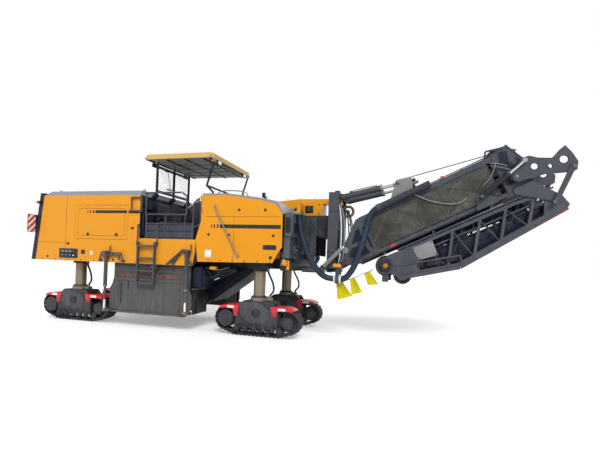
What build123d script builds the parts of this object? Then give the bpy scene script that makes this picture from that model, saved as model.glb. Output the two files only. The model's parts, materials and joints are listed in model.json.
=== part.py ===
from build123d import *
import os
from math import cos, hypot, pi, radians, sin, tan

# A self-propelled cold planer: four tracks on lifting columns, a milling drum under the
# middle, and a folding discharge conveyor that slews and lifts at the front.
# Millimetres. +X is forward, +Y is left, +Z is up, the ground is Z = 0.
# The origin is below the middle of the whole machine.

# ---------------------------------------------------------------- driving dimensions
BODY_HALF = 1250.0          # half the width over the side panels
PANEL = 14.0                # thickness of hood panels
BODY_BOTTOM = 1340.0        # underside of the hoods and the belt panel
HOOD_TOP = 2780.0           # top edge of the yellow rear hood
ROOF_RISE = 120.0           # height of the bevelled roof above it
DECK_Z = 1870.0             # operator's floor
SEAT_FIT = 0.3              # gap left where one piece sits on another of another body
RUN_GAP = 6.0               # gap between pieces that move past each other

FRONT_AXLE_X = -70.0
WHEELBASE = 4380.0
REAR_AXLE_X = FRONT_AXLE_X - WHEELBASE
REAR_END = REAR_AXLE_X - 1070.0       # back face of the radiator frame
COLUMN_Y = 900.0            # half the track gauge
COLUMN_D = 235.0
SLEEVE_WALL = 32.0
SLEEVE_TOP = 2140.0
SLEEVE_FIT = 0.6            # radial play of a column in its sleeve
COLUMN_TOP = 1980.0
FOOT_D = 340.0              # flange at a column's foot
FOOT_T = 62.0

TRACK_W = 320.0
BELT_T = 62.0               # thickness of the track belt with its shoes
SPROCKET = (-640.0, 330.0, 250.0)     # x from the column, height, radius over the belt
IDLER = (660.0, 300.0, 240.0)
ROLLERS = ((-430.0, 130.0), (480.0, 130.0))   # x, height; the height is also the radius
SADDLE_TOP = 700.0          # top plate of a track frame, under the column's foot
SADDLE_T = 70.0
CHEEK_T = 26.0
CHEEK_GAP = 10.0            # from the belt's edge to the cheek plate

HOUSING_REAR, HOUSING_FRONT = -3330.0, -1470.0
HOUSING_BOTTOM = 360.0
HOUSING_HALF = BODY_HALF - 90.0
HOUSING_WALL = 30.0
DRUM_X, DRUM_Z = -2400.0, 700.0
DRUM_R = 400.0              # drum tube
DRUM_HALF = HOUSING_HALF - 70.0
SIDE_PLATE_T = 40.0
SIDE_PLATE_BOTTOM, SIDE_PLATE_TOP = 290.0, 1120.0

CONVEYOR_ANGLE = 35.8       # collecting conveyor, degrees up
CONVEYOR_FOOT = (-1420.0, 640.0)      # x, z of its tail
CONVEYOR_LENGTH = 2700.0
CONVEYOR_HALF = 400.0
COLLECTING_BELT_HALF = 350.0

CANOPY_X = (-2810.0, -1170.0)
CANOPY_HALF = 1000.0
CANOPY_Z = (3590.0, 3700.0)
CANOPY_PIVOT_Z = 2840.0      # lower pins of the canopy's parallel links
CANOPY_EYE_Z = 3550.0       # upper pins
CANOPY_REAR_X, CANOPY_FRONT_X = -2570.0, -1195.0
CANOPY_TUBE = 50.0
CANOPY_PIN_D = 30.0
LUG_T = 12.0
WINDSCREEN_Y = (-850.0, -200.0, 450.0)
FRONT_POST_Y = (-880.0, 880.0)

MAST_X = 1290.0             # slewing axis
MAST_COLUMN_Y = 450.0
MAST_COLUMN = (200.0, 110.0)          # along X, along Y
MAST_FOOT_Z = 1400.0
MAST_TOP_Z = 2930.0
MAST_PLATE = 80.0
SLEW_PIN_D = 120.0
MAST_HEAD = (1450.0, 2860.0)          # x, z of the hoist cylinders' pins
LUFF_PIVOT = (1560.0, 1620.0)
LUFF_ANGLE = 25.8           # first conveyor section, degrees up
LUFF_PIN_D = 70.0
SECTION_HALF = 520.0        # half the width over the conveyor sections
BEAM_T = 50.0               # width of the sections' side frames
CHORD_LOW, CHORD_HIGH = -165.0, 558.0  # heights of the chords above the luffing pivot's line
SECTION_LENGTH = 3500.0
HOIST_EYE = (2520.0, 3110.0)
HOIST_Y = 300.0
HOIST_BARREL_D, HOIST_ROD_D = 120.0, 64.0
HOIST_LUG = 82.0            # from a hoist cylinder's middle to the middle of its lugs
HOIST_PIN_D = 50.0
HOSE_D = 116.0
HOSE_TOP = (715.0, -930.0, 2410.0)     # where the suction hose leaves the cabinet
HOSE_CLAMP = (1480.0, -790.0, 1200.0)  # middle of the suction hose's coupling

FOLD_PIVOT = (5250.0, 2800.0)
FOLD_PIN_D = 60.0
ARM_PIVOT = (4570.0, 3130.0)
ARM_TIP = (5455.0, 3310.0)
ARM_EYE = (4680.0, 3420.0)
LINK_END = (5180.0, 2700.0)
FOLD_FOOT = (4010.0, 2790.0)
ARM_Y = SECTION_HALF + 70.0
FOLD_CYLINDER_Y = SECTION_HALF + 140.0
TAIL_DRUM = (2360.0, 1490.0)          # axle of the folded section's end drum
TAIL_R = 205.0
BELT_1_HALF = SECTION_HALF - 135.0
BELT_2_HALF = SECTION_HALF - 155.0
WHEEL = (2680.0, 1325.0)              # support wheels' axle
WHEEL_R, WHEEL_W = 175.0, 80.0
WHEEL_Y = SECTION_HALF - 100.0
WHEEL_PIN_D = 40.0

SIDES = (("right", -1), ("left", 1))
AXLES = (("front", FRONT_AXLE_X), ("rear", REAR_AXLE_X))

os.makedirs("parts", exist_ok=True)


# ---------------------------------------------------------------- shared shapes
def side_plate(outline, y_mid, thickness, holes=()):
    """A plate from an outline of (x, z) points, centred on y_mid; holes are (x, z, diameter)."""
    with BuildPart() as plate:
        with BuildSketch(Plane.XZ.offset(-y_mid)):
            with BuildLine():
                Polyline(*outline, close=True)
            make_face()
            for x, z, diameter in holes:
                with Locations((x, z)):
                    Circle(diameter / 2, mode=Mode.SUBTRACT)
        extrude(amount=thickness / 2, both=True)
    return plate.part


def floor_plate(outline, z_low, thickness):
    """A plate from an outline of (x, y) points, from z_low upwards."""
    with BuildPart() as plate:
        with BuildSketch(Plane.XY.offset(z_low)):
            with BuildLine():
                Polyline(*outline, close=True)
            make_face()
        extrude(amount=thickness)
    return plate.part


def block(x_span, y_span, z_span):
    """A box between two corners, given as (low, high) along each axis."""
    middle = [(span[0] + span[1]) / 2 for span in (x_span, y_span, z_span)]
    with BuildPart() as box:
        with Locations(tuple(middle)):
            Box(*(abs(span[1] - span[0]) for span in (x_span, y_span, z_span)))
    return box.part


def rod(start, end, diameter, bore=0.0):
    """A round bar, or a tube when it has a bore, between two points."""
    path = Vector(*end) - Vector(*start)
    with BuildPart() as bar:
        with BuildSketch(Plane(origin=start, z_dir=path)):
            Circle(diameter / 2)
            if bore:
                Circle(bore / 2, mode=Mode.SUBTRACT)
        extrude(amount=path.length)
    return bar.part


def cross_pin(x, z, y_span, diameter, bore=0.0):
    """A round bar or tube that lies across the machine."""
    return rod((x, y_span[0], z), (x, y_span[1], z), diameter, bore)


def sloped(pivot, angle, along, up):
    """The (x, z) of a point given along and above a line that leaves the pivot at an angle."""
    a = radians(angle)
    return pivot[0] + along * cos(a) - up * sin(a), pivot[1] + along * sin(a) + up * cos(a)


def tube_route(points, diameter):
    """A hose: straight runs joined by tangent arcs, each as large as its two runs allow."""
    knots = [Vector(*p) for p in points]
    radii = []
    for before, here, after in zip(knots, knots[1:], knots[2:]):
        turn = radians((here - before).get_angle(after - here))
        radii.append(0.45 * min((here - before).length, (after - here).length) / tan(turn / 2))
    with BuildPart() as hose:
        with BuildLine() as route:
            FilletPolyline(*knots, radius=radii)
        with BuildSketch(Plane(origin=knots[0], z_dir=knots[1] - knots[0])):
            Circle(diameter / 2)
        sweep(path=route.wires()[0])
    length = route.wires()[0].length
    print("hose", round(length), "mm, radii", [round(r) for r in radii],
          "volume over section times length", round(hose.part.volume / (length * pi * diameter ** 2 / 4), 4))
    return hose.part


def lug_pair(outline, y, inner, pin):
    """Two lugs either side of y, their inner faces that far from it, bored for a pin at (x, z)."""
    hole = ((pin[0], pin[1], CANOPY_PIN_D + 2 * SEAT_FIT),)
    with BuildPart() as lugs:
        for face in (-1, 1):
            add(side_plate(outline, y + face * (inner + LUG_T / 2), LUG_T, holes=hole))
    return lugs.part


def save(part, name):
    """Label a finished piece and write it."""
    part.label = name
    export_step(part, f"parts/{name}.step")


# ---------------------------------------------------------------- main frame
GIRDER_Y = 520.0
GIRDER_W = 90.0
GIRDER_Z = (BODY_BOTTOM, BODY_BOTTOM + 200.0)
SLEEVE_D = COLUMN_D + 2 * SLEEVE_FIT + 2 * SLEEVE_WALL
FRAME_FRONT = 430.0
FRAME_REAR = REAR_END + 160.0
CROSSBEAM_DEPTH = 170.0

with BuildPart() as main_frame:
    for _, side in SIDES:
        y = side * GIRDER_Y
        add(block((FRAME_REAR, FRAME_FRONT), (y - GIRDER_W / 2, y + GIRDER_W / 2), GIRDER_Z))
        for _, axle_x in AXLES:
            add(block((axle_x - 190, axle_x + 190),
                      (y, side * (COLUMN_Y + 175)), GIRDER_Z))
            with Locations((axle_x, side * COLUMN_Y, BODY_BOTTOM)):
                Cylinder(SLEEVE_D / 2, SLEEVE_TOP - BODY_BOTTOM,
                         align=(Align.CENTER, Align.CENTER, Align.MIN))
                Cylinder(SLEEVE_D / 2 - SLEEVE_WALL, SLEEVE_TOP - BODY_BOTTOM,
                         align=(Align.CENTER, Align.CENTER, Align.MIN), mode=Mode.SUBTRACT)
    for x_low, x_high in ((FRAME_REAR, FRAME_REAR + 120), (-4000, -3860), (-3320, -3200), (-1560, -1440)):
        add(block((x_low, x_high), (-GIRDER_Y, GIRDER_Y), GIRDER_Z))
    add(block((FRAME_FRONT, FRAME_FRONT + CROSSBEAM_DEPTH), (-1150, 1150), (BODY_BOTTOM - 20, GIRDER_Z[1])))
    nose = ((FRAME_FRONT + CROSSBEAM_DEPTH, -420), (MAST_X, -150), (MAST_X + 130, -90),
            (MAST_X + 130, 90), (MAST_X, 150), (FRAME_FRONT + CROSSBEAM_DEPTH, 420))
    add(floor_plate(nose, BODY_BOTTOM - 20, MAST_FOOT_Z - SEAT_FIT - BODY_BOTTOM + 20))
    with Locations((MAST_X, 0, MAST_FOOT_Z - 20)):
        Cylinder(SLEW_PIN_D / 2 - SEAT_FIT, 20 + MAST_PLATE + 30, align=(Align.CENTER, Align.CENTER, Align.MIN))
save(main_frame.part, "main_frame")

# ---------------------------------------------------------------- rear hood and its doors
HOOD_FRONT = -2670.0
HOOD_REAR_LOW, HOOD_REAR_TOP = REAR_END + 120.0, REAR_END + 310.0
HOOD_OUTLINE = ((HOOD_REAR_LOW, BODY_BOTTOM), (HOOD_FRONT, BODY_BOTTOM),
                (HOOD_FRONT, HOOD_TOP), (HOOD_REAR_TOP, HOOD_TOP))
HATCH = (-4330.0, -2960.0, 1830.0, 2570.0)   # x low, x high, z low, z high
HATCH_GAP = RUN_GAP
HATCH_CORNER = 60.0
HINGE_PIN_D = 16.0


def hatch_outline(y, shrink):
    """The hatch's rounded outline on a side of the hood, drawn as a sketch."""
    x_low, x_high, z_low, z_high = HATCH
    with BuildSketch(Plane.XZ.offset(-y)) as outline:
        with Locations(((x_low + x_high) / 2, (z_low + z_high) / 2)):
            RectangleRounded(x_high - x_low - 2 * shrink, z_high - z_low - 2 * shrink,
                             HATCH_CORNER - shrink)
    return outline.sketch


with BuildPart() as rear_hood:
    for _, side in SIDES:
        y = side * (BODY_HALF - PANEL / 2)
        add(side_plate(HOOD_OUTLINE, y, PANEL))
        extrude(hatch_outline(y, 0), amount=PANEL, both=True, mode=Mode.SUBTRACT)
        add(block((HOOD_FRONT - 60, HOOD_FRONT), (side * (BODY_HALF - 160), side * BODY_HALF),
                  (BODY_BOTTOM, HOOD_TOP)))
    add(block((HOOD_FRONT - PANEL, HOOD_FRONT), (-BODY_HALF, BODY_HALF), (DECK_Z + 40, HOOD_TOP)))
    add(block((HOOD_FRONT - 60, HOOD_FRONT), (-BODY_HALF, BODY_HALF), (HOOD_TOP - 60, HOOD_TOP)))
    add(block((HOOD_REAR_TOP + 20, HOOD_REAR_TOP + 80), (-BODY_HALF, BODY_HALF), (HOOD_TOP - 60, HOOD_TOP)))
    ear = ((HOOD_FRONT, HOOD_TOP - 60), (CANOPY_REAR_X + 30, CANOPY_PIVOT_Z - 25),
           (CANOPY_REAR_X + 30, CANOPY_PIVOT_Z + 30), (CANOPY_REAR_X - 30, CANOPY_PIVOT_Z + 30), (HOOD_FRONT, HOOD_TOP))
    for y in WINDSCREEN_Y:
        add(lug_pair(ear, y, CANOPY_TUBE / 2 + RUN_GAP, (CANOPY_REAR_X, CANOPY_PIVOT_Z)))
save(rear_hood.part, "rear_hood")

for name, side in SIDES:
    outer = side * (BODY_HALF - PANEL / 2)
    x_low, x_high, _, z_high = HATCH
    with BuildPart() as hatch:
        extrude(hatch_outline(outer, HATCH_GAP), amount=PANEL / 2, both=True)
        add(block((x_low + 90, x_high - 90), sorted((side * (BODY_HALF - PANEL - 24), side * (BODY_HALF - PANEL))),
                  (z_high - 90, z_high - 40)))
        pin_y, pin_z = side * (BODY_HALF + HINGE_PIN_D / 2 + SEAT_FIT), z_high + 13
        for x in (x_low + 200, x_high - 340):
            add(rod((x, pin_y, pin_z), (x + 140, pin_y, pin_z), HINGE_PIN_D))
            add(block((x, x + 140), sorted((side * BODY_HALF, pin_y)), (z_high - 35, pin_z - 7)))
            add(block((x, x + 140), sorted((side * (BODY_HALF + 2), pin_y)), (pin_z - 8, pin_z)))
    save(hatch.part, f"service_hatch_{name}")

# ---------------------------------------------------------------- rear roof, bevelled
with BuildPart() as rear_roof:
    for inset, shell in ((0.0, Mode.ADD), (PANEL, Mode.SUBTRACT)):
        low = HOOD_TOP if shell == Mode.ADD else HOOD_TOP - 1
        with BuildSketch(Plane.XY.offset(low)):
            with Locations(((HOOD_REAR_TOP + HOOD_FRONT) / 2, 0)):
                Rectangle(HOOD_FRONT - HOOD_REAR_TOP - 2 * inset, 2 * (BODY_HALF - inset))
        with BuildSketch(Plane.XY.offset(HOOD_TOP + ROOF_RISE - inset)):
            with Locations(((HOOD_REAR_TOP + HOOD_FRONT) / 2, 0)):
                Rectangle(HOOD_FRONT - HOOD_REAR_TOP - 120 - 2 * inset, 2 * (BODY_HALF - 150 - inset))
        loft(mode=shell)
save(rear_roof.part, "rear_roof")

# ---------------------------------------------------------------- radiator frame and marker boards
RAD_TOP_X = REAR_END + 200.0
BOARD_W, BOARD_H = 200.0, 400.0
BOARD_Z = 1950.0
with BuildPart() as radiator_frame:
    outline = ((REAR_END, BODY_BOTTOM), (HOOD_REAR_LOW, BODY_BOTTOM), (HOOD_REAR_TOP, HOOD_TOP),
               (HOOD_REAR_TOP, HOOD_TOP + 60), (RAD_TOP_X, HOOD_TOP + 60))
    add(side_plate(outline, 0, 2 * BODY_HALF - 2))
    with BuildSketch(Plane.YZ.offset(REAR_END)):
        for y_mid in (-600, 600):
            with Locations((y_mid, (BODY_BOTTOM + HOOD_TOP) / 2)):
                RectangleRounded(1060, HOOD_TOP - BODY_BOTTOM - 260, 40)
    extrude(amount=400, mode=Mode.SUBTRACT)
    for y_mid in (-600, 600):
        slab = ((REAR_END + 60, BODY_BOTTOM + 100), (REAR_END + 90, BODY_BOTTOM + 100),
                (RAD_TOP_X + 60, HOOD_TOP - 100), (RAD_TOP_X + 30, HOOD_TOP - 100))
        add(side_plate(slab, y_mid, 1080))
    for _, side in SIDES:
        add(block((REAR_END + 75, REAR_END + 90), (side * (BODY_HALF - 40), side * (BODY_HALF + BOARD_W)),
                  (BOARD_Z, BOARD_Z + BOARD_H)))
save(radiator_frame.part, "radiator_frame")

# ---------------------------------------------------------------- engine
with BuildPart() as engine_block:
    add(block((-5050, -3500), (-430, 430), (GIRDER_Z[1], 2350)))
    add(block((-3500, -3300), (-300, 300), (GIRDER_Z[1], 2000)))
save(engine_block.part, "engine_block")

# ---------------------------------------------------------------- operator's platform
PLATFORM_X = (HOOD_FRONT, -1350.0)
JAMB = ((-1400, BODY_BOTTOM), (-1350, 1640), (-1350, DECK_Z))   # seam between belt panel and front hood
BELT_PANEL = ((HOOD_FRONT, BODY_BOTTOM), *JAMB, (HOOD_FRONT, DECK_Z))
with BuildPart() as platform_base:
    for _, side in SIDES:
        add(side_plate(BELT_PANEL, side * (BODY_HALF - PANEL / 2), PANEL))
    add(block(PLATFORM_X, (-BODY_HALF + PANEL, BODY_HALF - PANEL), (DECK_Z - 30, DECK_Z)))
    add(block((-2620, -2560), (-BODY_HALF + PANEL, BODY_HALF - PANEL), (GIRDER_Z[1], DECK_Z - 30)))
    add(block((-1420, -1360), (-BODY_HALF + PANEL, BODY_HALF - PANEL), (GIRDER_Z[1], DECK_Z - 30)))
save(platform_base.part, "platform_base")

with BuildPart() as control_console:
    console = ((-1700, DECK_Z), (-1360, DECK_Z), (-1330, 2560), (-1500, 2700), (-1760, 2540), (-1640, 2400))
    for y_mid in (-600, 600):
        add(side_plate(console, y_mid, 640))
    add(side_plate(((-1480, DECK_Z), (-1360, DECK_Z), (-1330, 2500), (-1480, 2500)), 0, 560))
    for y_mid in (-620, 620):
        add(block((-2360, -2240), (y_mid - 60, y_mid + 60), (DECK_Z, 2180)))
        add(block((-2560, -2080), (y_mid - 240, y_mid + 240), (2180, 2290)))
        add(block((-2600, -2520), (y_mid - 230, y_mid + 230), (2290, 2700)))
save(control_console.part, "control_console")

# ---------------------------------------------------------------- rails round the platform
RAIL_D = 34.0
RAIL_Y = BODY_HALF - 45.0
EDGE_RAIL_Y = BODY_HALF + 35.0
RAIL_LOOPS = (      # distance from the middle, then the loop's (x, z) corners
    (RAIL_Y, ((-2560, 2460), (-2560, 2830), (-1720, 2830), (-1600, 2760), (-1600, 2380), (-2560, 2380))),
    (EDGE_RAIL_Y, ((-2860, 2440), (-2860, 2720), (-2610, 2720), (-2610, 2440))),
    (RAIL_Y, ((-1440, 2120), (-1440, 2600), (-1360, 2680), (-1275, 2600), (-1275, 2180))),
)
LADDER_X = (-2640.0, -2240.0)
LADDER_PIVOT_Z = 1760.0
LADDER_BOTTOM = 920.0
LADDER_Y = -(BODY_HALF + 62.0)
LADDER_BAR = (30.0, 60.0)       # along X, along Y
LADDER_PIN_D = 24.0
RUNG_PITCH = 255.0
HANDRAIL_TOP = 2150.0
with BuildPart() as platform_rails:
    for _, side in SIDES:
        for distance, loop in RAIL_LOOPS:
            y = side * distance
            for start, end in zip(loop, loop[1:] + loop[:1]):
                add(rod((start[0], y, start[1]), (end[0], y, end[1]), RAIL_D))
                with Locations((start[0], y, start[1])):
                    Sphere(RAIL_D / 2)
        for z in (2440, 2720):
            add(rod((-2860, side * BODY_HALF, z), (-2860, side * EDGE_RAIL_Y, z), RAIL_D))
        y = side * RAIL_Y
        add(block((-2560, -1440), (y - 8, y + 8), (DECK_Z, 2200)))
        for x in (-2540, -2080, -1620, -1440):
            add(rod((x, y, DECK_Z), (x, y, 2390), RAIL_D))
    for x, out in zip(LADDER_X, (-1, 1)):
        near = x + out * (LADDER_BAR[0] / 2 + RUN_GAP)
        far = near + out * LUG_T
        add(block(sorted((near, far)), (LADDER_Y - 30, -BODY_HALF), (LADDER_PIVOT_Z - 40, LADDER_PIVOT_Z + 40)))
        add(rod((x - out * LADDER_BAR[0] / 2, LADDER_Y, LADDER_PIVOT_Z), (far, LADDER_Y, LADDER_PIVOT_Z), LADDER_PIN_D))
        rail_x = (near + far) / 2 + out * 8
        add(rod((rail_x, LADDER_Y + 20, LADDER_PIVOT_Z), (rail_x, LADDER_Y + 20, HANDRAIL_TOP), 30))
        with Locations((rail_x, LADDER_Y + 20, HANDRAIL_TOP)):
            Sphere(15)
        end_y = -BODY_HALF if rail_x < HOOD_FRONT else -(RAIL_Y + 5)
        add(rod((rail_x, LADDER_Y + 20, HANDRAIL_TOP), (rail_x, end_y, HANDRAIL_TOP), 30))
save(platform_rails.part, "platform_rails")

# ---------------------------------------------------------------- ladder, hinged at its top
with BuildPart() as ladder:
    for x in LADDER_X:
        add(block((x - LADDER_BAR[0] / 2, x + LADDER_BAR[0] / 2),
                  (LADDER_Y - LADDER_BAR[1] / 2, LADDER_Y + LADDER_BAR[1] / 2), (LADDER_BOTTOM, LADDER_PIVOT_Z + 30)))
    for step in range(4):
        z = LADDER_BOTTOM + 30 + step * RUNG_PITCH
        add(block(LADDER_X, (LADDER_Y - 40, LADDER_Y + 40), (z - 14, z + 14)))
    add(rod((LADDER_X[0] - 50, LADDER_Y, LADDER_PIVOT_Z), (LADDER_X[1] + 50, LADDER_Y, LADDER_PIVOT_Z),
            LADDER_PIN_D + 2 * SEAT_FIT), mode=Mode.SUBTRACT)
save(ladder.part, "boarding_ladder")

# ---------------------------------------------------------------- front hood
FRONT_TOP = ((-1240, 2760), (-670, 2760), (10, 2660), (330, 2590), (470, 2400))   # top edge of the yellow sides
FRONT_HOOD = ((-1285, BODY_BOTTOM + 90), (300, BODY_BOTTOM + 120), (380, 1615), (480, 1770),
              *reversed(FRONT_TOP), (-1240, 2250), *reversed(JAMB))
with BuildPart() as front_hood:
    for _, side in SIDES:
        add(side_plate(FRONT_HOOD, side * (BODY_HALF - PANEL / 2), PANEL))
        add(block((300, 360), (side * (BODY_HALF - 260), side * BODY_HALF), (1560, 2500)))
    add(block((-1240, -1226), (-BODY_HALF, BODY_HALF), (DECK_Z + 10, 2760)))
save(front_hood.part, "front_hood")

ROOF_LINE = ((-670, 2800), (-170, 2734), (10, 2710), (350, 2640), (500, 2400))    # top of the roof, sloping down
with BuildPart() as front_roof:
    add(side_plate((*FRONT_TOP, *reversed(ROOF_LINE), (-1240, 2800)), 0, 2 * (BODY_HALF - 20)))
    ear = ((CANOPY_FRONT_X - 35, 2790), (CANOPY_FRONT_X + 35, 2790), (CANOPY_FRONT_X + 30, CANOPY_PIVOT_Z + 25),
           (CANOPY_FRONT_X - 30, CANOPY_PIVOT_Z + 25))
    for y in FRONT_POST_Y:
        add(lug_pair(ear, y, CANOPY_TUBE / 2 + RUN_GAP, (CANOPY_FRONT_X, CANOPY_PIVOT_Z)))
save(front_roof.part, "front_roof")

with BuildPart() as front_box:
    for y_mid, width in ((-930, 500), (930, 500)):
        add(block((500, 640), (y_mid - width / 2, y_mid + width / 2), (1980, 2420)))
        add(block((480, 600), (y_mid - width / 2 + 30, y_mid + width / 2 - 30), (1560, 1980)))
    add(block((480, 500), (-1200, 1200), (1560, 1640)))
    add(block((620, HOSE_TOP[0] + 75), (HOSE_TOP[1] - 75, HOSE_TOP[1] + 75), (HOSE_TOP[2], HOSE_TOP[2] + 30)))
save(front_box.part, "front_cabinets")

# ---------------------------------------------------------------- yellow beam over the mast's head
POST_X = (FRAME_FRONT + 90.0, FRAME_FRONT + 170.0)
BEAM_UNDER = 2745.0         # underside of the beam
BEAM_NOSE = 80.0            # how far it runs past the slewing axis
HOPPER_TOP = 2480.0
with BuildPart() as mast_beam:
    under_plate = MAST_TOP_Z - MAST_PLATE - SEAT_FIT
    beam = ((-170, ROOF_LINE[1][1] + 7), (10, ROOF_LINE[2][1] + 1), (350, ROOF_LINE[3][1] + 1),
            (POST_X[0], BEAM_UNDER), (MAST_X + BEAM_NOSE, BEAM_UNDER), (MAST_X + BEAM_NOSE, under_plate),
            (POST_X[0] - 60, under_plate), (-170, ROOF_LINE[1][1] + 50))
    add(side_plate(beam, 0, 260))
    add(block((POST_X[0], 1000), (-200, 200), (HOPPER_TOP + 10, BEAM_UNDER + 20)))
    add(block(POST_X, (-480, 480), (2560, 2700)))
    for _, side in SIDES:
        add(block(POST_X, sorted((side * 412, side * 480)), (GIRDER_Z[1], 2700)))
    with Locations((MAST_X, 0, under_plate - 10)):
        Cylinder(SLEW_PIN_D / 2 - SEAT_FIT, MAST_PLATE + 40, align=(Align.CENTER, Align.CENTER, Align.MIN))
save(mast_beam.part, "mast_beam")

# ---------------------------------------------------------------- drum housing, scraper and drum
with BuildPart() as drum_housing:
    box_x = (HOUSING_REAR, HOUSING_FRONT)
    add(block(box_x, (-HOUSING_HALF, HOUSING_HALF), (1230, BODY_BOTTOM)))
    for _, side in SIDES:
        y = side * (HOUSING_HALF - HOUSING_WALL / 2)
        wall = ((HOUSING_REAR, 1230), (HOUSING_REAR, 560), (HOUSING_REAR + 200, HOUSING_BOTTOM + 60),
                (HOUSING_FRONT - 200, HOUSING_BOTTOM + 60), (HOUSING_FRONT, 560), (HOUSING_FRONT, 1230))
        add(side_plate(wall, y, HOUSING_WALL))
    front = ((HOUSING_FRONT - HOUSING_WALL, 900), (HOUSING_FRONT, 900), (HOUSING_FRONT, 1230),
             (HOUSING_FRONT - HOUSING_WALL, 1230))
    add(side_plate(front, 0, 2 * HOUSING_HALF))
    for _, side in SIDES:
        y_span = sorted((side * 480, side * HOUSING_HALF))
        add(block((HOUSING_FRONT - HOUSING_WALL, HOUSING_FRONT), y_span, (420, 900)))
        add(block((HOUSING_REAR, HOUSING_REAR + 25), sorted((side * 900, side * HOUSING_HALF)), (560, 1230)))
    add(block((HOUSING_REAR, HOUSING_REAR + 25), (-HOUSING_HALF, HOUSING_HALF), (1000, 1230)))
save(drum_housing.part, "drum_housing")

SCRAPER_X = HOUSING_REAR + 25 + RUN_GAP
with BuildPart() as scraper_blade:
    add(block((SCRAPER_X, SCRAPER_X + 30), (-900, 900), (340, 1040)))
    add(block((SCRAPER_X - 20, SCRAPER_X + 34), (-900, 900), (300, 340)))
    for y in (-850, 0, 850):
        add(block((SCRAPER_X - RUN_GAP + SEAT_FIT, SCRAPER_X), (y - 30, y + 30), (700, 1040)))
save(scraper_blade.part, "scraper_blade")

with BuildPart() as milling_drum:
    add(cross_pin(DRUM_X, DRUM_Z, (-DRUM_HALF, DRUM_HALF), 2 * DRUM_R))
    for turn in range(5):
        y = -800 + 400 * turn
        add(cross_pin(DRUM_X, DRUM_Z, (y - 60, y + 60), 2 * (DRUM_R + 45)))
    add(cross_pin(DRUM_X, DRUM_Z, (-HOUSING_HALF + HOUSING_WALL + SEAT_FIT, HOUSING_HALF - HOUSING_WALL - SEAT_FIT), 300))
save(milling_drum.part, "milling_drum")

# ---------------------------------------------------------------- side plates on lift cylinders
LIFTS = ((-3440.0, 1530.0, 330.0), (-1500.0, 1600.0, 380.0))  # x, pin height, rod eye height
SIDE_PLATE_Y = HOUSING_HALF + RUN_GAP + SIDE_PLATE_T / 2
LIFT_BARREL_D, LIFT_ROD_D = 80.0, 50.0
LIFT_Y = BODY_HALF + LIFT_BARREL_D / 2 + RUN_GAP
SKID = ((-3390, SIDE_PLATE_BOTTOM + 60), (-3330, SIDE_PLATE_BOTTOM), (-1560, SIDE_PLATE_BOTTOM),
        (-1420, SIDE_PLATE_BOTTOM + 190), (-1420, 700), (-1600, SIDE_PLATE_TOP), (-3270, SIDE_PLATE_TOP),
        (-3330, 900), (-3390, 800))
LIFT_BARREL_LOW, LIFT_ROD_TOP = 830.0, 1130.0
for name, side in SIDES:
    with BuildPart() as side_shield:
        add(side_plate(SKID, side * SIDE_PLATE_Y, SIDE_PLATE_T))
        add(block((-3330, -1600), sorted((side * (SIDE_PLATE_Y - 20), side * (SIDE_PLATE_Y + 50))),
                  (SIDE_PLATE_BOTTOM, SIDE_PLATE_BOTTOM + 40)))
        for x, pin_z, eye_z in LIFTS:
            foot_x = -3360 if x < -2500 else -1440
            add(block((min(x, foot_x) - 30, max(x, foot_x) + 30),
                      sorted((side * SIDE_PLATE_Y, side * (LIFT_Y + 30))), (eye_z - 30, eye_z + 30)))
            add(rod((x, side * LIFT_Y, eye_z), (x, side * LIFT_Y, LIFT_ROD_TOP), LIFT_ROD_D))
    save(side_shield.part, f"side_plate_{name}")

with BuildPart() as plate_lifts:
    for _, side in SIDES:
        for x, pin_z, _ in LIFTS:
            y = side * LIFT_Y
            add(rod((x, y, LIFT_BARREL_LOW), (x, y, pin_z), LIFT_BARREL_D, LIFT_ROD_D + 2 * SEAT_FIT))
            add(rod((x, y, pin_z), (x, y, pin_z + 30), LIFT_BARREL_D))
            add(block((x - 50, x + 50), sorted((side * BODY_HALF, side * (LIFT_Y + 50))), (pin_z + 10, pin_z + 50)))
save(plate_lifts.part, "plate_lift_cylinders")

# ---------------------------------------------------------------- collecting conveyor
def on_conveyor(along, up):
    return sloped(CONVEYOR_FOOT, CONVEYOR_ANGLE, along, up)


HOPPER = ((770, 2140), (1400, 1945), (1400, 2160), (1180, HOPPER_TOP), (770, HOPPER_TOP))
CHUTE_FLOOR = ((770, 2126), (1400, 1931), (1400, 1945), (770, 2140))
HOPPER_HALF = 286.0
with BuildPart() as collecting_conveyor:
    side_frame = [on_conveyor(*p) for p in ((0, -90), (CONVEYOR_LENGTH, -90), (CONVEYOR_LENGTH, 190), (0, 190))]
    floor = [on_conveyor(*p) for p in ((0, -90), (CONVEYOR_LENGTH, -90), (CONVEYOR_LENGTH, -60), (0, -60))]
    add(side_plate(floor, 0, 2 * CONVEYOR_HALF))
    for _, side in SIDES:
        add(side_plate(side_frame, side * (CONVEYOR_HALF - 20), 40))
        add(side_plate(HOPPER, side * (HOPPER_HALF + 7), 14))
        add(block((770, 800), sorted((side * HOPPER_HALF, side * CONVEYOR_HALF)), (2135, 2175)))
        add(block((-360, -240), sorted((side * (CONVEYOR_HALF - 20), side * (GIRDER_Y - GIRDER_W / 2))), (1390, 1500)))
    add(side_plate(CHUTE_FLOOR, 0, 2 * HOPPER_HALF + 28))
    add(side_plate(((1386, 2165), (1400, 2160), (1180, HOPPER_TOP), (1164, HOPPER_TOP)), 0, 2 * HOPPER_HALF))
save(collecting_conveyor.part, "collecting_conveyor")

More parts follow.
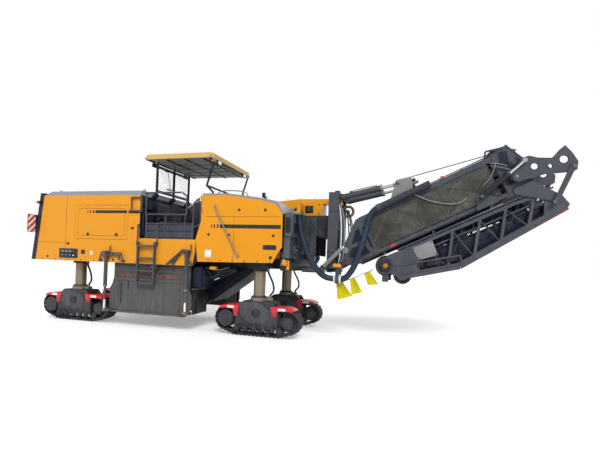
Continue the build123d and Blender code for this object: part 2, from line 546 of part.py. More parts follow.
with BuildPart() as collecting_belt:
    with BuildSketch(Plane.XZ.offset(-COLLECTING_BELT_HALF)):
        for along in (110, CONVEYOR_LENGTH - 100):
            with Locations(on_conveyor(along, 50)):
                Circle(90)
        make_hull()
    extrude(amount=2 * COLLECTING_BELT_HALF)
    for along in (110, CONVEYOR_LENGTH - 100):
        add(cross_pin(*on_conveyor(along, 50), (-CONVEYOR_HALF + 40, CONVEYOR_HALF - 40), 70))
save(collecting_belt.part, "collecting_belt")

# ---------------------------------------------------------------- canopy
RIB_LOW = CANOPY_Z[0] + 15.0
with BuildPart() as canopy_roof:
    add(block(CANOPY_X, (-CANOPY_HALF, CANOPY_HALF), CANOPY_Z))
    chamfer(canopy_roof.edges().filter_by(Axis.Z), 70)
    chamfer(canopy_roof.faces().sort_by(Axis.Z)[-1].edges(), 25)
    add(block((CANOPY_X[0] + 60, CANOPY_X[1] - 60), (-CANOPY_HALF + 60, CANOPY_HALF - 60),
              (CANOPY_Z[0], CANOPY_Z[0] + 75)), mode=Mode.SUBTRACT)
    for x in (CANOPY_REAR_X, -1960, CANOPY_FRONT_X - 100):
        add(block((x - 30, x + 30), (-CANOPY_HALF + 60, CANOPY_HALF - 60), (RIB_LOW, CANOPY_Z[0] + 80)))
    for x, y_places in ((CANOPY_REAR_X, WINDSCREEN_Y), (CANOPY_FRONT_X, FRONT_POST_Y)):
        ear = ((x - 40, CANOPY_Z[0] + 80), (x - 40, RIB_LOW), (x - 25, CANOPY_EYE_Z - 25), (x + 25, CANOPY_EYE_Z - 25),
               (x + 25, CANOPY_Z[0] + 80))
        for y in y_places:
            add(lug_pair(ear, y, CANOPY_TUBE / 2 + RUN_GAP, (x, CANOPY_EYE_Z)))
save(canopy_roof.part, "canopy_roof")

PIN_REACH = CANOPY_TUBE / 2 + RUN_GAP + LUG_T
CROSS_TUBE_UP = 78.0        # from a pin to the cross tube beside it
with BuildPart() as windscreen_frame:
    for y in WINDSCREEN_Y:
        add(rod((CANOPY_REAR_X, y, CANOPY_PIVOT_Z - 15), (CANOPY_REAR_X, y, CANOPY_EYE_Z + 15), CANOPY_TUBE))
        for z in (CANOPY_PIVOT_Z, CANOPY_EYE_Z):
            add(cross_pin(CANOPY_REAR_X, z, (y - PIN_REACH, y + PIN_REACH), CANOPY_PIN_D))
    for z in (CANOPY_PIVOT_Z + CROSS_TUBE_UP, CANOPY_EYE_Z - CROSS_TUBE_UP):
        add(rod((CANOPY_REAR_X, WINDSCREEN_Y[0], z), (CANOPY_REAR_X, WINDSCREEN_Y[-1], z), CANOPY_TUBE - 10))
save(windscreen_frame.part, "windscreen_frame")

KNEE = (CANOPY_FRONT_X - 150.0, 3030.0)
with BuildPart() as front_posts:
    for y in FRONT_POST_Y:
        points = ((CANOPY_FRONT_X, y, CANOPY_PIVOT_Z - 10), (CANOPY_FRONT_X, y, CANOPY_PIVOT_Z + 50),
                  (KNEE[0], y, KNEE[1]), (CANOPY_FRONT_X, y, CANOPY_EYE_Z - 40), (CANOPY_FRONT_X, y, CANOPY_EYE_Z + 15))
        for start, end in zip(points, points[1:]):
            add(rod(start, end, CANOPY_TUBE - 8))
        for corner in points[1:-1]:
            with Locations(corner):
                Sphere(CANOPY_TUBE / 2 - 4)
        for z in (CANOPY_PIVOT_Z, CANOPY_EYE_Z):
            add(cross_pin(CANOPY_FRONT_X, z, (y - PIN_REACH, y + PIN_REACH), CANOPY_PIN_D))
    add(rod((KNEE[0], FRONT_POST_Y[0], KNEE[1]), (KNEE[0], FRONT_POST_Y[1], KNEE[1]), CANOPY_TUBE - 8))
save(front_posts.part, "canopy_front_posts")

# ---------------------------------------------------------------- legs, tracks
LEG_HOSE_D = 42.0
LEG_HOSE = (        # x from the column, distance outwards, height: from the sleeve to the foot bracket
    (168, 0, BODY_BOTTOM), (168, 0, 1270), (255, 10, 1130), (310, 20, 990), (300, 10, 880), (225, 0, 820),
    (225, 0, SADDLE_TOP + FOOT_T + SEAT_FIT))
for axle, axle_x in AXLES:
    for name, side in SIDES:
        y = side * COLUMN_Y
        with BuildPart() as leg:
            with Locations((axle_x, y, SADDLE_TOP + SEAT_FIT)):
                Cylinder(FOOT_D / 2, FOOT_T, align=(Align.CENTER, Align.CENTER, Align.MIN))
                Cylinder(COLUMN_D / 2, COLUMN_TOP - SADDLE_TOP, align=(Align.CENTER, Align.CENTER, Align.MIN))
            add(block((axle_x + 90, axle_x + 270), (y - 60, y + 60),
                      (SADDLE_TOP + 12, SADDLE_TOP + FOOT_T + SEAT_FIT)))
        save(leg.part, f"lift_column_{axle}_{name}")

        route = [(axle_x + x, y + side * out, z) for x, out, z in LEG_HOSE]
        save(tube_route(route, LEG_HOSE_D), f"leg_hose_{axle}_{name}")

        with BuildPart() as belt:
            for grow, mode in ((0.0, Mode.ADD), (-BELT_T, Mode.SUBTRACT)):
                with BuildSketch(Plane.XZ.offset(-(y - TRACK_W / 2))):
                    for x, z, radius in (SPROCKET, IDLER):
                        with Locations((axle_x + x, z)):
                            Circle(radius + grow)
                    for x, radius in ROLLERS:
                        with Locations((axle_x + x, radius)):
                            Circle(radius + grow)
                    make_hull()
                extrude(amount=-TRACK_W, mode=mode)
        save(belt.part, f"track_belt_{axle}_{name}")

        cheek_y = TRACK_W / 2 + CHEEK_GAP + CHEEK_T / 2
        saddle = ((-330, SADDLE_TOP - SADDLE_T), (-260, SADDLE_TOP), (330, SADDLE_TOP), (470, 520),
                  (470, 170), (-420, 170), (-420, 420))
        outline = [(axle_x + x, z) for x, z in saddle]
        with BuildPart() as frame:
            for face in (-1, 1):
                add(side_plate(outline, y + face * cheek_y, CHEEK_T))
            add(block((axle_x - 260, axle_x + 330), (y - cheek_y, y + cheek_y),
                      (SADDLE_TOP - SADDLE_T, SADDLE_TOP)))
            add(block((axle_x - 380, axle_x + 430), (y - cheek_y, y + cheek_y), (190, 440)))
            add(block((axle_x - 640, axle_x + 660), (y - 60, y + 60), (250, 380)))
            for x, z, radius in (SPROCKET, IDLER):
                add(cross_pin(axle_x + x, z, (y - TRACK_W / 2 - 20, y + TRACK_W / 2 + 20), 220))
                add(cross_pin(axle_x + x, z, (y - 50, y + 50), 2 * (radius - BELT_T - 1)))
            for x, radius in ROLLERS:
                add(cross_pin(axle_x + x, radius, (y - 110, y + 110), 2 * (radius - BELT_T - 1)))
                add(block((axle_x + x - 30, axle_x + x + 30), (y - 60, y + 60), (radius, 260)))
        save(frame.part, f"track_frame_{axle}_{name}")

# ---------------------------------------------------------------- slewing mast
with BuildPart() as mast:
    half_x, half_y = MAST_COLUMN[0] / 2, MAST_COLUMN[1] / 2
    for _, side in SIDES:
        y_span = (side * MAST_COLUMN_Y - half_y, side * MAST_COLUMN_Y + half_y)
        add(block((MAST_X - half_x, MAST_X + half_x), y_span, (MAST_FOOT_Z, MAST_TOP_Z)))
        fork = ((MAST_X - half_x, MAST_FOOT_Z), (MAST_X + half_x, MAST_FOOT_Z), (LUFF_PIVOT[0] + 80, 1540),
                (LUFF_PIVOT[0] + 80, 1685), (MAST_X + half_x, 1700), (MAST_X - half_x, 1700))
        add(side_plate(fork, side * 425, 50, holes=((*LUFF_PIVOT, LUFF_PIN_D),)))
    for z_low in (MAST_FOOT_Z, MAST_TOP_Z - MAST_PLATE):
        add(block((MAST_X - half_x, MAST_X + half_x), (-MAST_COLUMN_Y - half_y, MAST_COLUMN_Y + half_y),
                  (z_low, z_low + MAST_PLATE)))
        with Locations((MAST_X, 0, z_low)):
            Cylinder(SLEW_PIN_D / 2, MAST_PLATE, align=(Align.CENTER, Align.CENTER, Align.MIN),
                     mode=Mode.SUBTRACT)
    for _, side in SIDES:
        for lug in (-1, 1):
            y = side * HOIST_Y + lug * HOIST_LUG
            ear = ((MAST_X + half_x - 20, MAST_TOP_Z - MAST_PLATE), (MAST_X + half_x - 20, MAST_TOP_Z),
                   (MAST_HEAD[0] + 50, MAST_HEAD[1] + 40), (MAST_HEAD[0] + 50, MAST_HEAD[1] - 50))
            add(side_plate(ear, y, 30, holes=((*MAST_HEAD, HOIST_PIN_D + 2 * SEAT_FIT),)))
    add(block((HOSE_CLAMP[0] - 60, HOSE_CLAMP[0] + 60), (HOSE_CLAMP[1] + HOSE_D / 2 + 15, -MAST_COLUMN_Y),
              (MAST_FOOT_Z, MAST_FOOT_Z + 20)))
    add(block((HOSE_CLAMP[0] - 60, HOSE_CLAMP[0] + 60), (HOSE_CLAMP[1] + HOSE_D / 2 + 1, HOSE_CLAMP[1] + HOSE_D / 2 + 15),
              (HOSE_CLAMP[2] - 60, MAST_FOOT_Z + 20)))
    add(rod((HOSE_CLAMP[0] - 50, *HOSE_CLAMP[1:]), (HOSE_CLAMP[0] + 50, *HOSE_CLAMP[1:]), HOSE_D + 60, HOSE_D + 1))
save(mast.part, "slew_mast")

# ---------------------------------------------------------------- first conveyor section
def on_section(along, up):
    return sloped(LUFF_PIVOT, LUFF_ANGLE, along, up)


def section_bar(start, end, y, width, depth):
    """A rectangular bar between two (along, up) points of the first section."""
    (x0, z0), (x1, z1) = on_section(*start), on_section(*end)
    length = hypot(x1 - x0, z1 - z0)
    with BuildPart() as bar:
        with BuildSketch(Plane(origin=((x0 + x1) / 2, y, (z0 + z1) / 2),
                               x_dir=(x1 - x0, 0, z1 - z0), z_dir=(0, -1, 0))):
            Rectangle(length, depth)
        extrude(amount=width / 2, both=True)
    return bar.part


CHORD_DEPTH = 90.0
COVER_T = 10.0
CYLINDER_EYE = 92.0         # width of a cylinder's eye
DUCT = (960.0, 2030.0)      # air duct on the right side: its ends along the section
DUCT_UP, DUCT_Y = 617.0, -(SECTION_HALF + 70.0)


def duct_point(along):
    """A point on the air duct's axis."""
    x, z = on_section(along, DUCT_UP)
    return x, DUCT_Y, z


SECTION_Y = SECTION_HALF - BEAM_T / 2
POSTS = (620.0, 1400.0, 2180.0, 2960.0)
with BuildPart() as section_1:
    for _, side in SIDES:
        y = side * SECTION_Y
        add(section_bar((150, CHORD_LOW), (SECTION_LENGTH, CHORD_LOW), y, BEAM_T, CHORD_DEPTH))
        add(section_bar((520, CHORD_HIGH), (SECTION_LENGTH - 60, CHORD_HIGH), y, BEAM_T, CHORD_DEPTH))
        heel = [on_section(*p) for p in ((-90, -120), (260, CHORD_LOW - 45), (700, CHORD_LOW - 45),
                                         (620, CHORD_HIGH + 45), (500, CHORD_HIGH + 45), (-90, 80))]
        add(side_plate(heel, y, BEAM_T))
        for along in POSTS[1:]:
            add(section_bar((along, CHORD_LOW), (along, CHORD_HIGH), y, BEAM_T - 10, 70))
        for low, high in zip(POSTS, POSTS[1:]):
            add(section_bar((low, CHORD_HIGH), (high, CHORD_LOW), y, BEAM_T - 20, 50))
        head = [on_section(*p) for p in ((3150, CHORD_LOW - 45), (3620, CHORD_LOW - 45), (3640, 330),
                                         (3480, CHORD_HIGH + 130), (3150, CHORD_HIGH + 45))]
        add(side_plate(head, y, BEAM_T, holes=((*ARM_PIVOT, LUFF_PIN_D),)))
    for along, up in ((700, CHORD_LOW), (1790, CHORD_LOW), (3000, CHORD_LOW), (1790, CHORD_HIGH),
                      (3300, CHORD_HIGH)):
        add(cross_pin(*on_section(along, up), (-SECTION_Y, SECTION_Y), 60))
    hinge_plate = [on_section(3250, CHORD_LOW - 40), on_section(3250, CHORD_LOW + 60),
                   on_section(3600, CHORD_LOW + 60),
                   (FOLD_PIVOT[0] + 60, FOLD_PIVOT[1] + 30), (FOLD_PIVOT[0] + 40, FOLD_PIVOT[1] - 70),
                   (FOLD_PIVOT[0] - 120, FOLD_PIVOT[1] - 60)]
    for _, side in SIDES:
        add(side_plate(hinge_plate, side * (SECTION_HALF + 14), 28, holes=((*FOLD_PIVOT, FOLD_PIN_D),)))
        add(cross_pin(*LUFF_PIVOT, sorted((side * 398, side * SECTION_HALF)), LUFF_PIN_D - 2 * SEAT_FIT))
    for _, side in SIDES:
        base_y = side * (SECTION_HALF + COVER_T + 8)
        foot_plate = [on_section(*p) for p in ((2560, CHORD_LOW - 40), (2950, CHORD_LOW - 40),
                                               (2950, CHORD_LOW + 50), (2790, 40), (2650, 40))]
        add(side_plate(foot_plate, base_y + side * 12, 24))
        spacer = [on_section(*p) for p in ((2560, CHORD_LOW - 40), (2950, CHORD_LOW - 40),
                                           (2950, CHORD_LOW + 40), (2560, CHORD_LOW + 40))]
        add(side_plate(spacer, side * (SECTION_HALF + (COVER_T + 8) / 2), COVER_T + 8))
        add(cross_pin(*FOLD_FOOT, sorted((base_y + side * 20, side * (FOLD_CYLINDER_Y - CYLINDER_EYE / 2 - SEAT_FIT))), 60))
    add(rod(duct_point(DUCT[0]), duct_point(DUCT[0] + 90), HOSE_D + 24, HOSE_D + 1))
    add(rod(duct_point(DUCT[0] + 90), duct_point(DUCT[1]), HOSE_D + 4))
    for along in (DUCT[0] + 160, DUCT[1] - 120):
        saddle = [on_section(*p) for p in ((along, CHORD_HIGH - 45), (along + 60, CHORD_HIGH - 45),
                                           (along + 60, DUCT_UP - 45), (along, DUCT_UP - 45))]
        add(side_plate(saddle, -SECTION_HALF - 20, 40))
save(section_1.part, "conveyor_section_1")

# ---------------------------------------------------------------- belt and covers
with BuildPart() as section_1_belt:
    with BuildSketch(Plane.XZ.offset(-BELT_1_HALF)):
        for along, radius in ((60, 110), (3420, 120)):
            with Locations(on_section(along, 130)):
                Circle(radius)
        make_hull()
    extrude(amount=2 * BELT_1_HALF)
    for along in (60, 3420):
        add(cross_pin(*on_section(along, 130), (-SECTION_HALF + BEAM_T, SECTION_HALF - BEAM_T), 60))
save(section_1_belt.part, "conveyor_belt_1")

COVER = ((640, CHORD_LOW + 60), (3050, CHORD_LOW + 60), (3050, CHORD_HIGH - 55), (640, CHORD_HIGH - 55))
with BuildPart() as side_covers:
    for _, side in SIDES:
        add(side_plate([on_section(*p) for p in COVER], side * (SECTION_HALF + COVER_T / 2 + SEAT_FIT), COVER_T))
    top = [on_section(*p) for p in ((560, CHORD_HIGH + 46), (3150, CHORD_HIGH + 46),
                                    (3150, CHORD_HIGH + 58), (560, CHORD_HIGH + 58))]
    add(side_plate(top, 0, 2 * SECTION_HALF - 20))
save(side_covers.part, "conveyor_covers")

with BuildPart() as hoist_bridge:
    for _, side in SIDES:
        bracket = [on_section(*p) for p in ((1200, CHORD_HIGH + 58), (1700, CHORD_HIGH + 58))]
        bracket = [*bracket, (HOIST_EYE[0] + 260, HOIST_EYE[1] + 130), (HOIST_EYE[0] - 30, HOIST_EYE[1] + 60),
                   (HOIST_EYE[0] - 50, HOIST_EYE[1] - 30)]
        for lug in (-1, 1):
            add(side_plate(bracket, side * HOIST_Y + lug * HOIST_LUG, 30))
    add(block((HOIST_EYE[0] + 150, HOIST_EYE[0] + 230), (-HOIST_Y - 70, HOIST_Y + 70),
              (HOIST_EYE[1] + 10, HOIST_EYE[1] + 90)))
save(hoist_bridge.part, "hoist_bridge")


# ---------------------------------------------------------------- cylinders that lift and fold
def barrel(foot, eye, y, diameter, bore, length, width=CYLINDER_EYE):
    """A cylinder barrel with its foot eye, pointing at the rod's eye."""
    axis = Vector(eye[0] - foot[0], 0, eye[1] - foot[1]).normalized()
    base = Vector(foot[0], y, foot[1])
    with BuildPart() as body:
        add(rod(tuple(base), tuple(base + axis * length), diameter, bore))
        add(rod(tuple(base + axis * 20), tuple(base + axis * 100), diameter))
        add(cross_pin(*foot, (y - width / 2, y + width / 2), diameter * 0.8))
    return body.part


def piston_rod(foot, eye, y, diameter, start, width=CYLINDER_EYE):
    """A piston rod with its eye, reaching back into its barrel."""
    axis = Vector(eye[0] - foot[0], 0, eye[1] - foot[1]).normalized()
    base = Vector(foot[0], y, foot[1])
    tip = Vector(eye[0], y, eye[1])
    with BuildPart() as body:
        add(rod(tuple(base + axis * start), tuple(tip), diameter))
        add(cross_pin(*eye, (y - width / 2, y + width / 2), diameter * 1.7))
    return body.part


with BuildPart() as hoist_barrels:
    for _, side in SIDES:
        add(barrel(MAST_HEAD, HOIST_EYE, side * HOIST_Y, HOIST_BARREL_D, HOIST_ROD_D + 2 * SEAT_FIT, 800))
        pin_y = HOIST_LUG + 15
        add(cross_pin(*MAST_HEAD, (side * HOIST_Y - pin_y, side * HOIST_Y + pin_y), HOIST_PIN_D))
save(hoist_barrels.part, "hoist_barrels")
with BuildPart() as hoist_rods:
    for _, side in SIDES:
        add(piston_rod(MAST_HEAD, HOIST_EYE, side * HOIST_Y, HOIST_ROD_D, 420, 2 * (HOIST_LUG - 15 - SEAT_FIT)))
save(hoist_rods.part, "hoist_rods")

FOLD_BARREL_D, FOLD_ROD_D = 90.0, 46.0
with BuildPart() as fold_barrels:
    for _, side in SIDES:
        add(barrel(FOLD_FOOT, ARM_EYE, side * FOLD_CYLINDER_Y, FOLD_BARREL_D, FOLD_ROD_D + 2 * SEAT_FIT, 600))
save(fold_barrels.part, "fold_barrels")
with BuildPart() as fold_rods:
    for _, side in SIDES:
        add(piston_rod(FOLD_FOOT, ARM_EYE, side * FOLD_CYLINDER_Y, FOLD_ROD_D, 200))
save(fold_rods.part, "fold_rods")

# ---------------------------------------------------------------- fold arm and link
ARM_PLATE = (((4480, 3110), (4610, 3060), (5020, 3190), (5440, 3220), (5510, 3260), (5520, 3400), (5420, 3560),
              (5310, 3680), (5230, 3610), (5120, 3470), (4900, 3480), (4760, 3520), (4640, 3480), (4520, 3200)))
with BuildPart() as fold_arm:
    for _, side in SIDES:
        add(side_plate(ARM_PLATE, side * ARM_Y, 25, holes=((5300, 3440, 130), (4850, 3330, 110), (5080, 3330, 90))))
        add(cross_pin(*ARM_PIVOT, sorted((side * (SECTION_HALF - 45), side * (ARM_Y + 12))), LUFF_PIN_D - 2 * SEAT_FIT))
        add(cross_pin(*ARM_EYE, sorted((side * ARM_Y, side * (FOLD_CYLINDER_Y - CYLINDER_EYE / 2 - SEAT_FIT))), 60))
    add(cross_pin(5310, 3600, (-ARM_Y, ARM_Y), 70))
save(fold_arm.part, "fold_arm")

with BuildPart() as fold_link:
    for _, side in SIDES:
        y = side * (ARM_Y + 12.5 + RUN_GAP + 12.5)
        add(side_plate(((ARM_TIP[0] - 50, ARM_TIP[1] + 40), (ARM_TIP[0] + 45, ARM_TIP[1] + 30),
                        (LINK_END[0] + 50, LINK_END[1] - 30), (LINK_END[0] - 40, LINK_END[1] - 40)), y, 25))
        add(cross_pin(*ARM_TIP, sorted((side * (ARM_Y + 12.5 + SEAT_FIT), y)), 60))
save(fold_link.part, "fold_link")

# ---------------------------------------------------------------- second conveyor section, folded
LOWER = ((5400, 2640), (3700, 1540), (2640, 1290))
UPPER = ((2560, 1730), (3300, 2080), (4600, 2700), (5180, 2900))
SECTION_2_Y = SECTION_HALF - BEAM_T / 2


def bar_between(start, end, y, width, depth):
    """A rectangular bar between two (x, z) points at one distance from the middle."""
    (x0, z0), (x1, z1) = start, end
    with BuildPart() as bar:
        with BuildSketch(Plane(origin=((x0 + x1) / 2, y, (z0 + z1) / 2),
                               x_dir=(x1 - x0, 0, z1 - z0), z_dir=(0, -1, 0))):
            Rectangle(hypot(x1 - x0, z1 - z0) + 2, depth)
        extrude(amount=width / 2, both=True)
    return bar.part


RIBS = (((2960, 1365), (3000, 1920)), ((3500, 1490), (3560, 2190)), ((3940, 1700), (4020, 2410)),
        ((4380, 1980), (4440, 2610)), ((4820, 2270), (4880, 2790)))
with BuildPart() as section_2:
    for _, side in SIDES:
        y = side * SECTION_2_Y
        for start, end in zip(LOWER, LOWER[1:]):
            add(bar_between(start, end, y, BEAM_T, 120))
        for start, end in zip(UPPER, UPPER[1:]):
            add(bar_between(start, end, y, BEAM_T - 10, 60))
        for start, end in RIBS:
            add(bar_between(start, end, y, BEAM_T - 10, 50))
        cheek = ((2300, 1400), (2640, 1260), (2960, 1330), (2980, 1900), (2560, 1770), (2400, 1700), (2260, 1560))
        add(side_plate(cheek, y, BEAM_T))
        knuckle = ((5060, 2440), (5400, 2600), (5430, 2700), (5310, 2850), (5200, 2880), (5040, 2820))
        add(side_plate(knuckle, y, BEAM_T))
        foot = ((2300, 1400), (2420, 1400), (2420, 1180), (2300, 1180))
        add(side_plate(foot, y, BEAM_T - 20))
    for x, z in (LOWER[1], (3300, 1446), (4400, 1990), (5180, 2500), (3300, 2080), (4600, 2700)):
        add(cross_pin(x, z, (-SECTION_2_Y, SECTION_2_Y), 60))
    for _, side in SIDES:
        add(cross_pin(*FOLD_PIVOT, sorted((side * (SECTION_HALF - BEAM_T), side * (SECTION_HALF + 28))),
                      FOLD_PIN_D - 2 * SEAT_FIT))
        add(cross_pin(*WHEEL, sorted((side * (WHEEL_Y - WHEEL_W / 2 - 4), side * SECTION_2_Y)), WHEEL_PIN_D))
save(section_2.part, "conveyor_section_2")

with BuildPart() as section_2_belt:
    with BuildSketch(Plane.XZ.offset(-BELT_2_HALF)):
        with BuildLine():
            Polyline((2360, 1300), (2660, 1340), (3700, 1600), (5330, 2650), (5290, 2700), (3690, 1680),
                     (2660, 1690), (2360, 1690), close=True)
        make_face()
        with Locations(TAIL_DRUM):
            Circle(TAIL_R)
    extrude(amount=2 * BELT_2_HALF)
    add(cross_pin(*TAIL_DRUM, (-SECTION_HALF + BEAM_T, SECTION_HALF - BEAM_T), 70))
save(section_2_belt.part, "conveyor_belt_2")

with BuildPart() as support_wheels:
    for _, side in SIDES:
        y = side * WHEEL_Y
        add(cross_pin(*WHEEL, (y - WHEEL_W / 2, y + WHEEL_W / 2), 2 * WHEEL_R, WHEEL_PIN_D + 2 * SEAT_FIT))
save(support_wheels.part, "support_wheels")

# ---------------------------------------------------------------- suction hoses and flags
SUCTION_LOWER = (HOSE_TOP, (*HOSE_TOP[:2], 2290), (755, -930, 2080), (825, -925, 1870), (915, -910, 1640),
                 (1040, -885, 1425), (1180, -845, 1260), (1330, HOSE_CLAMP[1], HOSE_CLAMP[2]),
                 (HOSE_CLAMP[0] - 10, *HOSE_CLAMP[1:]))
SUCTION_UPPER = ((HOSE_CLAMP[0] + 10, *HOSE_CLAMP[1:]), (1620, HOSE_CLAMP[1], HOSE_CLAMP[2]), (1740, DUCT_Y - 170, 1360),
                 (1820, DUCT_Y - 140, 1540), (1885, DUCT_Y - 110, 1775), (1935, DUCT_Y - 70, 1965), (1985, DUCT_Y - 30, 2200),
                 duct_point(845), duct_point(DUCT[0] + 40))
save(tube_route(SUCTION_LOWER, HOSE_D), "suction_hose_lower")
save(tube_route(SUCTION_UPPER, HOSE_D), "suction_hose_upper")

FLAG_T = 8.0
FLAG_Y = HOSE_CLAMP[1] + HOSE_D / 2 + 15 + 6          # the flag rail lies against the clamp's bracket
FLAG_RAIL = ((1440, 1140), (1560, 1140), (2120, 1390))
FLAGS = (           # outlines of (x, z), hanging from the rail
    ((1445, 1140), (1560, 1140), (1720, 890), (1490, 800)),
    ((1720, 1211), (1790, 1243), (1910, 990), (1770, 930)),
    ((1990, 1332), (2060, 1363), (2230, 1150), (2090, 1100), (1950, 1210)))
with BuildPart() as marker_flags:
    for outline in FLAGS:
        add(side_plate(outline, FLAG_Y, FLAG_T))
    for (x0, z0), (x1, z1) in zip(FLAG_RAIL, FLAG_RAIL[1:]):
        add(rod((x0, FLAG_Y, z0), (x1, FLAG_Y, z1), 12))
save(marker_flags.part, "marker_flags")
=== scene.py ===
"""Visual model of a crawler cold planer with a folding discharge conveyor.

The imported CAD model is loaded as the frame.  Its nodes get procedural finishes,
and the trim, wear parts, hoses, canvas and crawler shoes are built here on top.
All lengths are metres; +X is forward, +Y is left, +Z is up.
"""
from __future__ import annotations

import json
import logging
import math
from dataclasses import dataclass, field
from enum import Enum
from typing import Callable, Iterable, Sequence

import bmesh
import bpy
from mathutils import Matrix, Vector

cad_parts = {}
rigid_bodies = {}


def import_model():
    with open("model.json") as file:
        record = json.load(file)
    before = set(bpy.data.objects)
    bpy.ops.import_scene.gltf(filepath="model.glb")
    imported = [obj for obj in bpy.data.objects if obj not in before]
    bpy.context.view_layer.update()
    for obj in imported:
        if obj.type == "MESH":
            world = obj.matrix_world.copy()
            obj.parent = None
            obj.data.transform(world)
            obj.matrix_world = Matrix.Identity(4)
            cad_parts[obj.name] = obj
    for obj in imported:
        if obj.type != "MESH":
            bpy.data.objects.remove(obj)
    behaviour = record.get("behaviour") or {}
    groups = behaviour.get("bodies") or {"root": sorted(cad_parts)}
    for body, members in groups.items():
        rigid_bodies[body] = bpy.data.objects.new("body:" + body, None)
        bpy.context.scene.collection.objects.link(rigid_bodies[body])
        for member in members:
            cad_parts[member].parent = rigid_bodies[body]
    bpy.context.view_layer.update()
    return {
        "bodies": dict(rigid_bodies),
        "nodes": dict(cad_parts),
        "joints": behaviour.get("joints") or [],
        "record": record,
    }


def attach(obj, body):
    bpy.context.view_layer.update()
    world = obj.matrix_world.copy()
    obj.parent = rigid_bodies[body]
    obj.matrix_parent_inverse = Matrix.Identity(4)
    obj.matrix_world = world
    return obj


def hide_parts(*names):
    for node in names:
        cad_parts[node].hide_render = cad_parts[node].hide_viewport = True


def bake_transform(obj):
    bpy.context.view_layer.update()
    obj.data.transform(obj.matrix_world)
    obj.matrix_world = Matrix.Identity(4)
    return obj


log = logging.getLogger("cold_planer")

Point = Sequence[float]
Pair = tuple[float, float]
Outline = Sequence[Pair]
Colour = tuple[float, float, float]
ROAD_DUST: Colour = (0.30, 0.27, 0.23)
BARE_CHIP: Colour = (0.10, 0.09, 0.08)
SIDES = (("right", -1.0), ("left", 1.0))
AXLES = (("front", -0.07), ("rear", -4.45))
COLUMN_Y = 0.9
BODY_HALF = 1.25
LIFT_Y = 1.296
WAYS = (-1, 1)
UP: Point = (0, 0, 1)
DOWN: Point = (0, 0, -1)
FORWARD: Point = (1, 0, 0)
LEFT: Point = (0, 1, 0)
ON_AXIS = 0.0001
LUFF_PIN = (1.56, 1.62)
LUFF_ANGLE = math.radians(25.8)
SECTION_HALF = 0.52
DUCT_Y = -0.590
HOIST_FOOT = Vector((1.45, 0, 2.86))
HOIST_HEAD = Vector((2.52, 0, 3.11))
HOIST_Y = (-0.30, 0.30)


# --------------------------------------------------------------------------- finishes
class Surface(Enum):
    """The families of finish that the machine carries."""

    PAINT = "paint"
    METAL = "metal"
    RUBBER = "rubber"
    PLASTIC = "plastic"
    GLASS = "glass"
    LAMP = "lamp"


class Coating:
    """What every finish shares: a name, and a material that is made once."""

    name: str

    def build(self) -> bpy.types.Material:
        """Makes the material, or returns the one already made."""
        mat = bpy.data.materials.get(self.name)
        if mat is None:
            mat = bpy.data.materials.new(self.name)
            mat.use_nodes = True
            self.wire(Graph(mat.node_tree))
        return mat

    def wire(self, graph: "Graph") -> None:
        """Wires the material's nodes."""
        raise NotImplementedError


@dataclass(frozen=True)
class Finish(Coating):
    """One surface finish, built as nodes on object coordinates.

    Args:
        name: Name of the Blender material.
        colour: Linear base colour.
        surface: Family that decides the shader's character.
        rough: Middle roughness.
        metal: Metallic share.
        vary: How far the colour drifts over large patches.
        grime: How strongly road dust shows, most near the ground.
        grime_top: Height above which dust has gone.
        bump: Strength of the fine bump.
        grain: Scale of the fine bump's noise, per metre.
        shine: Specular level of the base layer.
        coat: Weight of the clear coat.
    """

    name: str
    colour: Colour
    surface: Surface = Surface.PAINT
    rough: float = 0.4
    metal: float = 0.0
    vary: float = 0.1
    grime: float = 0.35
    grime_top: float = 2.2
    bump: float = 0.06
    grain: float = 60.0
    shine: float = 0.22
    coat: float = 0.0

    def wire(self, graph: "Graph") -> None:
        """Wires paint, metal, rubber, glass or a lamp."""
        shader = graph.shader
        shader.inputs["Metallic"].default_value = self.metal
        shader.inputs["Specular IOR Level"].default_value = self.shine
        if self.surface is Surface.GLASS:
            shader.inputs["Base Color"].default_value = (*self.colour, 1.0)
            shader.inputs["Roughness"].default_value = self.rough
            shader.inputs["Transmission Weight"].default_value = 0.85
            shader.inputs["Alpha"].default_value = 0.18
            return
        if self.surface is Surface.LAMP:
            shader.inputs["Base Color"].default_value = (*self.colour, 1.0)
            shader.inputs["Coat Weight"].default_value = 0.8
            ribs = graph.wave(140.0, "Z")
            graph.bump(ribs, 0.35, 0.001)
            graph.roughness(graph.noise(30.0), self.rough, self.rough + 0.1)
            return
        patches = graph.noise(1.7, detail=4.0)
        light = tuple(min(1.0, c * (1 + self.vary)) for c in self.colour)
        dark = tuple(c * (1 - self.vary) for c in self.colour)
        colour = graph.mix_colours(patches, dark, light)
        streaks = graph.noise(9.0, detail=6.0, stretch=(1.0, 1.0, 0.22))
        height = graph.height_fade(0.0, self.grime_top)
        dust = graph.times(graph.ramp(streaks, 0.42, 0.72), height)
        dust = graph.scaled(dust, self.grime)
        colour = graph.over(dust, colour, ROAD_DUST)
        if self.surface is Surface.METAL:
            scuffs = graph.noise(55.0, detail=8.0, stretch=(0.3, 1.0, 1.0))
            colour = graph.over(
                graph.scaled(graph.ramp(scuffs, 0.55, 0.7), 0.35), colour,
                tuple(min(1.0, c * 1.9 + 0.03) for c in self.colour))
        if self.surface is Surface.PAINT:
            chips = graph.noise(38.0, detail=9.0)
            chipped = graph.times(graph.ramp(chips, 0.69, 0.74), graph.height_fade(0.0, 1.9))
            colour = graph.over(chipped, colour, BARE_CHIP)
            shader.inputs["Coat Weight"].default_value = self.coat
            shader.inputs["Coat Roughness"].default_value = 0.12
        graph.link(colour, shader.inputs["Base Color"])
        graph.roughness(streaks, max(0.05, self.rough - 0.08), min(1.0, self.rough + 0.16))
        graph.bump(graph.noise(self.grain, detail=3.0), self.bump, 0.002)


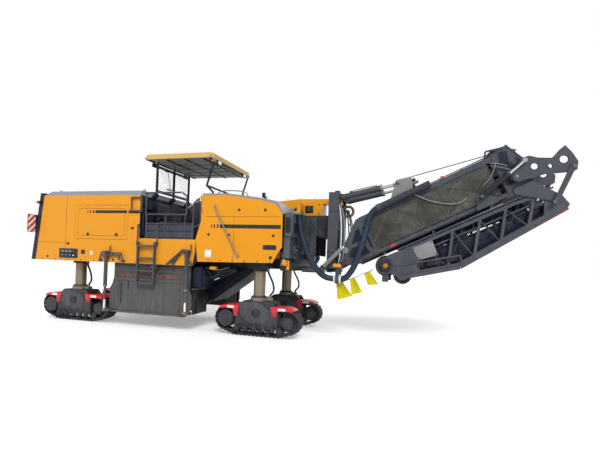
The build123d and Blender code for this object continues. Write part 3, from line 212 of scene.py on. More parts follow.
class Graph:
    """A short hand for wiring one material's nodes."""

    def __init__(self, tree: bpy.types.NodeTree) -> None:
        """Clears the tree and puts in the output, shader and coordinates."""
        self.tree = tree
        tree.nodes.clear()
        out = tree.nodes.new("ShaderNodeOutputMaterial")
        self.shader = tree.nodes.new("ShaderNodeBsdfPrincipled")
        tree.links.new(self.shader.outputs["BSDF"], out.inputs["Surface"])
        self.coords = tree.nodes.new("ShaderNodeTexCoord")

    def link(self, source: bpy.types.NodeSocket, target: bpy.types.NodeSocket) -> None:
        """Joins two sockets."""
        self.tree.links.new(source, target)

    def place(
            self, stretch: Point = (1, 1, 1), turn: Point = (0, 0, 0), uv: bool = False, slant: float = 0.0
    ) -> bpy.types.NodeSocket:
        """Object or UV coordinates, stretched and turned.

        Args:
            stretch: Scale along each axis.
            turn: Rotation about each axis, in radians.
            uv: Whether to read the piece's UV map.
            slant: Turn about Z before the stretch, in radians.

        Returns:
            The vector socket.
        """
        node = self.tree.nodes.new("ShaderNodeMapping")
        node.inputs["Scale"].default_value = stretch
        node.inputs["Rotation"].default_value = turn
        source = self.coords.outputs["UV" if uv else "Object"]
        if slant:
            first = self.tree.nodes.new("ShaderNodeMapping")
            first.inputs["Rotation"].default_value = (0.0, 0.0, slant)
            self.link(source, first.inputs["Vector"])
            source = first.outputs["Vector"]
        self.link(source, node.inputs["Vector"])
        return node.outputs["Vector"]

    def noise(
            self, scale: float, detail: float = 2.0, stretch: Point = (1, 1, 1), uv: bool = False,
            slant: float = 0.0) -> bpy.types.NodeSocket:
        """A noise value of that many cells a metre."""
        node = self.tree.nodes.new("ShaderNodeTexNoise")
        node.inputs["Scale"].default_value = scale
        node.inputs["Detail"].default_value = detail
        self.link(self.place(stretch, uv=uv, slant=slant), node.inputs["Vector"])
        return node.outputs["Fac"]

    def wave(
            self, scale: float, axis: str, turn: Point = (0, 0, 0), distort: float = 0.0, uv: bool = False
    ) -> bpy.types.NodeSocket:
        """Straight bands along an axis."""
        node = self.tree.nodes.new("ShaderNodeTexWave")
        node.bands_direction = axis
        node.inputs["Scale"].default_value = scale
        node.inputs["Distortion"].default_value = distort
        self.link(self.place(turn=turn, uv=uv), node.inputs["Vector"])
        return node.outputs["Fac"]

    def ramp(self, value: bpy.types.NodeSocket, low: float, high: float) -> bpy.types.NodeSocket:
        """Stretches low…high to 0…1."""
        node = self.tree.nodes.new("ShaderNodeMapRange")
        node.inputs["From Min"].default_value = low
        node.inputs["From Max"].default_value = high
        self.link(value, node.inputs["Value"])
        return node.outputs["Result"]

    def height_fade(self, low: float, high: float) -> bpy.types.NodeSocket:
        """1 at the height low, falling to 0 at high."""
        split = self.tree.nodes.new("ShaderNodeSeparateXYZ")
        self.link(self.coords.outputs["Object"], split.inputs["Vector"])
        return self.ramp(split.outputs["Z"], high, low)

    def axis(self, name: str) -> bpy.types.NodeSocket:
        """One object coordinate."""
        split = self.tree.nodes.new("ShaderNodeSeparateXYZ")
        self.link(self.coords.outputs["Object"], split.inputs["Vector"])
        return split.outputs[name]

    def maths(
            self, how: str, a: bpy.types.NodeSocket, b: bpy.types.NodeSocket | float
    ) -> bpy.types.NodeSocket:
        """One sum of two values."""
        node = self.tree.nodes.new("ShaderNodeMath")
        node.operation = how
        self.link(a, node.inputs[0])
        if isinstance(b, (int, float)):
            node.inputs[1].default_value = b
        else:
            self.link(b, node.inputs[1])
        return node.outputs["Value"]

    def times(self, a: bpy.types.NodeSocket, b: bpy.types.NodeSocket) -> bpy.types.NodeSocket:
        """Two values multiplied."""
        return self.maths("MULTIPLY", a, b)

    def scaled(self, a: bpy.types.NodeSocket, share: float) -> bpy.types.NodeSocket:
        """A value times a share."""
        return self.maths("MULTIPLY", a, share)

    def mix_colours(self, share: bpy.types.NodeSocket, a: Colour, b: Colour) -> bpy.types.NodeSocket:
        """A colour between two."""
        node = self.tree.nodes.new("ShaderNodeMix")
        node.data_type = "RGBA"
        self.link(share, node.inputs[0])
        node.inputs[6].default_value = (*a, 1.0)
        node.inputs[7].default_value = (*b, 1.0)
        return node.outputs[2]

    def over(
            self, share: bpy.types.NodeSocket, under: bpy.types.NodeSocket, top: Colour
    ) -> bpy.types.NodeSocket:
        """A colour laid over another where share is high."""
        node = self.tree.nodes.new("ShaderNodeMix")
        node.data_type = "RGBA"
        node.clamp_factor = True
        self.link(share, node.inputs[0])
        self.link(under, node.inputs[6])
        node.inputs[7].default_value = (*top, 1.0)
        return node.outputs[2]

    def roughness(self, value: bpy.types.NodeSocket, low: float, high: float) -> None:
        """Roughness that follows a value."""
        node = self.tree.nodes.new("ShaderNodeMapRange")
        node.inputs["To Min"].default_value = low
        node.inputs["To Max"].default_value = high
        self.link(value, node.inputs["Value"])
        self.link(node.outputs["Result"], self.shader.inputs["Roughness"])

    def bump(self, value: bpy.types.NodeSocket, strength: float, depth: float) -> None:
        """Bump from a value."""
        node = self.tree.nodes.new("ShaderNodeBump")
        node.inputs["Strength"].default_value = strength
        node.inputs["Distance"].default_value = depth
        self.link(value, node.inputs["Height"])
        self.link(node.outputs["Normal"], self.shader.inputs["Normal"])


@dataclass(frozen=True)
class CanvasFinish(Coating):
    """Waxed canvas with a weave on its own UV map, and painted shade and highlight in soft fold patches and
    along thin slanting creases.

    Args:
        name: Name of the Blender material.
        colour: Linear colour of the cloth.
        thread: Threads a metre.
        dust: How strongly pale dust shows.
        sheen: Weight of the sheen.
        creases: How strongly the painted shade and highlight along its creases show.
    """

    name: str
    colour: Colour
    thread: float = 260.0
    dust: float = 0.18
    sheen: float = 0.15
    creases: float = 0.65

    def wire(self, graph: "Graph") -> None:
        """Wires the nodes."""
        graph.shader.inputs["Sheen Weight"].default_value = self.sheen
        graph.shader.inputs["Sheen Roughness"].default_value = 0.5
        graph.shader.inputs["Specular IOR Level"].default_value = 0.2
        # Painted shade and highlight in soft fold patches: the colour swings between 0.55 and 1.34 of the
        # cloth's own; the same noise drives roughness.
        fold_shading = graph.noise(2.1, detail=5.0, stretch=(1.0, 0.55, 1.0), uv=True)
        colour = graph.mix_colours(
            graph.ramp(fold_shading, 0.36, 0.66), tuple(c * 0.55 for c in self.colour),
            tuple(min(1.0, c * 1.34) for c in self.colour))
        # Painted shade and highlight along creases: thin slanting lines at 1.70, 0.45 and 1.40 times the
        # cloth's colour.
        for slant, shade in ((0.9, 1.70), (-0.7, 0.45), (0.35, 1.40)):
            field = graph.noise(2.4, detail=1.5, stretch=(1.0, 0.30, 1.0), uv=True, slant=slant)
            away = graph.maths("ABSOLUTE", graph.maths("SUBTRACT", field, 0.5), 0.0)
            crease_shade_mask = graph.scaled(graph.ramp(away, 0.022, 0.0), self.creases)
            colour = graph.over(crease_shade_mask, colour, tuple(min(1.0, c * shade) for c in self.colour))
        scuffs = graph.ramp(graph.noise(11.0, detail=7.0, stretch=(0.35, 1.0, 1.0)), 0.55, 0.80)
        colour = graph.over(graph.scaled(scuffs, self.dust), colour, (0.30, 0.28, 0.24))
        graph.link(colour, graph.shader.inputs["Base Color"])
        graph.roughness(fold_shading, 0.62, 0.85)
        warp = graph.wave(self.thread / 6.28, "X", uv=True)
        weft = graph.wave(self.thread / 6.28, "Y", uv=True)
        wrinkles = graph.noise(7.0, detail=2.0, stretch=(1.0, 0.35, 1.0), uv=True)
        weave = graph.maths("ADD", graph.scaled(graph.times(warp, weft), 0.10), wrinkles)
        graph.bump(weave, 0.60, 0.030)


@dataclass(frozen=True)
class BandedFinish(Coating):
    """Two colours in bands, for hazard boards and belts.

    Args:
        name: Name of the Blender material.
        first: Colour of one band.
        second: Colour of the other.
        width: Width of a band, in metres.
        turn: Slant of the bands in the YZ plane, in radians.
    """

    name: str
    first: Colour
    second: Colour
    width: float = 0.07
    turn: float = 0.785

    def wire(self, graph: "Graph") -> None:
        """Wires the nodes."""
        node = graph.tree.nodes.new("ShaderNodeMath")
        node.operation = "ADD"
        graph.link(graph.axis("Y"), node.inputs[0])
        graph.link(graph.scaled(graph.axis("Z"), math.tan(self.turn)), node.inputs[1])
        phase = graph.maths("PINGPONG", node.outputs["Value"], self.width * 1.4142)
        bands = graph.maths("GREATER_THAN", phase, self.width * 0.7071)
        colour = graph.mix_colours(bands, self.first, self.second)
        colour = graph.over(
            graph.scaled(graph.ramp(graph.noise(22.0, detail=6.0), 0.5, 0.8), 0.25), colour,
            (0.35, 0.32, 0.28))
        graph.link(colour, graph.shader.inputs["Base Color"])
        graph.roughness(graph.noise(12.0), 0.35, 0.5)
        graph.bump(graph.noise(500.0), 0.1, 0.001)



YELLOW = Finish(
    "machine_yellow", (0.69, 0.275, 0.007), rough=0.30, vary=0.07, grime=0.16, grime_top=1.9, bump=0.03,
    shine=0.25, coat=0.06)
OCHRE = Finish("canopy_ochre", (0.58, 0.37, 0.13), rough=0.45, vary=0.10, grime=0.25, grime_top=4.5)
ROOF = Finish(
    "roof_slate", (0.235, 0.255, 0.30), rough=0.38, vary=0.08, grime=0.25, grime_top=4.0, coat=0.10)
SLATE = Finish("underside_slate", (0.012, 0.014, 0.025), rough=0.42, vary=0.2, grime=0.12)
DARK = Finish("chassis_black", (0.017, 0.019, 0.026), rough=0.40, vary=0.25, grime=0.15)
TRUSS = Finish("conveyor_grey", (0.058, 0.062, 0.077), rough=0.42, vary=0.28, grime=0.14, grime_top=3.5)
HOUSING = Finish("housing_grey", (0.078, 0.077, 0.075), rough=0.48, vary=0.16, grime=0.25, grime_top=1.2)
FRAME_GREY = Finish(
    "crawler_paint", (0.040, 0.041, 0.048), rough=0.50, vary=0.22, grime=0.12, grime_top=1.0)
PALE_GREY = Finish("bracket_grey", (0.21, 0.21, 0.205), rough=0.45, vary=0.12, grime=0.2, grime_top=4.0)
STEEL = Finish(
    "worn_steel", (0.25, 0.20, 0.145), Surface.METAL, rough=0.42, metal=0.70, vary=0.2, grime=0.4)
PIN = Finish("pin_steel", (0.105, 0.100, 0.095), Surface.METAL, rough=0.42, metal=0.6, vary=0.3, grime=0.3)
BOLT = Finish("dull_bolt", (0.075, 0.073, 0.072), Surface.METAL, rough=0.5, metal=0.5, vary=0.3, grime=0.3)
HUB = Finish("hub_orange", (0.42, 0.17, 0.02), rough=0.45, vary=0.2, grime=0.5, grime_top=3.0)
CHROME = Finish(
    "rod_chrome", (0.80, 0.80, 0.80), Surface.METAL, rough=0.12, metal=1.0, vary=0.03, grime=0.05, bump=0.01
)
CAST = Finish(
    "shoe_cast", (0.042, 0.042, 0.048), Surface.METAL, rough=0.60, metal=0.3, vary=0.25, grime=0.22,
    grime_top=0.9, bump=0.25)
RUBBER = Finish(
    "belt_skin", (0.018, 0.018, 0.020), Surface.RUBBER, rough=0.75, vary=0.3, grime=0.25, grime_top=4.0,
    bump=0.2, grain=120.0)
HOSE = Finish(
    "hose_skin", (0.011, 0.022, 0.042), Surface.RUBBER, rough=0.42, vary=0.25, grime=0.06, bump=0.12,
    shine=0.3)
PLASTIC = Finish(
    "trim_plastic", (0.024, 0.026, 0.031), Surface.PLASTIC, rough=0.5, vary=0.15, grime=0.12, bump=0.15,
    grain=240.0)
PANEL_BLUE = Finish(
    "console_blue_grey", (0.20, 0.24, 0.30), Surface.PLASTIC, rough=0.4, vary=0.08, grime=0.1)
RED = Finish(
    "fender_red", (0.62, 0.022, 0.030), rough=0.34, vary=0.12, grime=0.12, grime_top=0.7, shine=0.3,
    coat=0.1)
WHITE = Finish("plain_white", (0.72, 0.72, 0.70), rough=0.45, vary=0.04, grime=0.2, grime_top=3.0)
BROWN = Finish(
    "oiled_brown", (0.135, 0.060, 0.045), Surface.METAL, rough=0.5, metal=0.2, vary=0.3, grime=0.3)
TIP = Finish(
    "pick_steel", (0.34, 0.31, 0.28), Surface.METAL, rough=0.35, metal=0.9, vary=0.2, grime=0.4,
    grime_top=1.2)
LINER = Finish("canopy_liner", (0.22, 0.235, 0.235), rough=0.55, vary=0.35, grime=0.35, grime_top=6.0)
CABINET = Finish("cabinet_slate", (0.085, 0.095, 0.115), rough=0.4, vary=0.2, grime=0.15, coat=0.05)
# Near-black navy: on faces under the machine, round the operator's platform, in recesses and in the folding
# section's bays, it paints the shade there.
NAVY = Finish("deep_navy", (0.007, 0.010, 0.024), rough=0.40, vary=0.2, grime=0.04, shine=0.22)
GLASS = Finish("screen_glass", (0.86, 0.92, 0.92), Surface.GLASS, rough=0.02)
AMBER = Finish("amber_lens", (0.95, 0.32, 0.02), Surface.LAMP, rough=0.15)
RED_LENS = Finish("red_lens", (0.70, 0.02, 0.02), Surface.LAMP, rough=0.15)
CLEAR_LENS = Finish("clear_lens", (0.75, 0.78, 0.80), Surface.LAMP, rough=0.10)
SEAT = Finish(
    "seat_vinyl", (0.035, 0.035, 0.038), Surface.PLASTIC, rough=0.6, vary=0.1, grime=0.1, bump=0.35,
    grain=420.0)
CANVAS = CanvasFinish("cover_canvas", (0.058, 0.058, 0.050))
CHUTE_CANVAS = CanvasFinish("chute_canvas", (0.048, 0.050, 0.058))
LEMON = CanvasFinish("flag_cloth", (0.86, 0.68, 0.002), thread=420.0, dust=0.05, sheen=0.0, creases=0.12)
HAZARD = BandedFinish("hazard_boards", (0.80, 0.80, 0.80), (0.60, 0.03, 0.03), width=0.050, turn=-0.785)

NODE_FINISH: tuple[tuple[str, Finish], ...] = (
    ("rear_hood", YELLOW), ("service_hatch", YELLOW), ("platform_base", YELLOW), ("front_hood", YELLOW),
    ("mast_beam", YELLOW), ("canopy_roof", OCHRE), ("rear_roof", ROOF), ("front_roof", ROOF),
    ("radiator_frame", DARK), ("engine_block", CAST), ("main_frame", DARK), ("platform_rails", TRUSS),
    ("boarding_ladder", TRUSS), ("front_cabinets", CABINET), ("drum_housing", HOUSING),
    ("scraper_blade", HOUSING), ("milling_drum", CAST), ("side_plate", HOUSING), ("plate_lift", TRUSS),
    # collecting_conveyor takes NAVY: partly its own dark paint, partly painted shade under the machine.
    ("collecting_conveyor", NAVY), ("collecting_belt", RUBBER), ("windscreen_frame", SLATE),
    ("canopy_front_posts", SLATE), ("lift_column", STEEL), ("track_frame", FRAME_GREY),
    ("slew_mast", TRUSS), ("conveyor_section", TRUSS), ("conveyor_belt", RUBBER),
    ("hoist_bridge", PALE_GREY), ("hoist_barrels", TRUSS), ("hoist_rods", CHROME), ("fold_barrels", DARK),
    ("fold_rods", CHROME), ("fold_arm", TRUSS), ("fold_link", TRUSS), ("track_belt", CAST),
    ("leg_hose", HOSE), ("suction_hose", HOSE), ("conveyor_covers", PLASTIC), ("control_console", PLASTIC),
    ("support_wheels", RUBBER), ("marker_flags", PLASTIC),)


# --------------------------------------------------------------------------- mesh tools
def linked(name: str, data: bpy.types.ID) -> bpy.types.Object:
    """A new object of the scene."""
    made = bpy.data.objects.new(name, data)
    bpy.context.scene.collection.objects.link(made)
    return made


class Shape:
    """A mesh being built from simple closed parts, one object in the end."""

    def __init__(self, name: str) -> None:
        """Starts an empty mesh.

        Args:
            name: Name of the finished piece.
        """
        self.name = name
        self.bm = bmesh.new()
        self.finishes: list[Coating] = []
        self.current = 0

    def use(self, finish: Coating) -> "Shape":
        """Faces added from here on carry this finish."""
        if finish not in self.finishes:
            self.finishes.append(finish)
        self.current = self.finishes.index(finish)
        return self

    def _keep(self, geom: Iterable, bevel: float = 0.0, segments: int = 2) -> None:
        """Bevels what was just added and gives it the current finish."""
        faces = [g for g in geom if isinstance(g, bmesh.types.BMFace)]
        for face in faces:
            face.material_index = self.current
        if bevel > 0:
            edges = list(
                {
                    e for f in faces
                    for e in f.edges if len(e.link_faces) == 2 and e.calc_face_angle(0.0) > 0.5})
            made = bmesh.ops.bevel(
                self.bm, geom=edges, offset=bevel, segments=segments, affect="EDGES", profile=0.5,
                clamp_overlap=True)
            for face in made["faces"]:
                face.material_index = self.current

    def box(
            self, low: Point, high: Point, bevel: float = 0.004, turn: Matrix | None = None,
            about: Point | None = None) -> "Shape":
        """A bevelled box between two corners.

        Args:
            low: Lowest corner.
            high: Highest corner.
            bevel: Size of the edge bevel.
            turn: Rotation applied about a point.
            about: That point; the box's middle if it isn't given.

        Returns:
            This shape.
        """
        middle = (Vector(low) + Vector(high)) / 2
        size = Vector(high) - Vector(low)
        place = Matrix.Translation(middle) @ Matrix.Diagonal((*[abs(s) for s in size], 1.0))
        if turn is not None:
            pivot = Vector(about) if about is not None else middle
            place = Matrix.Translation(pivot) @ turn.to_4x4() @ Matrix.Translation(-pivot) @ place
        made = bmesh.ops.create_cube(self.bm, size=1.0, matrix=place)
        faces = list({f for v in made["verts"] for f in v.link_faces})
        self._keep(faces, min(bevel, 0.45 * min(abs(s) for s in size)))
        return self

    def bar(
            self, start: Point, end: Point, radius: float, sides: int = 16, top: float | None = None,
            bevel: float = 0.0) -> "Shape":
        """A round bar, or a cone where top differs from radius."""
        a, b = Vector(start), Vector(end)
        line = b - a
        turn = line.to_track_quat("Z", "Y").to_matrix().to_4x4()
        place = Matrix.Translation((a + b) / 2) @ turn
        made = bmesh.ops.create_cone(
            self.bm, cap_ends=True, segments=sides, radius1=radius, radius2=radius if top is None else top,
            depth=line.length, matrix=place)
        faces = list({f for v in made["verts"] for f in v.link_faces})
        self._keep(faces, bevel)
        for face in faces:
            if face.is_valid and len(face.verts) == 4:
                face.smooth = True
        return self

    def rails(
            self, points: Outline, y: float, radius: float, sides: int = 10, closed: bool = False
    ) -> "Shape":
        """Round bars from each (x, z) to the next, at one y."""
        for (x0, z0), (x1, z1) in zip(points, [*points[1:], *points[:closed]]):
            self.bar((x0, y, z0), (x1, y, z1), radius, sides)
        return self

    def ring(
            self, centre: Point, axis: Point, radius: float, thick: float, sides: int = 32,
            section: int = 10) -> "Shape":
        """A torus about an axis."""
        turn = Vector(axis).to_track_quat("Z", "Y").to_matrix().to_4x4()
        place = Matrix.Translation(Vector(centre)) @ turn
        rows = []
        for i in range(sides):
            a = 2 * math.pi * i / sides
            row = []
            for j in range(section):
                b = 2 * math.pi * j / section
                r = radius + thick * math.cos(b)
                row.append(
                    self.bm.verts.new(
                        place @ Vector((r * math.cos(a), r * math.sin(a), thick * math.sin(b)))))
            rows.append(row)
        for i in range(sides):
            for j in range(section):
                quad = (
                    rows[i][j], rows[(i + 1) % sides][j], rows[(i + 1) % sides][(j + 1) % section],
                    rows[i][(j + 1) % section])
                face = self.bm.faces.new(quad)
                face.material_index = self.current
                face.smooth = True
        return self

    def turned(self, centre: Point, axis: Point, profile: Outline, sides: int = 32) -> "Shape":
        """A turned part from (radius, along) pairs; its profile is closed on itself."""
        turn = Vector(axis).to_track_quat("Z", "Y").to_matrix().to_4x4()
        place = Matrix.Translation(Vector(centre)) @ turn
        rows = []
        for i in range(sides):
            a = 2 * math.pi * i / sides
            rows.append(
                [
                    self.bm.verts.new(place @ Vector((r * math.cos(a), r * math.sin(a), z)))
                    for r, z in profile])
        count = len(profile)
        made = []
        for i in range(sides):
            for j in range(count):
                k = (j + 1) % count
                quad = [rows[i][j], rows[(i + 1) % sides][j], rows[(i + 1) % sides][k], rows[i][k]]
                made.append(self.bm.faces.new(quad))
        for face in made:
            face.material_index = self.current
            face.smooth = True
        return self

    def plate(
            self, outline: Outline, y: float, thick: float, bevel: float = 0.003, plane: str = "XZ"
    ) -> "Shape":
        """A flat plate of that outline, its middle at one distance along the third axis."""
        place = {
            "XZ": lambda u, v, w: (u, w, v), "YZ": lambda u, v, w: (w, u, v), "XY": lambda u, v,
            w: (u, v, w)}
        put = place[plane]
        low = [self.bm.verts.new(put(u, v, y - thick / 2)) for u, v in outline]
        high = [self.bm.verts.new(put(u, v, y + thick / 2)) for u, v in outline]
        faces = [self.bm.faces.new(low), self.bm.faces.new(list(reversed(high)))]
        for i in range(len(outline)):
            j = (i + 1) % len(outline)
            faces.append(self.bm.faces.new((low[j], low[i], high[i], high[j])))
        bmesh.ops.recalc_face_normals(self.bm, faces=faces)
        self._keep(faces, bevel)
        return self

    def bolts(
            self, places: Iterable[Point], axis: Point, radius: float = 0.014, height: float = 0.012
    ) -> "Shape":
        """Hexagon bolt heads with washers."""
        a = Vector(axis).normalized()
        for p in places:
            at = Vector(p)
            self.bar(at, at + a * 0.003, radius * 1.5, sides=12)
            self.bar(at, at + a * height, radius, sides=6)
        return self

    def tube(
            self, points: Sequence[Point], radius: float, sides: int = 12, per_run: int = 6,
            ribs: float = 0.0) -> "Shape":
        """A closed tube along a smooth line through control points."""
        line = smooth_line(points, per_run)
        sweep(self.bm, line, radius, sides, self.current, ribs)
        return self

    def done(
            self, body: str | None, slot: str = "dark_paint", smooth_angle: float = 0.6
    ) -> bpy.types.Object:
        """Turns the shape into a scene object.

        Args:
            body: Name of the CAD body that it rides on, or None to leave it on no body.
            slot: Not used.
            smooth_angle: Angle under which neighbouring faces shade smoothly.

        Returns:
            The finished object.
        """
        bmesh.ops.remove_doubles(self.bm, verts=self.bm.verts[:], dist=1e-6)
        bmesh.ops.recalc_face_normals(self.bm, faces=self.bm.faces[:])
        mesh = bpy.data.meshes.new(self.name)
        self.bm.to_mesh(mesh)
        self.bm.free()
        for finish in self.finishes:
            mesh.materials.append(finish.build())
        mesh.shade_smooth()
        mesh.set_sharp_from_angle(angle=smooth_angle)
        piece = linked(self.name, mesh)
        if body is not None:
            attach(piece, body)
        log.info("%s on %s, %d faces", self.name, body, len(mesh.polygons))
        return piece


def boss(*rims: Pair, top: float | None = None, low: float = 0.0) -> list[Pair]:
    """Profile of a solid turned boss.

    Args:
        rims: (radius, along) of each rim.
        top: Where its outer face meets the axis; the last rim's place if it isn't given.
        low: Where its inner face meets the axis.

    Returns:
        The profile, closed on the axis.
    """
    return [(ON_AXIS, low), *rims, (ON_AXIS, rims[-1][1] if top is None else top)]


def sleeve(bore: float, radius: float, long: float) -> list[Pair]:
    """Profile of a plain turned sleeve."""
    return [(bore, 0.0), (radius, 0.0), (radius, long), (bore, long)]


def tilt(angle: float) -> Matrix:
    """A rotation about the machine's cross axis."""
    return Matrix.Rotation(angle, 3, "Y")


def at_y(y: float, pairs: Iterable[Pair]) -> list[Point]:
    """The points of (x, z) pairs at one y."""
    return [(x, y, z) for x, z in pairs]


def turns(count: int, first: float = 0.0) -> list[float]:
    """Evenly spaced angles of a full turn."""
    return [2 * math.pi * k / count + first for k in range(count)]


def circle(centre: Point, radius: float, angles: Iterable[float], upright: bool = True) -> list[Point]:
    """Points on a circle that stands along the machine, or lies flat."""
    x, y, z = centre
    if upright:
        return [(x + radius * math.cos(a), y, z + radius * math.sin(a)) for a in angles]
    return [(x + radius * math.cos(a), y + radius * math.sin(a), z) for a in angles]


def smooth_line(points: Sequence[Point], per_run: int = 6) -> list[Vector]:
    """Points of the NURBS curve that has these control points, ends included."""
    curve = bpy.data.curves.new("route", "CURVE")
    curve.dimensions = "3D"
    curve.resolution_u = per_run
    spline = curve.splines.new("NURBS")
    spline.points.add(len(points) - 1)
    for knot, point in zip(spline.points, points):
        knot.co = (*point, 1.0)
    spline.order_u = 3
    spline.use_endpoint_u = True
    guide = linked("route", curve)
    mesh = bpy.data.meshes.new_from_object(guide)
    line = [v.co.copy() for v in mesh.vertices]
    bpy.data.objects.remove(guide)
    bpy.data.curves.remove(curve)
    bpy.data.meshes.remove(mesh)
    return line


def sweep(
        bm: bmesh.types.BMesh, line: Sequence[Vector], radius: float, sides: int, slot: int,
        ribs: float = 0.0) -> None:
    """Sweeps a round section along a line without twist.

    Args:
        bm: Mesh to add to.
        line: Points of the line.
        radius: Radius of the section.
        sides: Sides of the section.
        slot: Material index.
        ribs: Depth of corrugations; every other ring is that much smaller.
    """
    up = Vector(UP) if abs((line[1] - line[0]).normalized().z) < 0.9 else Vector(FORWARD)
    rings = []
    for i, point in enumerate(line):
        before, after = line[max(0, i - 1)], line[min(len(line) - 1, i + 1)]
        along = (after - before).normalized()
        side = along.cross(up).normalized()
        up = side.cross(along).normalized()
        r = radius - (ribs if i % 2 else 0.0)
        rings.append(
            [
                bm.verts.new(
                    point + side * (r * math.cos(2 * math.pi * k / sides))
                    + up * (r * math.sin(2 * math.pi * k / sides)))
                for k in range(sides)])
    for a, b in zip(rings, rings[1:]):
        for k in range(sides):
            face = bm.faces.new((a[k], a[(k + 1) % sides], b[(k + 1) % sides], b[k]))
            face.material_index = slot
            face.smooth = True
    for cap in (list(reversed(rings[0])), rings[-1]):
        bm.faces.new(cap).material_index = slot


def resampled(points: Outline, count: int) -> list[Pair]:
    """That many points at even steps round a closed outline, from its rightmost corner."""
    start = max(range(len(points)), key=lambda i: points[i][0])
    ring = [*points[start:], *points[:start]]
    ring.append(ring[0])
    lengths = [0.0]
    for (x0, z0), (x1, z1) in zip(ring, ring[1:]):
        lengths.append(lengths[-1] + math.hypot(x1 - x0, z1 - z0))
    out, k = [], 0
    for i in range(count):
        at = lengths[-1] * i / count
        while lengths[k + 1] < at:
            k += 1
        t = (at - lengths[k]) / max(1e-9, lengths[k + 1] - lengths[k])
        out.append(
            (ring[k][0] + t * (ring[k + 1][0] - ring[k][0]), ring[k][1] + t * (ring[k + 1][1] - ring[k][1]))
        )
    return out


def frange(start: float, stop: float, step: float) -> list[float]:
    """Evenly stepped numbers from start up to stop."""
    return [start + i * step for i in range(int((stop - start) / step + 1e-6) + 1)]


def rounded_rect(x0: float, x1: float, z0: float, z1: float, radius: float, steps: int) -> list[Pair]:
    """Corners of a rounded rectangle, anticlockwise."""
    out = []
    for cx, cz, start in (
            (x1 - radius, z1 - radius, 0.0), (x0 + radius, z1 - radius, 0.5),
            (x0 + radius, z0 + radius, 1.0), (x1 - radius, z0 + radius, 1.5)):
        for k in range(steps + 1):
            a = math.pi * (start + 0.5 * k / steps)
            out.append((cx + radius * math.cos(a), cz + radius * math.sin(a)))
    return out


def band(shape: Shape, outer: Outline, inner: Outline, y: float, height: float) -> None:
    """A closed raised band between two outlines of equally many corners, on a face at y."""
    rows = [
        [shape.bm.verts.new((x, level, z)) for x, z in outline]
        for outline, level in ((outer, y), (outer, y + height), (inner, y + height), (inner, y))]
    count = len(outer)
    for a, b in zip(rows, rows[1:] + rows[:1]):
        for k in range(count):
            j = (k + 1) % count
            shape.bm.faces.new((a[k], a[j], b[j], b[k])).material_index = shape.current


def pad(name: str, middle: Point, half: Point, channels: tuple[int, int], swell: float) -> bpy.types.Object:
    """A crowned cushion whose sides pull in between its corners, with sewn channels across its face.

    Args:
        name: Name of the piece.
        middle: Its middle.
        half: Half of its size along each axis; the thinnest axis is the one that it is sat on.
        channels: Channels along each of the two wide axes.
        swell: How far the face rises between seams.

    Returns:
        The object, not yet riding on anything.
    """
    thin = min(range(3), key=lambda i: half[i])
    wide = [i for i in range(3) if i != thin]
    bm = bmesh.new()
    bmesh.ops.create_cube(bm, size=2.0)
    bmesh.ops.subdivide_edges(bm, edges=bm.edges[:], cuts=23, use_grid_fill=True)
    for vert in bm.verts:
        u, v, w = (vert.co[i] for i in (*wide, thin))
        corner = 1.0 - 0.055 * (1 - abs(u) ** 3) * (abs(v) ** 4) - 0.055 * (1 - abs(v) ** 3) * (abs(u) ** 4)
        round_off = (1 - 0.16 * max(abs(u), abs(v)) ** 6 * abs(w) ** 2)
        edge = (1 - abs(u) ** 5) * (1 - abs(v) ** 5)
        quilt = abs(math.sin(math.pi * channels[0] * (u + 1) / 2)) ** 0.45 * (
            abs(math.sin(math.pi * channels[1] * (v + 1) / 2)) ** 0.45 if channels[1] > 1 else 1.0)
        rise = (
            w * half[thin] * (0.62 + 0.22 * edge) + math.copysign(swell * (0.3 + 0.7 * quilt) * edge, w)
            if abs(w) > 0.999 else w * half[thin] * (0.62 + 0.22 * edge))
        place = [0.0, 0.0, 0.0]
        place[wide[0]] = u * half[wide[0]] * corner * round_off
        place[wide[1]] = v * half[wide[1]] * corner * round_off
        place[thin] = rise
        vert.co = Vector(place) + Vector(middle)
    bmesh.ops.recalc_face_normals(bm, faces=bm.faces[:])
    mesh = bpy.data.meshes.new(name)
    bm.to_mesh(mesh)
    bm.free()
    mesh.materials.append(SEAT.build())
    mesh.shade_smooth()
    piece = linked(name, mesh)
    rounder = piece.modifiers.new("round", "SUBSURF")
    rounder.levels = rounder.render_levels = 1
    return piece


def cloth(
        name: str, place: Callable[[float, float], Point], grid: tuple[int, int], finish: CanvasFinish,
        size: Pair) -> bpy.types.Object:
    """A thin sheet of cloth from a rule that places its points.

    Args:
        name: Name of the piece.
        place: Gives the place of a point from its shares across the sheet.
        grid: Cells each way.
        finish: Finish of the cloth.
        size: Flat size, used for its UV map in metres.

    Returns:
        The sheet, with a thin solidify.
    """
    across, down = grid
    verts = [place(i / across, j / down) for i in range(across + 1) for j in range(down + 1)]
    row = down + 1
    faces = [
        (i * row + j, (i + 1) * row + j, (i + 1) * row + j + 1, i * row + j + 1) for i in range(across)
        for j in range(down)]
    mesh = bpy.data.meshes.new(name)
    mesh.from_pydata(verts, [], faces)
    layer = mesh.uv_layers.new(name="cloth")
    for loop in mesh.loops:
        i, j = divmod(loop.vertex_index, row)
        layer.data[loop.index].uv = (size[0] * i / across, size[1] * j / down)
    mesh.materials.append(finish.build())
    mesh.shade_smooth()
    piece = linked(name, mesh)
    wall = piece.modifiers.new("thickness", "SOLIDIFY")
    wall.thickness = 0.0016
    wall.offset = 0.0
    return piece


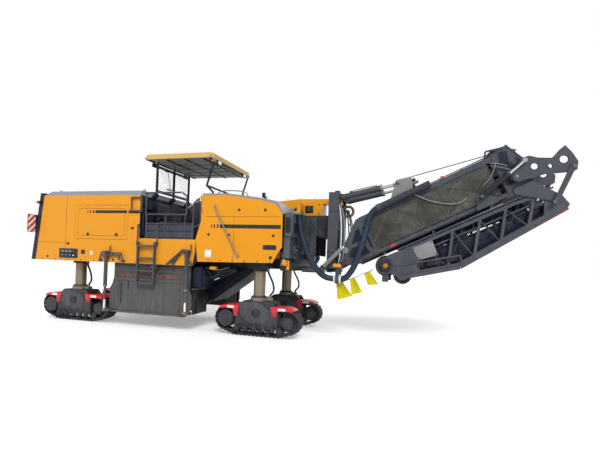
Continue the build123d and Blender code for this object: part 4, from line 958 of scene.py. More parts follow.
# --------------------------------------------------------------------------- geometry nodes
class Repeater:
    """A Geometry Nodes tree that sets copies of a part along a curve or on points.

    The tree has named inputs for the part, the count and the finish, and ends in
    Realize Instances and Set Material.
    """

    def __init__(self, name: str, closed_path: bool) -> None:
        """Builds the tree.

        Args:
            name: Name of the node group.
            closed_path: True to turn each copy along a curve, False to keep the copies square.
        """
        self.group = bpy.data.node_groups.new(name, "GeometryNodeTree")
        face = self.group.interface
        face.new_socket("Geometry", in_out="INPUT", socket_type="NodeSocketGeometry")
        self.part = face.new_socket("Part", in_out="INPUT", socket_type="NodeSocketObject").identifier
        self.count = face.new_socket("Count", in_out="INPUT", socket_type="NodeSocketInt").identifier
        self.finish = face.new_socket("Finish", in_out="INPUT", socket_type="NodeSocketMaterial").identifier
        face.new_socket("Geometry", in_out="OUTPUT", socket_type="NodeSocketGeometry")
        nodes, links = self.group.nodes, self.group.links
        start, end = nodes.new("NodeGroupInput"), nodes.new("NodeGroupOutput")
        info = nodes.new("GeometryNodeObjectInfo")
        links.new(start.outputs["Part"], info.inputs["Object"])
        put = nodes.new("GeometryNodeInstanceOnPoints")
        links.new(info.outputs["Geometry"], put.inputs["Instance"])
        if closed_path:
            points = nodes.new("GeometryNodeCurveToPoints")
            points.mode = "COUNT"
            links.new(start.outputs["Geometry"], points.inputs["Curve"])
            links.new(start.outputs["Count"], points.inputs["Count"])
            links.new(points.outputs["Points"], put.inputs["Points"])
            aim = nodes.new("FunctionNodeAlignEulerToVector")
            aim.axis = "X"
            aim.pivot_axis = "Y"
            links.new(points.outputs["Tangent"], aim.inputs["Vector"])
            links.new(aim.outputs["Rotation"], put.inputs["Rotation"])
        else:
            links.new(start.outputs["Geometry"], put.inputs["Points"])
        real = nodes.new("GeometryNodeRealizeInstances")
        dress = nodes.new("GeometryNodeSetMaterial")
        links.new(put.outputs["Instances"], real.inputs["Geometry"])
        links.new(real.outputs["Geometry"], dress.inputs["Geometry"])
        links.new(start.outputs["Finish"], dress.inputs["Material"])
        links.new(dress.outputs["Geometry"], end.inputs["Geometry"])

    def run(
            self, carrier: bpy.types.Object, part: bpy.types.Object, count: int, finish: Finish, name: str,
            body: str) -> bpy.types.Object:
        """Repeats a part and returns the plain mesh piece.

        Args:
            carrier: Curve or point mesh that the copies follow. It is removed.
            part: The part to copy. It is removed.
            count: Copies along a curve.
            finish: Finish of the copies.
            name: Name of the piece.
            body: CAD body that it rides on.

        Returns:
            The finished object.
        """
        modifier = carrier.modifiers.new("repeat", "NODES")
        modifier.node_group = self.group
        modifier[self.part] = part
        modifier[self.count] = count
        modifier[self.finish] = finish.build()
        bpy.context.view_layer.update()
        ready = carrier.evaluated_get(bpy.context.evaluated_depsgraph_get())
        mesh = bpy.data.meshes.new_from_object(ready)
        carrier.modifiers.remove(modifier)
        for spare in (carrier, part):
            bpy.data.objects.remove(spare)
        mesh.name = name
        piece = linked(name, mesh)
        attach(piece, body)
        log.info("%s on %s, %d faces", name, body, len(mesh.polygons))
        return piece


def loop_curve(points: Sequence[Point], closed: bool = True) -> bpy.types.Object:
    """A poly curve object through points, for a repeater to follow."""
    curve = bpy.data.curves.new("carrier", "CURVE")
    curve.dimensions = "3D"
    spline = curve.splines.new("POLY")
    spline.points.add(len(points) - 1)
    for knot, point in zip(spline.points, points):
        knot.co = (*point, 1.0)
    spline.use_cyclic_u = closed
    carrier = linked("carrier", curve)
    return carrier


def point_cloud(points: Iterable[Point]) -> bpy.types.Object:
    """A mesh of loose points for a repeater to fill."""
    mesh = bpy.data.meshes.new("carrier")
    mesh.from_pydata([tuple(p) for p in points], [], [])
    carrier = linked("carrier", mesh)
    return carrier


def loose_part(build: Callable[[Shape], Shape]) -> bpy.types.Object:
    """A part at the origin, for a repeater to copy."""
    shape = build(Shape("part").use(DARK))
    bmesh.ops.recalc_face_normals(shape.bm, faces=shape.bm.faces)
    mesh = bpy.data.meshes.new("part")
    shape.bm.to_mesh(mesh)
    shape.bm.free()
    part = linked("part", mesh)
    return part


def hull_of_circles(circles: Sequence[tuple[float, float, float]], grow: float = 0.0) -> list[Pair]:
    """The outline of a belt round circles.

    Args:
        circles: (x, z, radius) of each circle.
        grow: Added to each radius.

    Returns:
        The outline's corners, anticlockwise, as (x, z).
    """
    cloud = sorted(
        {
            (
                x + (r + grow) * math.cos(2 * math.pi * k / 96),
                z + (r + grow) * math.sin(2 * math.pi * k / 96))
            for x, z, r in circles for k in range(96)})

    def half(points: Iterable[Pair]) -> list[Pair]:
        """One side of the hull."""
        chain: list[Pair] = []
        for p in points:
            while len(chain) > 1 and (
                    (chain[-1][0] - chain[-2][0]) * (p[1] - chain[-2][1])
                    - (chain[-1][1] - chain[-2][1]) * (p[0] - chain[-2][0])) <= 0:
                chain.pop()
            chain.append(p)
        return chain[:-1]

    return half(cloud) + half(reversed(cloud))


# --------------------------------------------------------------------------- crawlers and legs
@dataclass
class Crawler:
    """One crawler: its chain, shoes, final drive, rollers and fenders.

    Args:
        axle: front or rear.
        axle_x: Where its lifting column stands.
        side_name: right or left.
        side: -1 on the right, 1 on the left.
        width: Width of a shoe.
        pitch: Length of a shoe.
        drive: x from the column, height and radius of the driving end.
        idler: The same for the idle end.
        rollers: x from the column and height of the outer rollers.
    """

    axle: str
    axle_x: float
    side_name: str
    side: float
    width: float = 0.32
    pitch: float = 0.092
    drive: tuple[float, float, float] = (-0.640, 0.330, 0.250)
    idler: tuple[float, float, float] = (0.660, 0.300, 0.240)
    rollers: Outline = ((-0.430, 0.130), (0.480, 0.130))

    @property
    def y(self) -> float:
        """Middle of the crawler."""
        return self.side * COLUMN_Y

    @property
    def tag(self) -> str:
        """Name ending shared by this crawler's pieces."""
        return f"{self.axle}_{self.side_name}"

    def circles(self) -> list[tuple[float, float, float]]:
        """The circles that the chain wraps."""
        return [self.drive, self.idler, *((x, z, z) for x, z in self.rollers)]

    def loop(self, grow: float) -> list[Pair]:
        """The chain's outline, in the machine's frame."""
        return [(self.axle_x + x, z) for x, z in hull_of_circles(self.circles(), grow)]

    def build(self, repeat: "Repeater") -> None:
        """Makes every piece of the crawler.

        Args:
            repeat: Tree that lays the shoes.
        """
        self.chain()
        self.shoes(repeat)
        self.drive_parts()
        self.fenders()

    def chain(self) -> None:
        """The link chain under the shoes: two rails with a pin at each joint."""
        shape = Shape(f"chain_{self.tag}").use(CAST)
        outer, inner = self.loop(-0.026), self.loop(-0.060)
        for offset in (-0.065, 0.065):
            rows = []
            for (xo, zo), (xi, zi) in zip(resampled(outer, 92), resampled(inner, 92)):
                rows.append(
                    [
                        shape.bm.verts.new((x, self.y + offset + w, z))
                        for x, z, w in (
                            (xo, zo, -0.016), (xo, zo, 0.016), (xi, zi, 0.016), (xi, zi, -0.016))])
            for i, row in enumerate(rows):
                after = rows[(i + 1) % len(rows)]
                for j in range(4):
                    shape.bm.faces.new((row[j], row[(j + 1) % 4], after[(j + 1) % 4], after[j]))
        for i, (x, z) in enumerate(resampled(self.loop(-0.044), 46)):
            shape.bar((x, self.y - 0.095, z), (x, self.y + 0.095, z), 0.017, sides=8)
        shape.done(f"track_{self.tag}", "track_steel")

    def shoes(self, repeat: "Repeater") -> None:
        """Shoes with grousers and bolts, laid round the chain."""
        half, rise = self.width / 2, self.pitch * 0.46

        def shoe(shape: Shape) -> Shape:
            """One shoe; its outer face points along -Z."""
            shape.box((-rise, -half, -0.012), (rise, half, 0.004), 0.003)
            shape.box((-0.010, -half, -0.026), (0.010, half, -0.010), 0.003)
            shape.box((-rise, -half * 0.55, 0.004), (rise, half * 0.55, 0.010), 0.0)
            for y in (-0.085, -0.045, 0.045, 0.085):
                for x in (-0.026, 0.026):
                    shape.bar((x, y, -0.012), (x, y, -0.019), 0.008, sides=6)
            return shape

        path = at_y(self.y, self.loop(-0.026))
        piece = repeat.run(
            loop_curve(path), loose_part(shoe), 46, CAST, f"shoes_{self.tag}", f"track_{self.tag}")
        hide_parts(f"track_belt_{self.tag}")

    def drive_parts(self) -> None:
        """Final drive hub, idler hub, roller hubs, bolts, a jack plate and grease points."""
        shape = Shape(f"drive_{self.tag}").use(FRAME_GREY)
        face = self.width / 2 + 0.010 + 0.026
        for (x, z, _), hub in ((self.drive, 0.165), (self.idler, 0.120)):
            for out in WAYS:
                at = (self.axle_x + x, self.y + out * 0.158, z)
                shape.turned(
                    at, (0, out, 0),
                    boss(
                        (hub, 0.0), (hub, 0.020), (hub - 0.012, 0.032), (0.075, 0.034), (0.068, 0.046),
                        top=0.048))
                holes = circle((at[0], at[1] + out * 0.030, z), hub - 0.028, turns(12))
                shape.bolts(holes, (0, out, 0), 0.010, 0.010)
        for out in WAYS:
            y = self.y + out * face
            shape.use(FRAME_GREY)
            shape.plate(
                [
                    (self.axle_x - 0.30, 0.665), (self.axle_x - 0.345, 0.60), (self.axle_x - 0.345, 0.44),
                    (self.axle_x - 0.22, 0.44), (self.axle_x - 0.16, 0.665)],
                y + out * 0.006, 0.012)
            shape.plate(
                [
                    (self.axle_x - 0.05, 0.20), (self.axle_x + 0.45, 0.20), (self.axle_x + 0.45, 0.40),
                    (self.axle_x + 0.33, 0.46), (self.axle_x - 0.05, 0.46)],
                y + out * 0.006, 0.012)
            shape.bolts(
                [(self.axle_x + x, y + out * 0.012, z) for x in (0.0, 0.2, 0.4) for z in (0.235, 0.40)],
                (0, out, 0), 0.011)
            shape.bolts(
                [(self.axle_x + x, y, 0.645) for x in (-0.20, -0.1, 0.0, 0.1, 0.2)], (0, out, 0), 0.010)
            shape.use(DARK)
            shape.box((self.axle_x - 0.155, y - 0.004, 0.40), (self.axle_x - 0.085, y + 0.004, 0.50), 0.001)
            for x in (-0.25, -0.08, 0.09, 0.26):
                shape.use(CAST).turned(
                    (self.axle_x + x, self.y + out * 0.075, 0.125), (0, out, 0),
                    boss((0.058, 0.0), (0.058, 0.03), (0.040, 0.034), top=0.036), 20)
        shape.done(f"track_{self.tag}", "frame_grey")

    def fenders(self) -> None:
        """Red guards over the tops of both ends, with a leg down the inner side, plain plates and bolts."""
        shape = Shape(f"fenders_{self.tag}").use(RED)
        half = self.width / 2 + 0.042
        tops = (
            ((-0.345, 0.607), (-0.60, 0.607), (-0.700, 0.588), (-0.785, 0.548)),
            ((0.315, 0.607), (0.60, 0.607), (0.700, 0.585), (0.775, 0.548)))
        lips = (
            (
                (-0.778, 0.520), (-0.70, 0.532), (-0.60, 0.538), (-0.475, 0.525), (-0.450, 0.385),
                (-0.385, 0.385)),
            ((0.768, 0.520), (0.69, 0.535), (0.60, 0.540), (0.445, 0.525), (0.425, 0.400), (0.360, 0.400)))
        for top, lip in zip(tops, lips):
            upper = [(self.axle_x + x, z) for x, z in top]
            shape.use(RED).plate(
                [*upper, *reversed([(x, z - 0.008) for x, z in upper])], self.y, 2 * half, 0.0015)
            side_face = [*upper, *((self.axle_x + x, z) for x, z in lip)]
            for out in WAYS:
                shape.use(RED).plate(side_face, self.y + out * half, 0.008, 0.002)
                shape.use(BOLT).bolts(
                    [
                        (self.axle_x + (lip[-1][0] + lip[-2][0]) / 2, self.y + out * (half + 0.004), z)
                        for z in (0.42, 0.48)],
                    (0, out, 0), 0.011)
        shape.use(WHITE)
        for x in (-0.60, 0.47):
            for out in WAYS:
                shape.box(
                    (self.axle_x + x, self.y + out * (half + 0.004) - 0.002, 0.540),
                    (self.axle_x + x + 0.15, self.y + out * (half + 0.004) + 0.002, 0.588), 0.001)
        shape.done(f"track_{self.tag}", "frame_grey")
        self.gusset()

    def gusset(self) -> None:
        """A cast cheek, a step and a grab iron on each face of the crawler's frame."""
        shape = Shape(f"gusset_{self.tag}").use(TRUSS)
        face = self.width / 2 + 0.046
        outline = (
            (-0.285, 0.680), (-0.330, 0.560), (-0.300, 0.400), (-0.130, 0.275), (0.150, 0.275),
            (0.300, 0.400), (0.300, 0.530), (0.080, 0.680))
        for out in WAYS:
            y = self.y + out * face
            shape.use(TRUSS).plate([(self.axle_x + x, z) for x, z in outline], y, 0.018, 0.006)
            shape.use(DARK).turned(
                (self.axle_x + 0.02, y + out * 0.009, 0.47), (0, out, 0),
                boss((0.085, 0.0), (0.085, 0.012), (0.060, 0.020)), 28)
            shape.use(BOLT).bolts(
                [
                    (self.axle_x + x, y + out * 0.009, z)
                    for x, z in (
                        (-0.26, 0.64), (-0.29, 0.54), (-0.24, 0.40), (-0.11, 0.31), (0.13, 0.31),
                        (0.26, 0.42), (0.26, 0.50), (0.07, 0.64))],
                (0, out, 0), 0.013)
            shape.use(DARK).box(
                (self.axle_x - 0.42, y - 0.012, 0.215), (self.axle_x + 0.44, y + 0.012, 0.245), 0.004)
            for x in (-0.38, -0.19, 0.0, 0.19, 0.38):
                shape.bar(
                    (self.axle_x + x, y - 0.012, 0.165), (self.axle_x + x, y + out * 0.010, 0.165), 0.052,
                    22)
                shape.use(CAST).bar(
                    (self.axle_x + x, y + out * 0.008, 0.165), (self.axle_x + x, y + out * 0.020, 0.165),
                    0.026, 6)
                shape.use(DARK)
        shape.done(f"track_{self.tag}", "frame_grey")


@dataclass
class Leg:
    """What dresses one lifting column: foot bolts, wiper collar and the hose down to the crawler.

    Args:
        axle: front or rear.
        axle_x: Where the column stands.
        side_name: right or left.
        side: -1 on the right, 1 on the left.
        hose_d: Diameter of the hose.
        route: The hose's control points: x from the column, distance outwards, height.
    """

    axle: str
    axle_x: float
    side_name: str
    side: float
    hose_d: float = 0.042
    route: tuple[Point, ...] = (
        (0.168, 0, 1.34), (0.168, 0, 1.27), (0.255, 0.010, 1.13), (0.310, 0.020, 0.99),
        (0.300, 0.010, 0.88), (0.225, 0, 0.82), (0.225, 0, 0.763))

    def build(self) -> None:
        """Makes the pieces of this leg."""
        tag = f"{self.axle}_{self.side_name}"
        y = self.side * COLUMN_Y
        points = [(self.axle_x + x, y + self.side * out, z) for x, out, z in self.route]
        hose = Shape(f"lift_hose_{tag}").use(HOSE).tube(points, self.hose_d / 2, 16, 8)
        piece = hose.done(None, "hose_rubber")
        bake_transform(piece)
        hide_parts(f"leg_hose_{tag}")
        foot = Shape(f"column_foot_{tag}").use(FRAME_GREY)
        foot.turned(
            (self.axle_x, y, 0.762), UP,
            ((0.118, 0.0), (0.158, 0.0), (0.150, 0.028), (0.126, 0.040), (0.118, 0.040)), 40)
        foot.bolts(circle((self.axle_x, y, 0.764), 0.146, turns(12, 0.26), False), UP, 0.012, 0.016)
        foot.use(STEEL).bar((self.axle_x + 0.225, y, 0.758), (self.axle_x + 0.225, y, 0.800), 0.030, 6)
        foot.done(f"leg_{tag}", "frame_grey")
        collar = Shape(f"sleeve_collar_{tag}").use(DARK)
        collar.turned(
            (self.axle_x, y, 1.285), UP,
            ((0.119, 0.0), (0.156, 0.004), (0.166, 0.020), (0.166, 0.054), (0.119, 0.054)), 40)
        collar.bolts(circle((self.axle_x, y, 1.289), 0.146, turns(8), False), DOWN, 0.010, 0.010)
        collar.use(STEEL).bar((self.axle_x + 0.168, y, 1.296), (self.axle_x + 0.168, y, 1.345), 0.030, 6)
        collar.done("chassis")


@dataclass
class UnderCarriage:
    """All four crawlers and legs."""

    def build(self) -> None:
        """Makes them in order."""
        repeat = Repeater("lay_along_loop", True)
        for axle, axle_x in AXLES:
            for side_name, side in SIDES:
                Crawler(axle, axle_x, side_name, side).build(repeat)
                Leg(axle, axle_x, side_name, side).build()


# --------------------------------------------------------------------------- rear hood
@dataclass
class RearHood:
    """Trim of the rear hood: doors' latches, stripes, boxes, grille, boards and lamps.

    Args:
        hatch: Low and high x, low and high z of the service hatch.
        stripe_z: Low and high edge of the dark stripe.
        seam_x: Where a panel seam runs.
        exhaust: x and y of the exhaust.
        roof_z: Height of the rear roof.
    """

    hatch: tuple[float, float, float, float] = (-4.33, -2.96, 1.83, 2.57)
    stripe_z: Pair = (2.395, 2.455)
    seam_x: float = -4.575
    exhaust: Pair = (-3.62, 0.62)
    roof_z: float = 2.900

    def build(self) -> None:
        """Makes both sides, the rear and the roof."""
        for name, side in SIDES:
            self.hatch_trim(name, side)
            self.side_trim(name, side)
        self.radiator()
        self.marker_boards()
        self.roof()

    def hatch_trim(self, name: str, side: float) -> None:
        """Latches, pull and stripe on a hatch."""
        y = side * BODY_HALF
        shape = Shape(f"hatch_trim_{name}").use(PLASTIC)
        for x in (-3.98, -3.24):
            shape.turned(
                (x, y, 1.935), (0, side, 0), boss((0.034, 0.0), (0.034, 0.006), (0.026, 0.010)), 24)
            shape.box((x - 0.010, y + side * 0.008, 1.925), (x + 0.010, y + side * 0.014, 1.945), 0.002)
        low, high = self.stripe_z
        shape.box((-3.80, y, low), (-2.99, y + side * 0.0015, high), 0.0)
        for x0, x1 in ((-3.87, -3.83), (-3.95, -3.92), (-4.01, -3.99)):
            shape.box((x0, y, low), (x1, y + side * 0.0015, high), 0.0)
        x0, x1, z0, z1 = self.hatch
        rim = rounded_rect(x0 + 0.075, x1 - 0.075, z0 + 0.075, z1 - 0.075, 0.05, 6)
        inner = rounded_rect(x0 + 0.080, x1 - 0.080, z0 + 0.080, z1 - 0.080, 0.045, 6)
        shape.use(SLATE)
        band(shape, rim, inner, y, side * 0.0012)
        shape.done(f"service_hatch_{name}")

    def side_trim(self, name: str, side: float) -> None:
        """Seams, control box, small latches and lifting eyes on a side."""
        y = side * BODY_HALF
        out = side
        shape = Shape(f"hood_trim_{name}").use(SLATE)
        shape.box((self.seam_x - 0.003, y, 1.35), (self.seam_x + 0.003, y + out * 0.001, 2.775), 0.0)
        shape.box((-5.36, y, 1.735), (self.seam_x, y + out * 0.001, 1.741), 0.0)
        shape.use(PLASTIC)
        shape.box((-2.955, y, self.stripe_z[0]), (-2.69, y + out * 0.0015, self.stripe_z[1]), 0.0)
        shape.use(FRAME_GREY)
        shape.box((-4.73, y, 1.40), (-4.23, y + out * 0.012, 1.61), 0.006)
        shape.use(DARK)
        shape.box((-4.70, y + out * 0.010, 1.425), (-4.26, y + out * 0.0135, 1.585), 0.003)
        shape.use(PALE_GREY)
        for x in (-4.66, -4.56, -4.46):
            shape.box((x, y + out * 0.013, 1.53), (x + 0.07, y + out * 0.020, 1.57), 0.003)
            shape.bar((x + 0.035, y + out * 0.012, 1.465), (x + 0.035, y + out * 0.030, 1.465), 0.018, 14)
        shape.use(RED_LENS).bar((-4.33, y + out * 0.012, 1.55), (-4.33, y + out * 0.028, 1.55), 0.012, 14)
        shape.use(CLEAR_LENS).bar((-4.33, y + out * 0.012, 1.46), (-4.33, y + out * 0.026, 1.46), 0.014, 14)
        shape.use(PLASTIC)
        shape.box((-4.14, y, 1.50), (-4.04, y + out * 0.010, 1.59), 0.004)
        for x, z in ((-2.83, 2.08), (-4.49, 1.72), (-5.06, 1.42), (-3.3, 1.40)):
            shape.turned((x, y, z), (0, out, 0), boss((0.026, 0.0), (0.024, 0.008)), 20)
        for x, z in ((-2.83, 2.08), (-4.49, 1.72)):
            shape.box(
                (x - 0.05, y + out * 0.008, z - 0.010), (x + 0.015, y + out * 0.022, z + 0.010), 0.004,
                tilt(0.35))
        shape.use(WHITE).box((-3.90, y, 1.49), (-3.84, y + out * 0.0015, 1.57), 0.0)
        shape.use(BOLT).bolts([(x, y, 1.365) for x in frange(-5.2, -2.75, 0.35)], (0, out, 0), 0.009, 0.008)
        shape.use(DARK).box((-5.385, y - out * 0.004, 2.60), (-5.30, y + out * 0.055, 2.66), 0.012)
        shape.use(RED_LENS).box((-5.375, y + out * 0.055, 2.608), (-5.31, y + out * 0.062, 2.652), 0.004)
        shape.done("chassis")

    def radiator(self) -> None:
        """Slats over the two cooler openings, laid by a geometry tree."""
        def slat(shape: Shape) -> Shape:
            """One slanting slat."""
            return shape.box((-0.020, -0.505, -0.005), (0.020, 0.505, 0.005), 0.0, tilt(0.6))

        places = [
            (-5.462 + 0.14 * (z - 1.50) / 1.2, y, z) for y in (-0.6, 0.6) for z in frange(1.50, 2.63, 0.042)
        ]
        repeat = Repeater("lay_on_points", False)
        repeat.run(point_cloud(places), loose_part(slat), 1, DARK, "cooler_slats", "chassis")
        shape = Shape("rear_lamps").use(DARK)
        for _, side in SIDES:
            for z, lens in ((1.47, RED_LENS), (1.57, AMBER)):
                shape.use(DARK).box(
                    (-5.518, side * 1.135 - 0.05, z - 0.045), (-5.47, side * 1.135 + 0.05, z + 0.045), 0.01)
                shape.use(lens).box(
                    (-5.5195, side * 1.135 - 0.042, z - 0.036), (-5.505, side * 1.135 + 0.042, z + 0.036),
                    0.008)
        shape.use(DARK).box((-5.5195, -0.045, 1.40), (-5.45, 0.045, 2.72), 0.004)
        shape.use(TRUSS).bar((-5.50, -0.9, 2.765), (-5.50, 0.9, 2.765), 0.010, 10)
        shape.done("chassis")

    def marker_boards(self) -> None:
        """Slanting red and white stripes on both faces of the boards at the rear corners."""
        shape = Shape("marker_board_faces").use(HAZARD)
        for _, side in SIDES:
            y0, y1 = sorted((side * 1.262, side * 1.448))
            for x0, x1 in ((-5.4475, -5.4445), (-5.4305, -5.4275)):
                shape.box((x0, y0, 1.955), (x1, y1, 2.345), 0.0)
            y0, y1 = sorted((side * 1.4485, side * 1.4500))
            shape.box((-5.447, y0, 1.955), (-5.428, y1, 2.345), 0.0)
        shape.done("chassis", "yellow_paint")

    def roof(self) -> None:
        """Grilles, the exhaust, filler caps and lifting eyes on the rear roof."""
        top = self.roof_z
        shape = Shape("rear_roof_fittings").use(DARK)
        for y in (-0.45, 0.45):
            shape.use(DARK).box((-4.95, y - 0.34, top - 0.004), (-4.05, y + 0.34, top + 0.012), 0.006)
            for x in frange(-4.91, -4.09, 0.045):
                shape.use(SLATE).box(
                    (x - 0.012, y - 0.31, top + 0.010), (x + 0.012, y + 0.31, top + 0.020), 0.0, tilt(0.5))
        x, y = self.exhaust
        shape.use(STEEL).bar((x, y, top), (x, y, top + 0.16), 0.075, 28)
        shape.use(DARK).bar((x, y, top + 0.16), (x, y, top + 0.165), 0.066, 28)
        shape.use(BOLT).bolts(circle((x, y, top), 0.10, turns(6), False), UP, 0.010, 0.010)
        for x, y in ((-3.2, -0.55), (-3.2, -0.15)):
            shape.use(PLASTIC).turned(
                (x, y, top), UP, boss((0.075, 0.0), (0.072, 0.030), (0.045, 0.040)), 28)
        for x in (-5.05, -2.80):
            for y in (-0.95, 0.95):
                shape.use(ROOF).ring((x, y, top + 0.010), FORWARD, 0.034, 0.009, 20, 8)
        shape.use(SLATE)
        for x in (-4.0, -3.35):
            shape.box((x - 0.003, -1.10, top - 0.002), (x + 0.003, 1.10, top + 0.001), 0.0)
        shape.done("chassis", "roof_paint")


# --------------------------------------------------------------------------- operator's platform
@dataclass
class Platform:
    """Console, seats, floor tread and the small fittings round the operator.

    Args:
        deck: Height of the floor.
        console: Outline of a console pod, x and z.
        pods: Middle of each pod and its half width.
    """

    deck: float = 1.87
    console: Outline = (
        (-1.70, 1.872), (-1.36, 1.872), (-1.33, 2.56), (-1.50, 2.70), (-1.76, 2.54), (-1.64, 2.40))
    pods: Outline = ((-0.60, 0.32), (0.60, 0.32))

    def build(self) -> None:
        """Makes the console, the seats and the floor."""
        self.consoles()
        for name, side in SIDES:
            self.seat(name, side)
        self.floor()
        self.side_grid()
        self.shade_walls_and_boxes()
        self.handles()

    def consoles(self) -> None:
        """Two pods with pale tops, dials, levers and a middle panel."""
        shape = Shape("operator_console").use(PLASTIC)
        for y, half in self.pods:
            shape.use(PLASTIC).plate(self.console, y, 2 * half, 0.02)
            shape.use(PANEL_BLUE)
            shape.plate(
                [
                    (-1.335, 2.575), (-1.500, 2.712), (-1.760, 2.552), (-1.752, 2.540), (-1.500, 2.698),
                    (-1.345, 2.565)],
                y, 2 * half - 0.04, 0.004)
            shape.plate(
                [(-1.340, 2.54), (-1.326, 2.54), (-1.345, 2.10), (-1.359, 2.10)], y, 2 * half - 0.12, 0.003)
            slope = math.atan2(0.16, 0.26)
            for k in range(4):
                at = (-1.60 - 0.03 * (k % 2), y - 0.22 + 0.145 * k, 2.655 - 0.018 * (k % 2))
                shape.use(PLASTIC).turned(
                    at, (-math.sin(slope), 0, math.cos(slope)),
                    boss((0.036, -0.01), (0.036, 0.012), (0.028, 0.016), top=0.014, low=-0.01), 20)
            for k in range(7):
                shape.use(RED_LENS if k == 3 else PLASTIC)
                shape.bar(
                    (-1.71, y - 0.24 + 0.08 * k, 2.575), (-1.725, y - 0.24 + 0.08 * k, 2.600), 0.010, 10)
            for k in (-0.17, 0.0, 0.17):
                shape.use(STEEL).bar((-1.55, y + k, 2.66), (-1.57, y + k, 2.76), 0.006, 8)
                shape.use(PLASTIC).turned(
                    (-1.572, y + k, 2.765), UP,
                    boss((0.018, -0.014), (0.022, 0.004), (0.014, 0.020), top=0.024, low=-0.022), 14)
        shape.use(PLASTIC).box((-1.60, -0.27, self.deck + 0.002), (-1.38, 0.27, 2.50), 0.015)
        shape.use(PANEL_BLUE).box((-1.615, -0.24, 2.20), (-1.598, 0.24, 2.46), 0.004)
        shape.use(PLASTIC)
        for k in range(3):
            shape.turned(
                (-1.616, -0.16 + 0.16 * k, 2.34), (-1, 0, 0),
                boss((0.045, 0.0), (0.045, 0.012), (0.036, 0.016), top=0.014), 24)
        piece = shape.done("chassis", "console_plastic")
        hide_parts("control_console")

    def seat(self, name: str, side: float) -> None:
        """A pedestal seat with a padded cushion, back and armrests."""
        y = side * 0.62
        frame = Shape(f"seat_frame_{name}").use(DARK)
        frame.bar((-2.30, y, self.deck + 0.001), (-2.30, y, self.deck + 0.03), 0.14, 28)
        frame.bar((-2.30, y, self.deck + 0.03), (-2.30, y, 2.13), 0.055, 24)
        frame.box((-2.50, y - 0.19, 2.13), (-2.12, y + 0.19, 2.165), 0.008)
        frame.box((-2.585, y - 0.19, 2.20), (-2.572, y + 0.19, 2.66), 0.006)
        for out in WAYS:
            frame.bar((-2.56, y + out * 0.225, 2.42), (-2.22, y + out * 0.225, 2.42), 0.012, 10)
            frame.use(SEAT).box(
                (-2.52, y + out * 0.225 - 0.024, 2.428), (-2.22, y + out * 0.225 + 0.024, 2.462), 0.014)
            frame.use(DARK)
        frame.done("chassis", "console_plastic")
        cushion = pad(f"seat_cushion_{name}", (-2.33, y, 2.225), (0.235, 0.215, 0.060), (4, 3), 0.016)
        back = pad(f"seat_back_{name}", (-2.545, y, 2.48), (0.045, 0.205, 0.205), (1, 4), 0.012)
        for piece in (cushion, back):
            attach(piece, "chassis")

    def floor(self) -> None:
        """Raised bars of tread plate, laid by a geometry tree."""
        def lozenge(shape: Shape) -> Shape:
            """One raised bar of the tread."""
            return shape.box((-0.020, -0.0045, 0.0), (0.020, 0.0045, 0.004), 0.0015)

        rows = enumerate(frange(-1.15, 1.15, 0.05))
        places = [
            (x + (0.025 if k % 2 else 0.0), y, self.deck + 0.0005) for k, y in rows
            for x in frange(-2.03, -1.80, 0.10)]
        repeat = Repeater("lay_tread", False)
        repeat.run(point_cloud(places), loose_part(lozenge), 1, TRUSS, "floor_tread", "chassis")

    def side_grid(self) -> None:
        """Upright bars, cross bars and bolts on the lower side panels."""
        shape = Shape("side_grids").use(SLATE)
        for _, side in SIDES:
            y = side * 1.213
            for x in frange(-2.50, -1.50, 0.050):
                shape.bar((x, y, 1.895), (x, y, 2.175), 0.006, 8)
            for z in (1.90, 2.035, 2.17):
                shape.bar((-2.53, y, z), (-1.47, y, z), 0.008, 8)
            for x in frange(-2.06, -1.50, 0.050):
                shape.bar((x, y, 2.175), (x, y, 2.345), 0.006, 8)
            shape.bar((-2.08, y, 2.345), (-1.47, y, 2.345), 0.008, 8)
            shape.use(TRUSS)
            for x in (-2.545, -1.995, -1.455):
                shape.bolts([(x, side * 1.211, z) for z in (1.92, 2.15)], (0, side, 0), 0.009, 0.008)
            shape.use(SLATE)
        shape.done("chassis")

    def shade_walls_and_boxes(self) -> None:
        """Navy walls ahead of and behind the operator, which paint the shade inside the platform, with dark
        tool boxes and a step.
        """
        shape = Shape("platform_linings").use(NAVY)
        shape.box((-2.6895, -1.232, self.deck + 0.004), (-2.676, 1.232, 2.760), 0.004)
        shape.box((-1.300, -1.180, self.deck + 0.004), (-1.288, 1.180, 2.700), 0.004)
        for y in (-0.95, 0.0, 0.95):
            shape.box((-2.676, y - 0.26, 1.92), (-2.600, y + 0.26, 2.52), 0.02)
            shape.use(SLATE).box((-2.601, y - 0.20, 2.02), (-2.592, y + 0.20, 2.44), 0.006)
            shape.use(NAVY)
        for k, y in enumerate((-1.02, -0.20, 0.20, 1.02)):
            shape.use(NAVY if k % 2 else SLATE).box(
                (-1.90, y - 0.10, self.deck + 0.004), (-1.66, y + 0.10, 2.24 + 0.05 * k), 0.02)
        shape.done("chassis", "console_plastic")

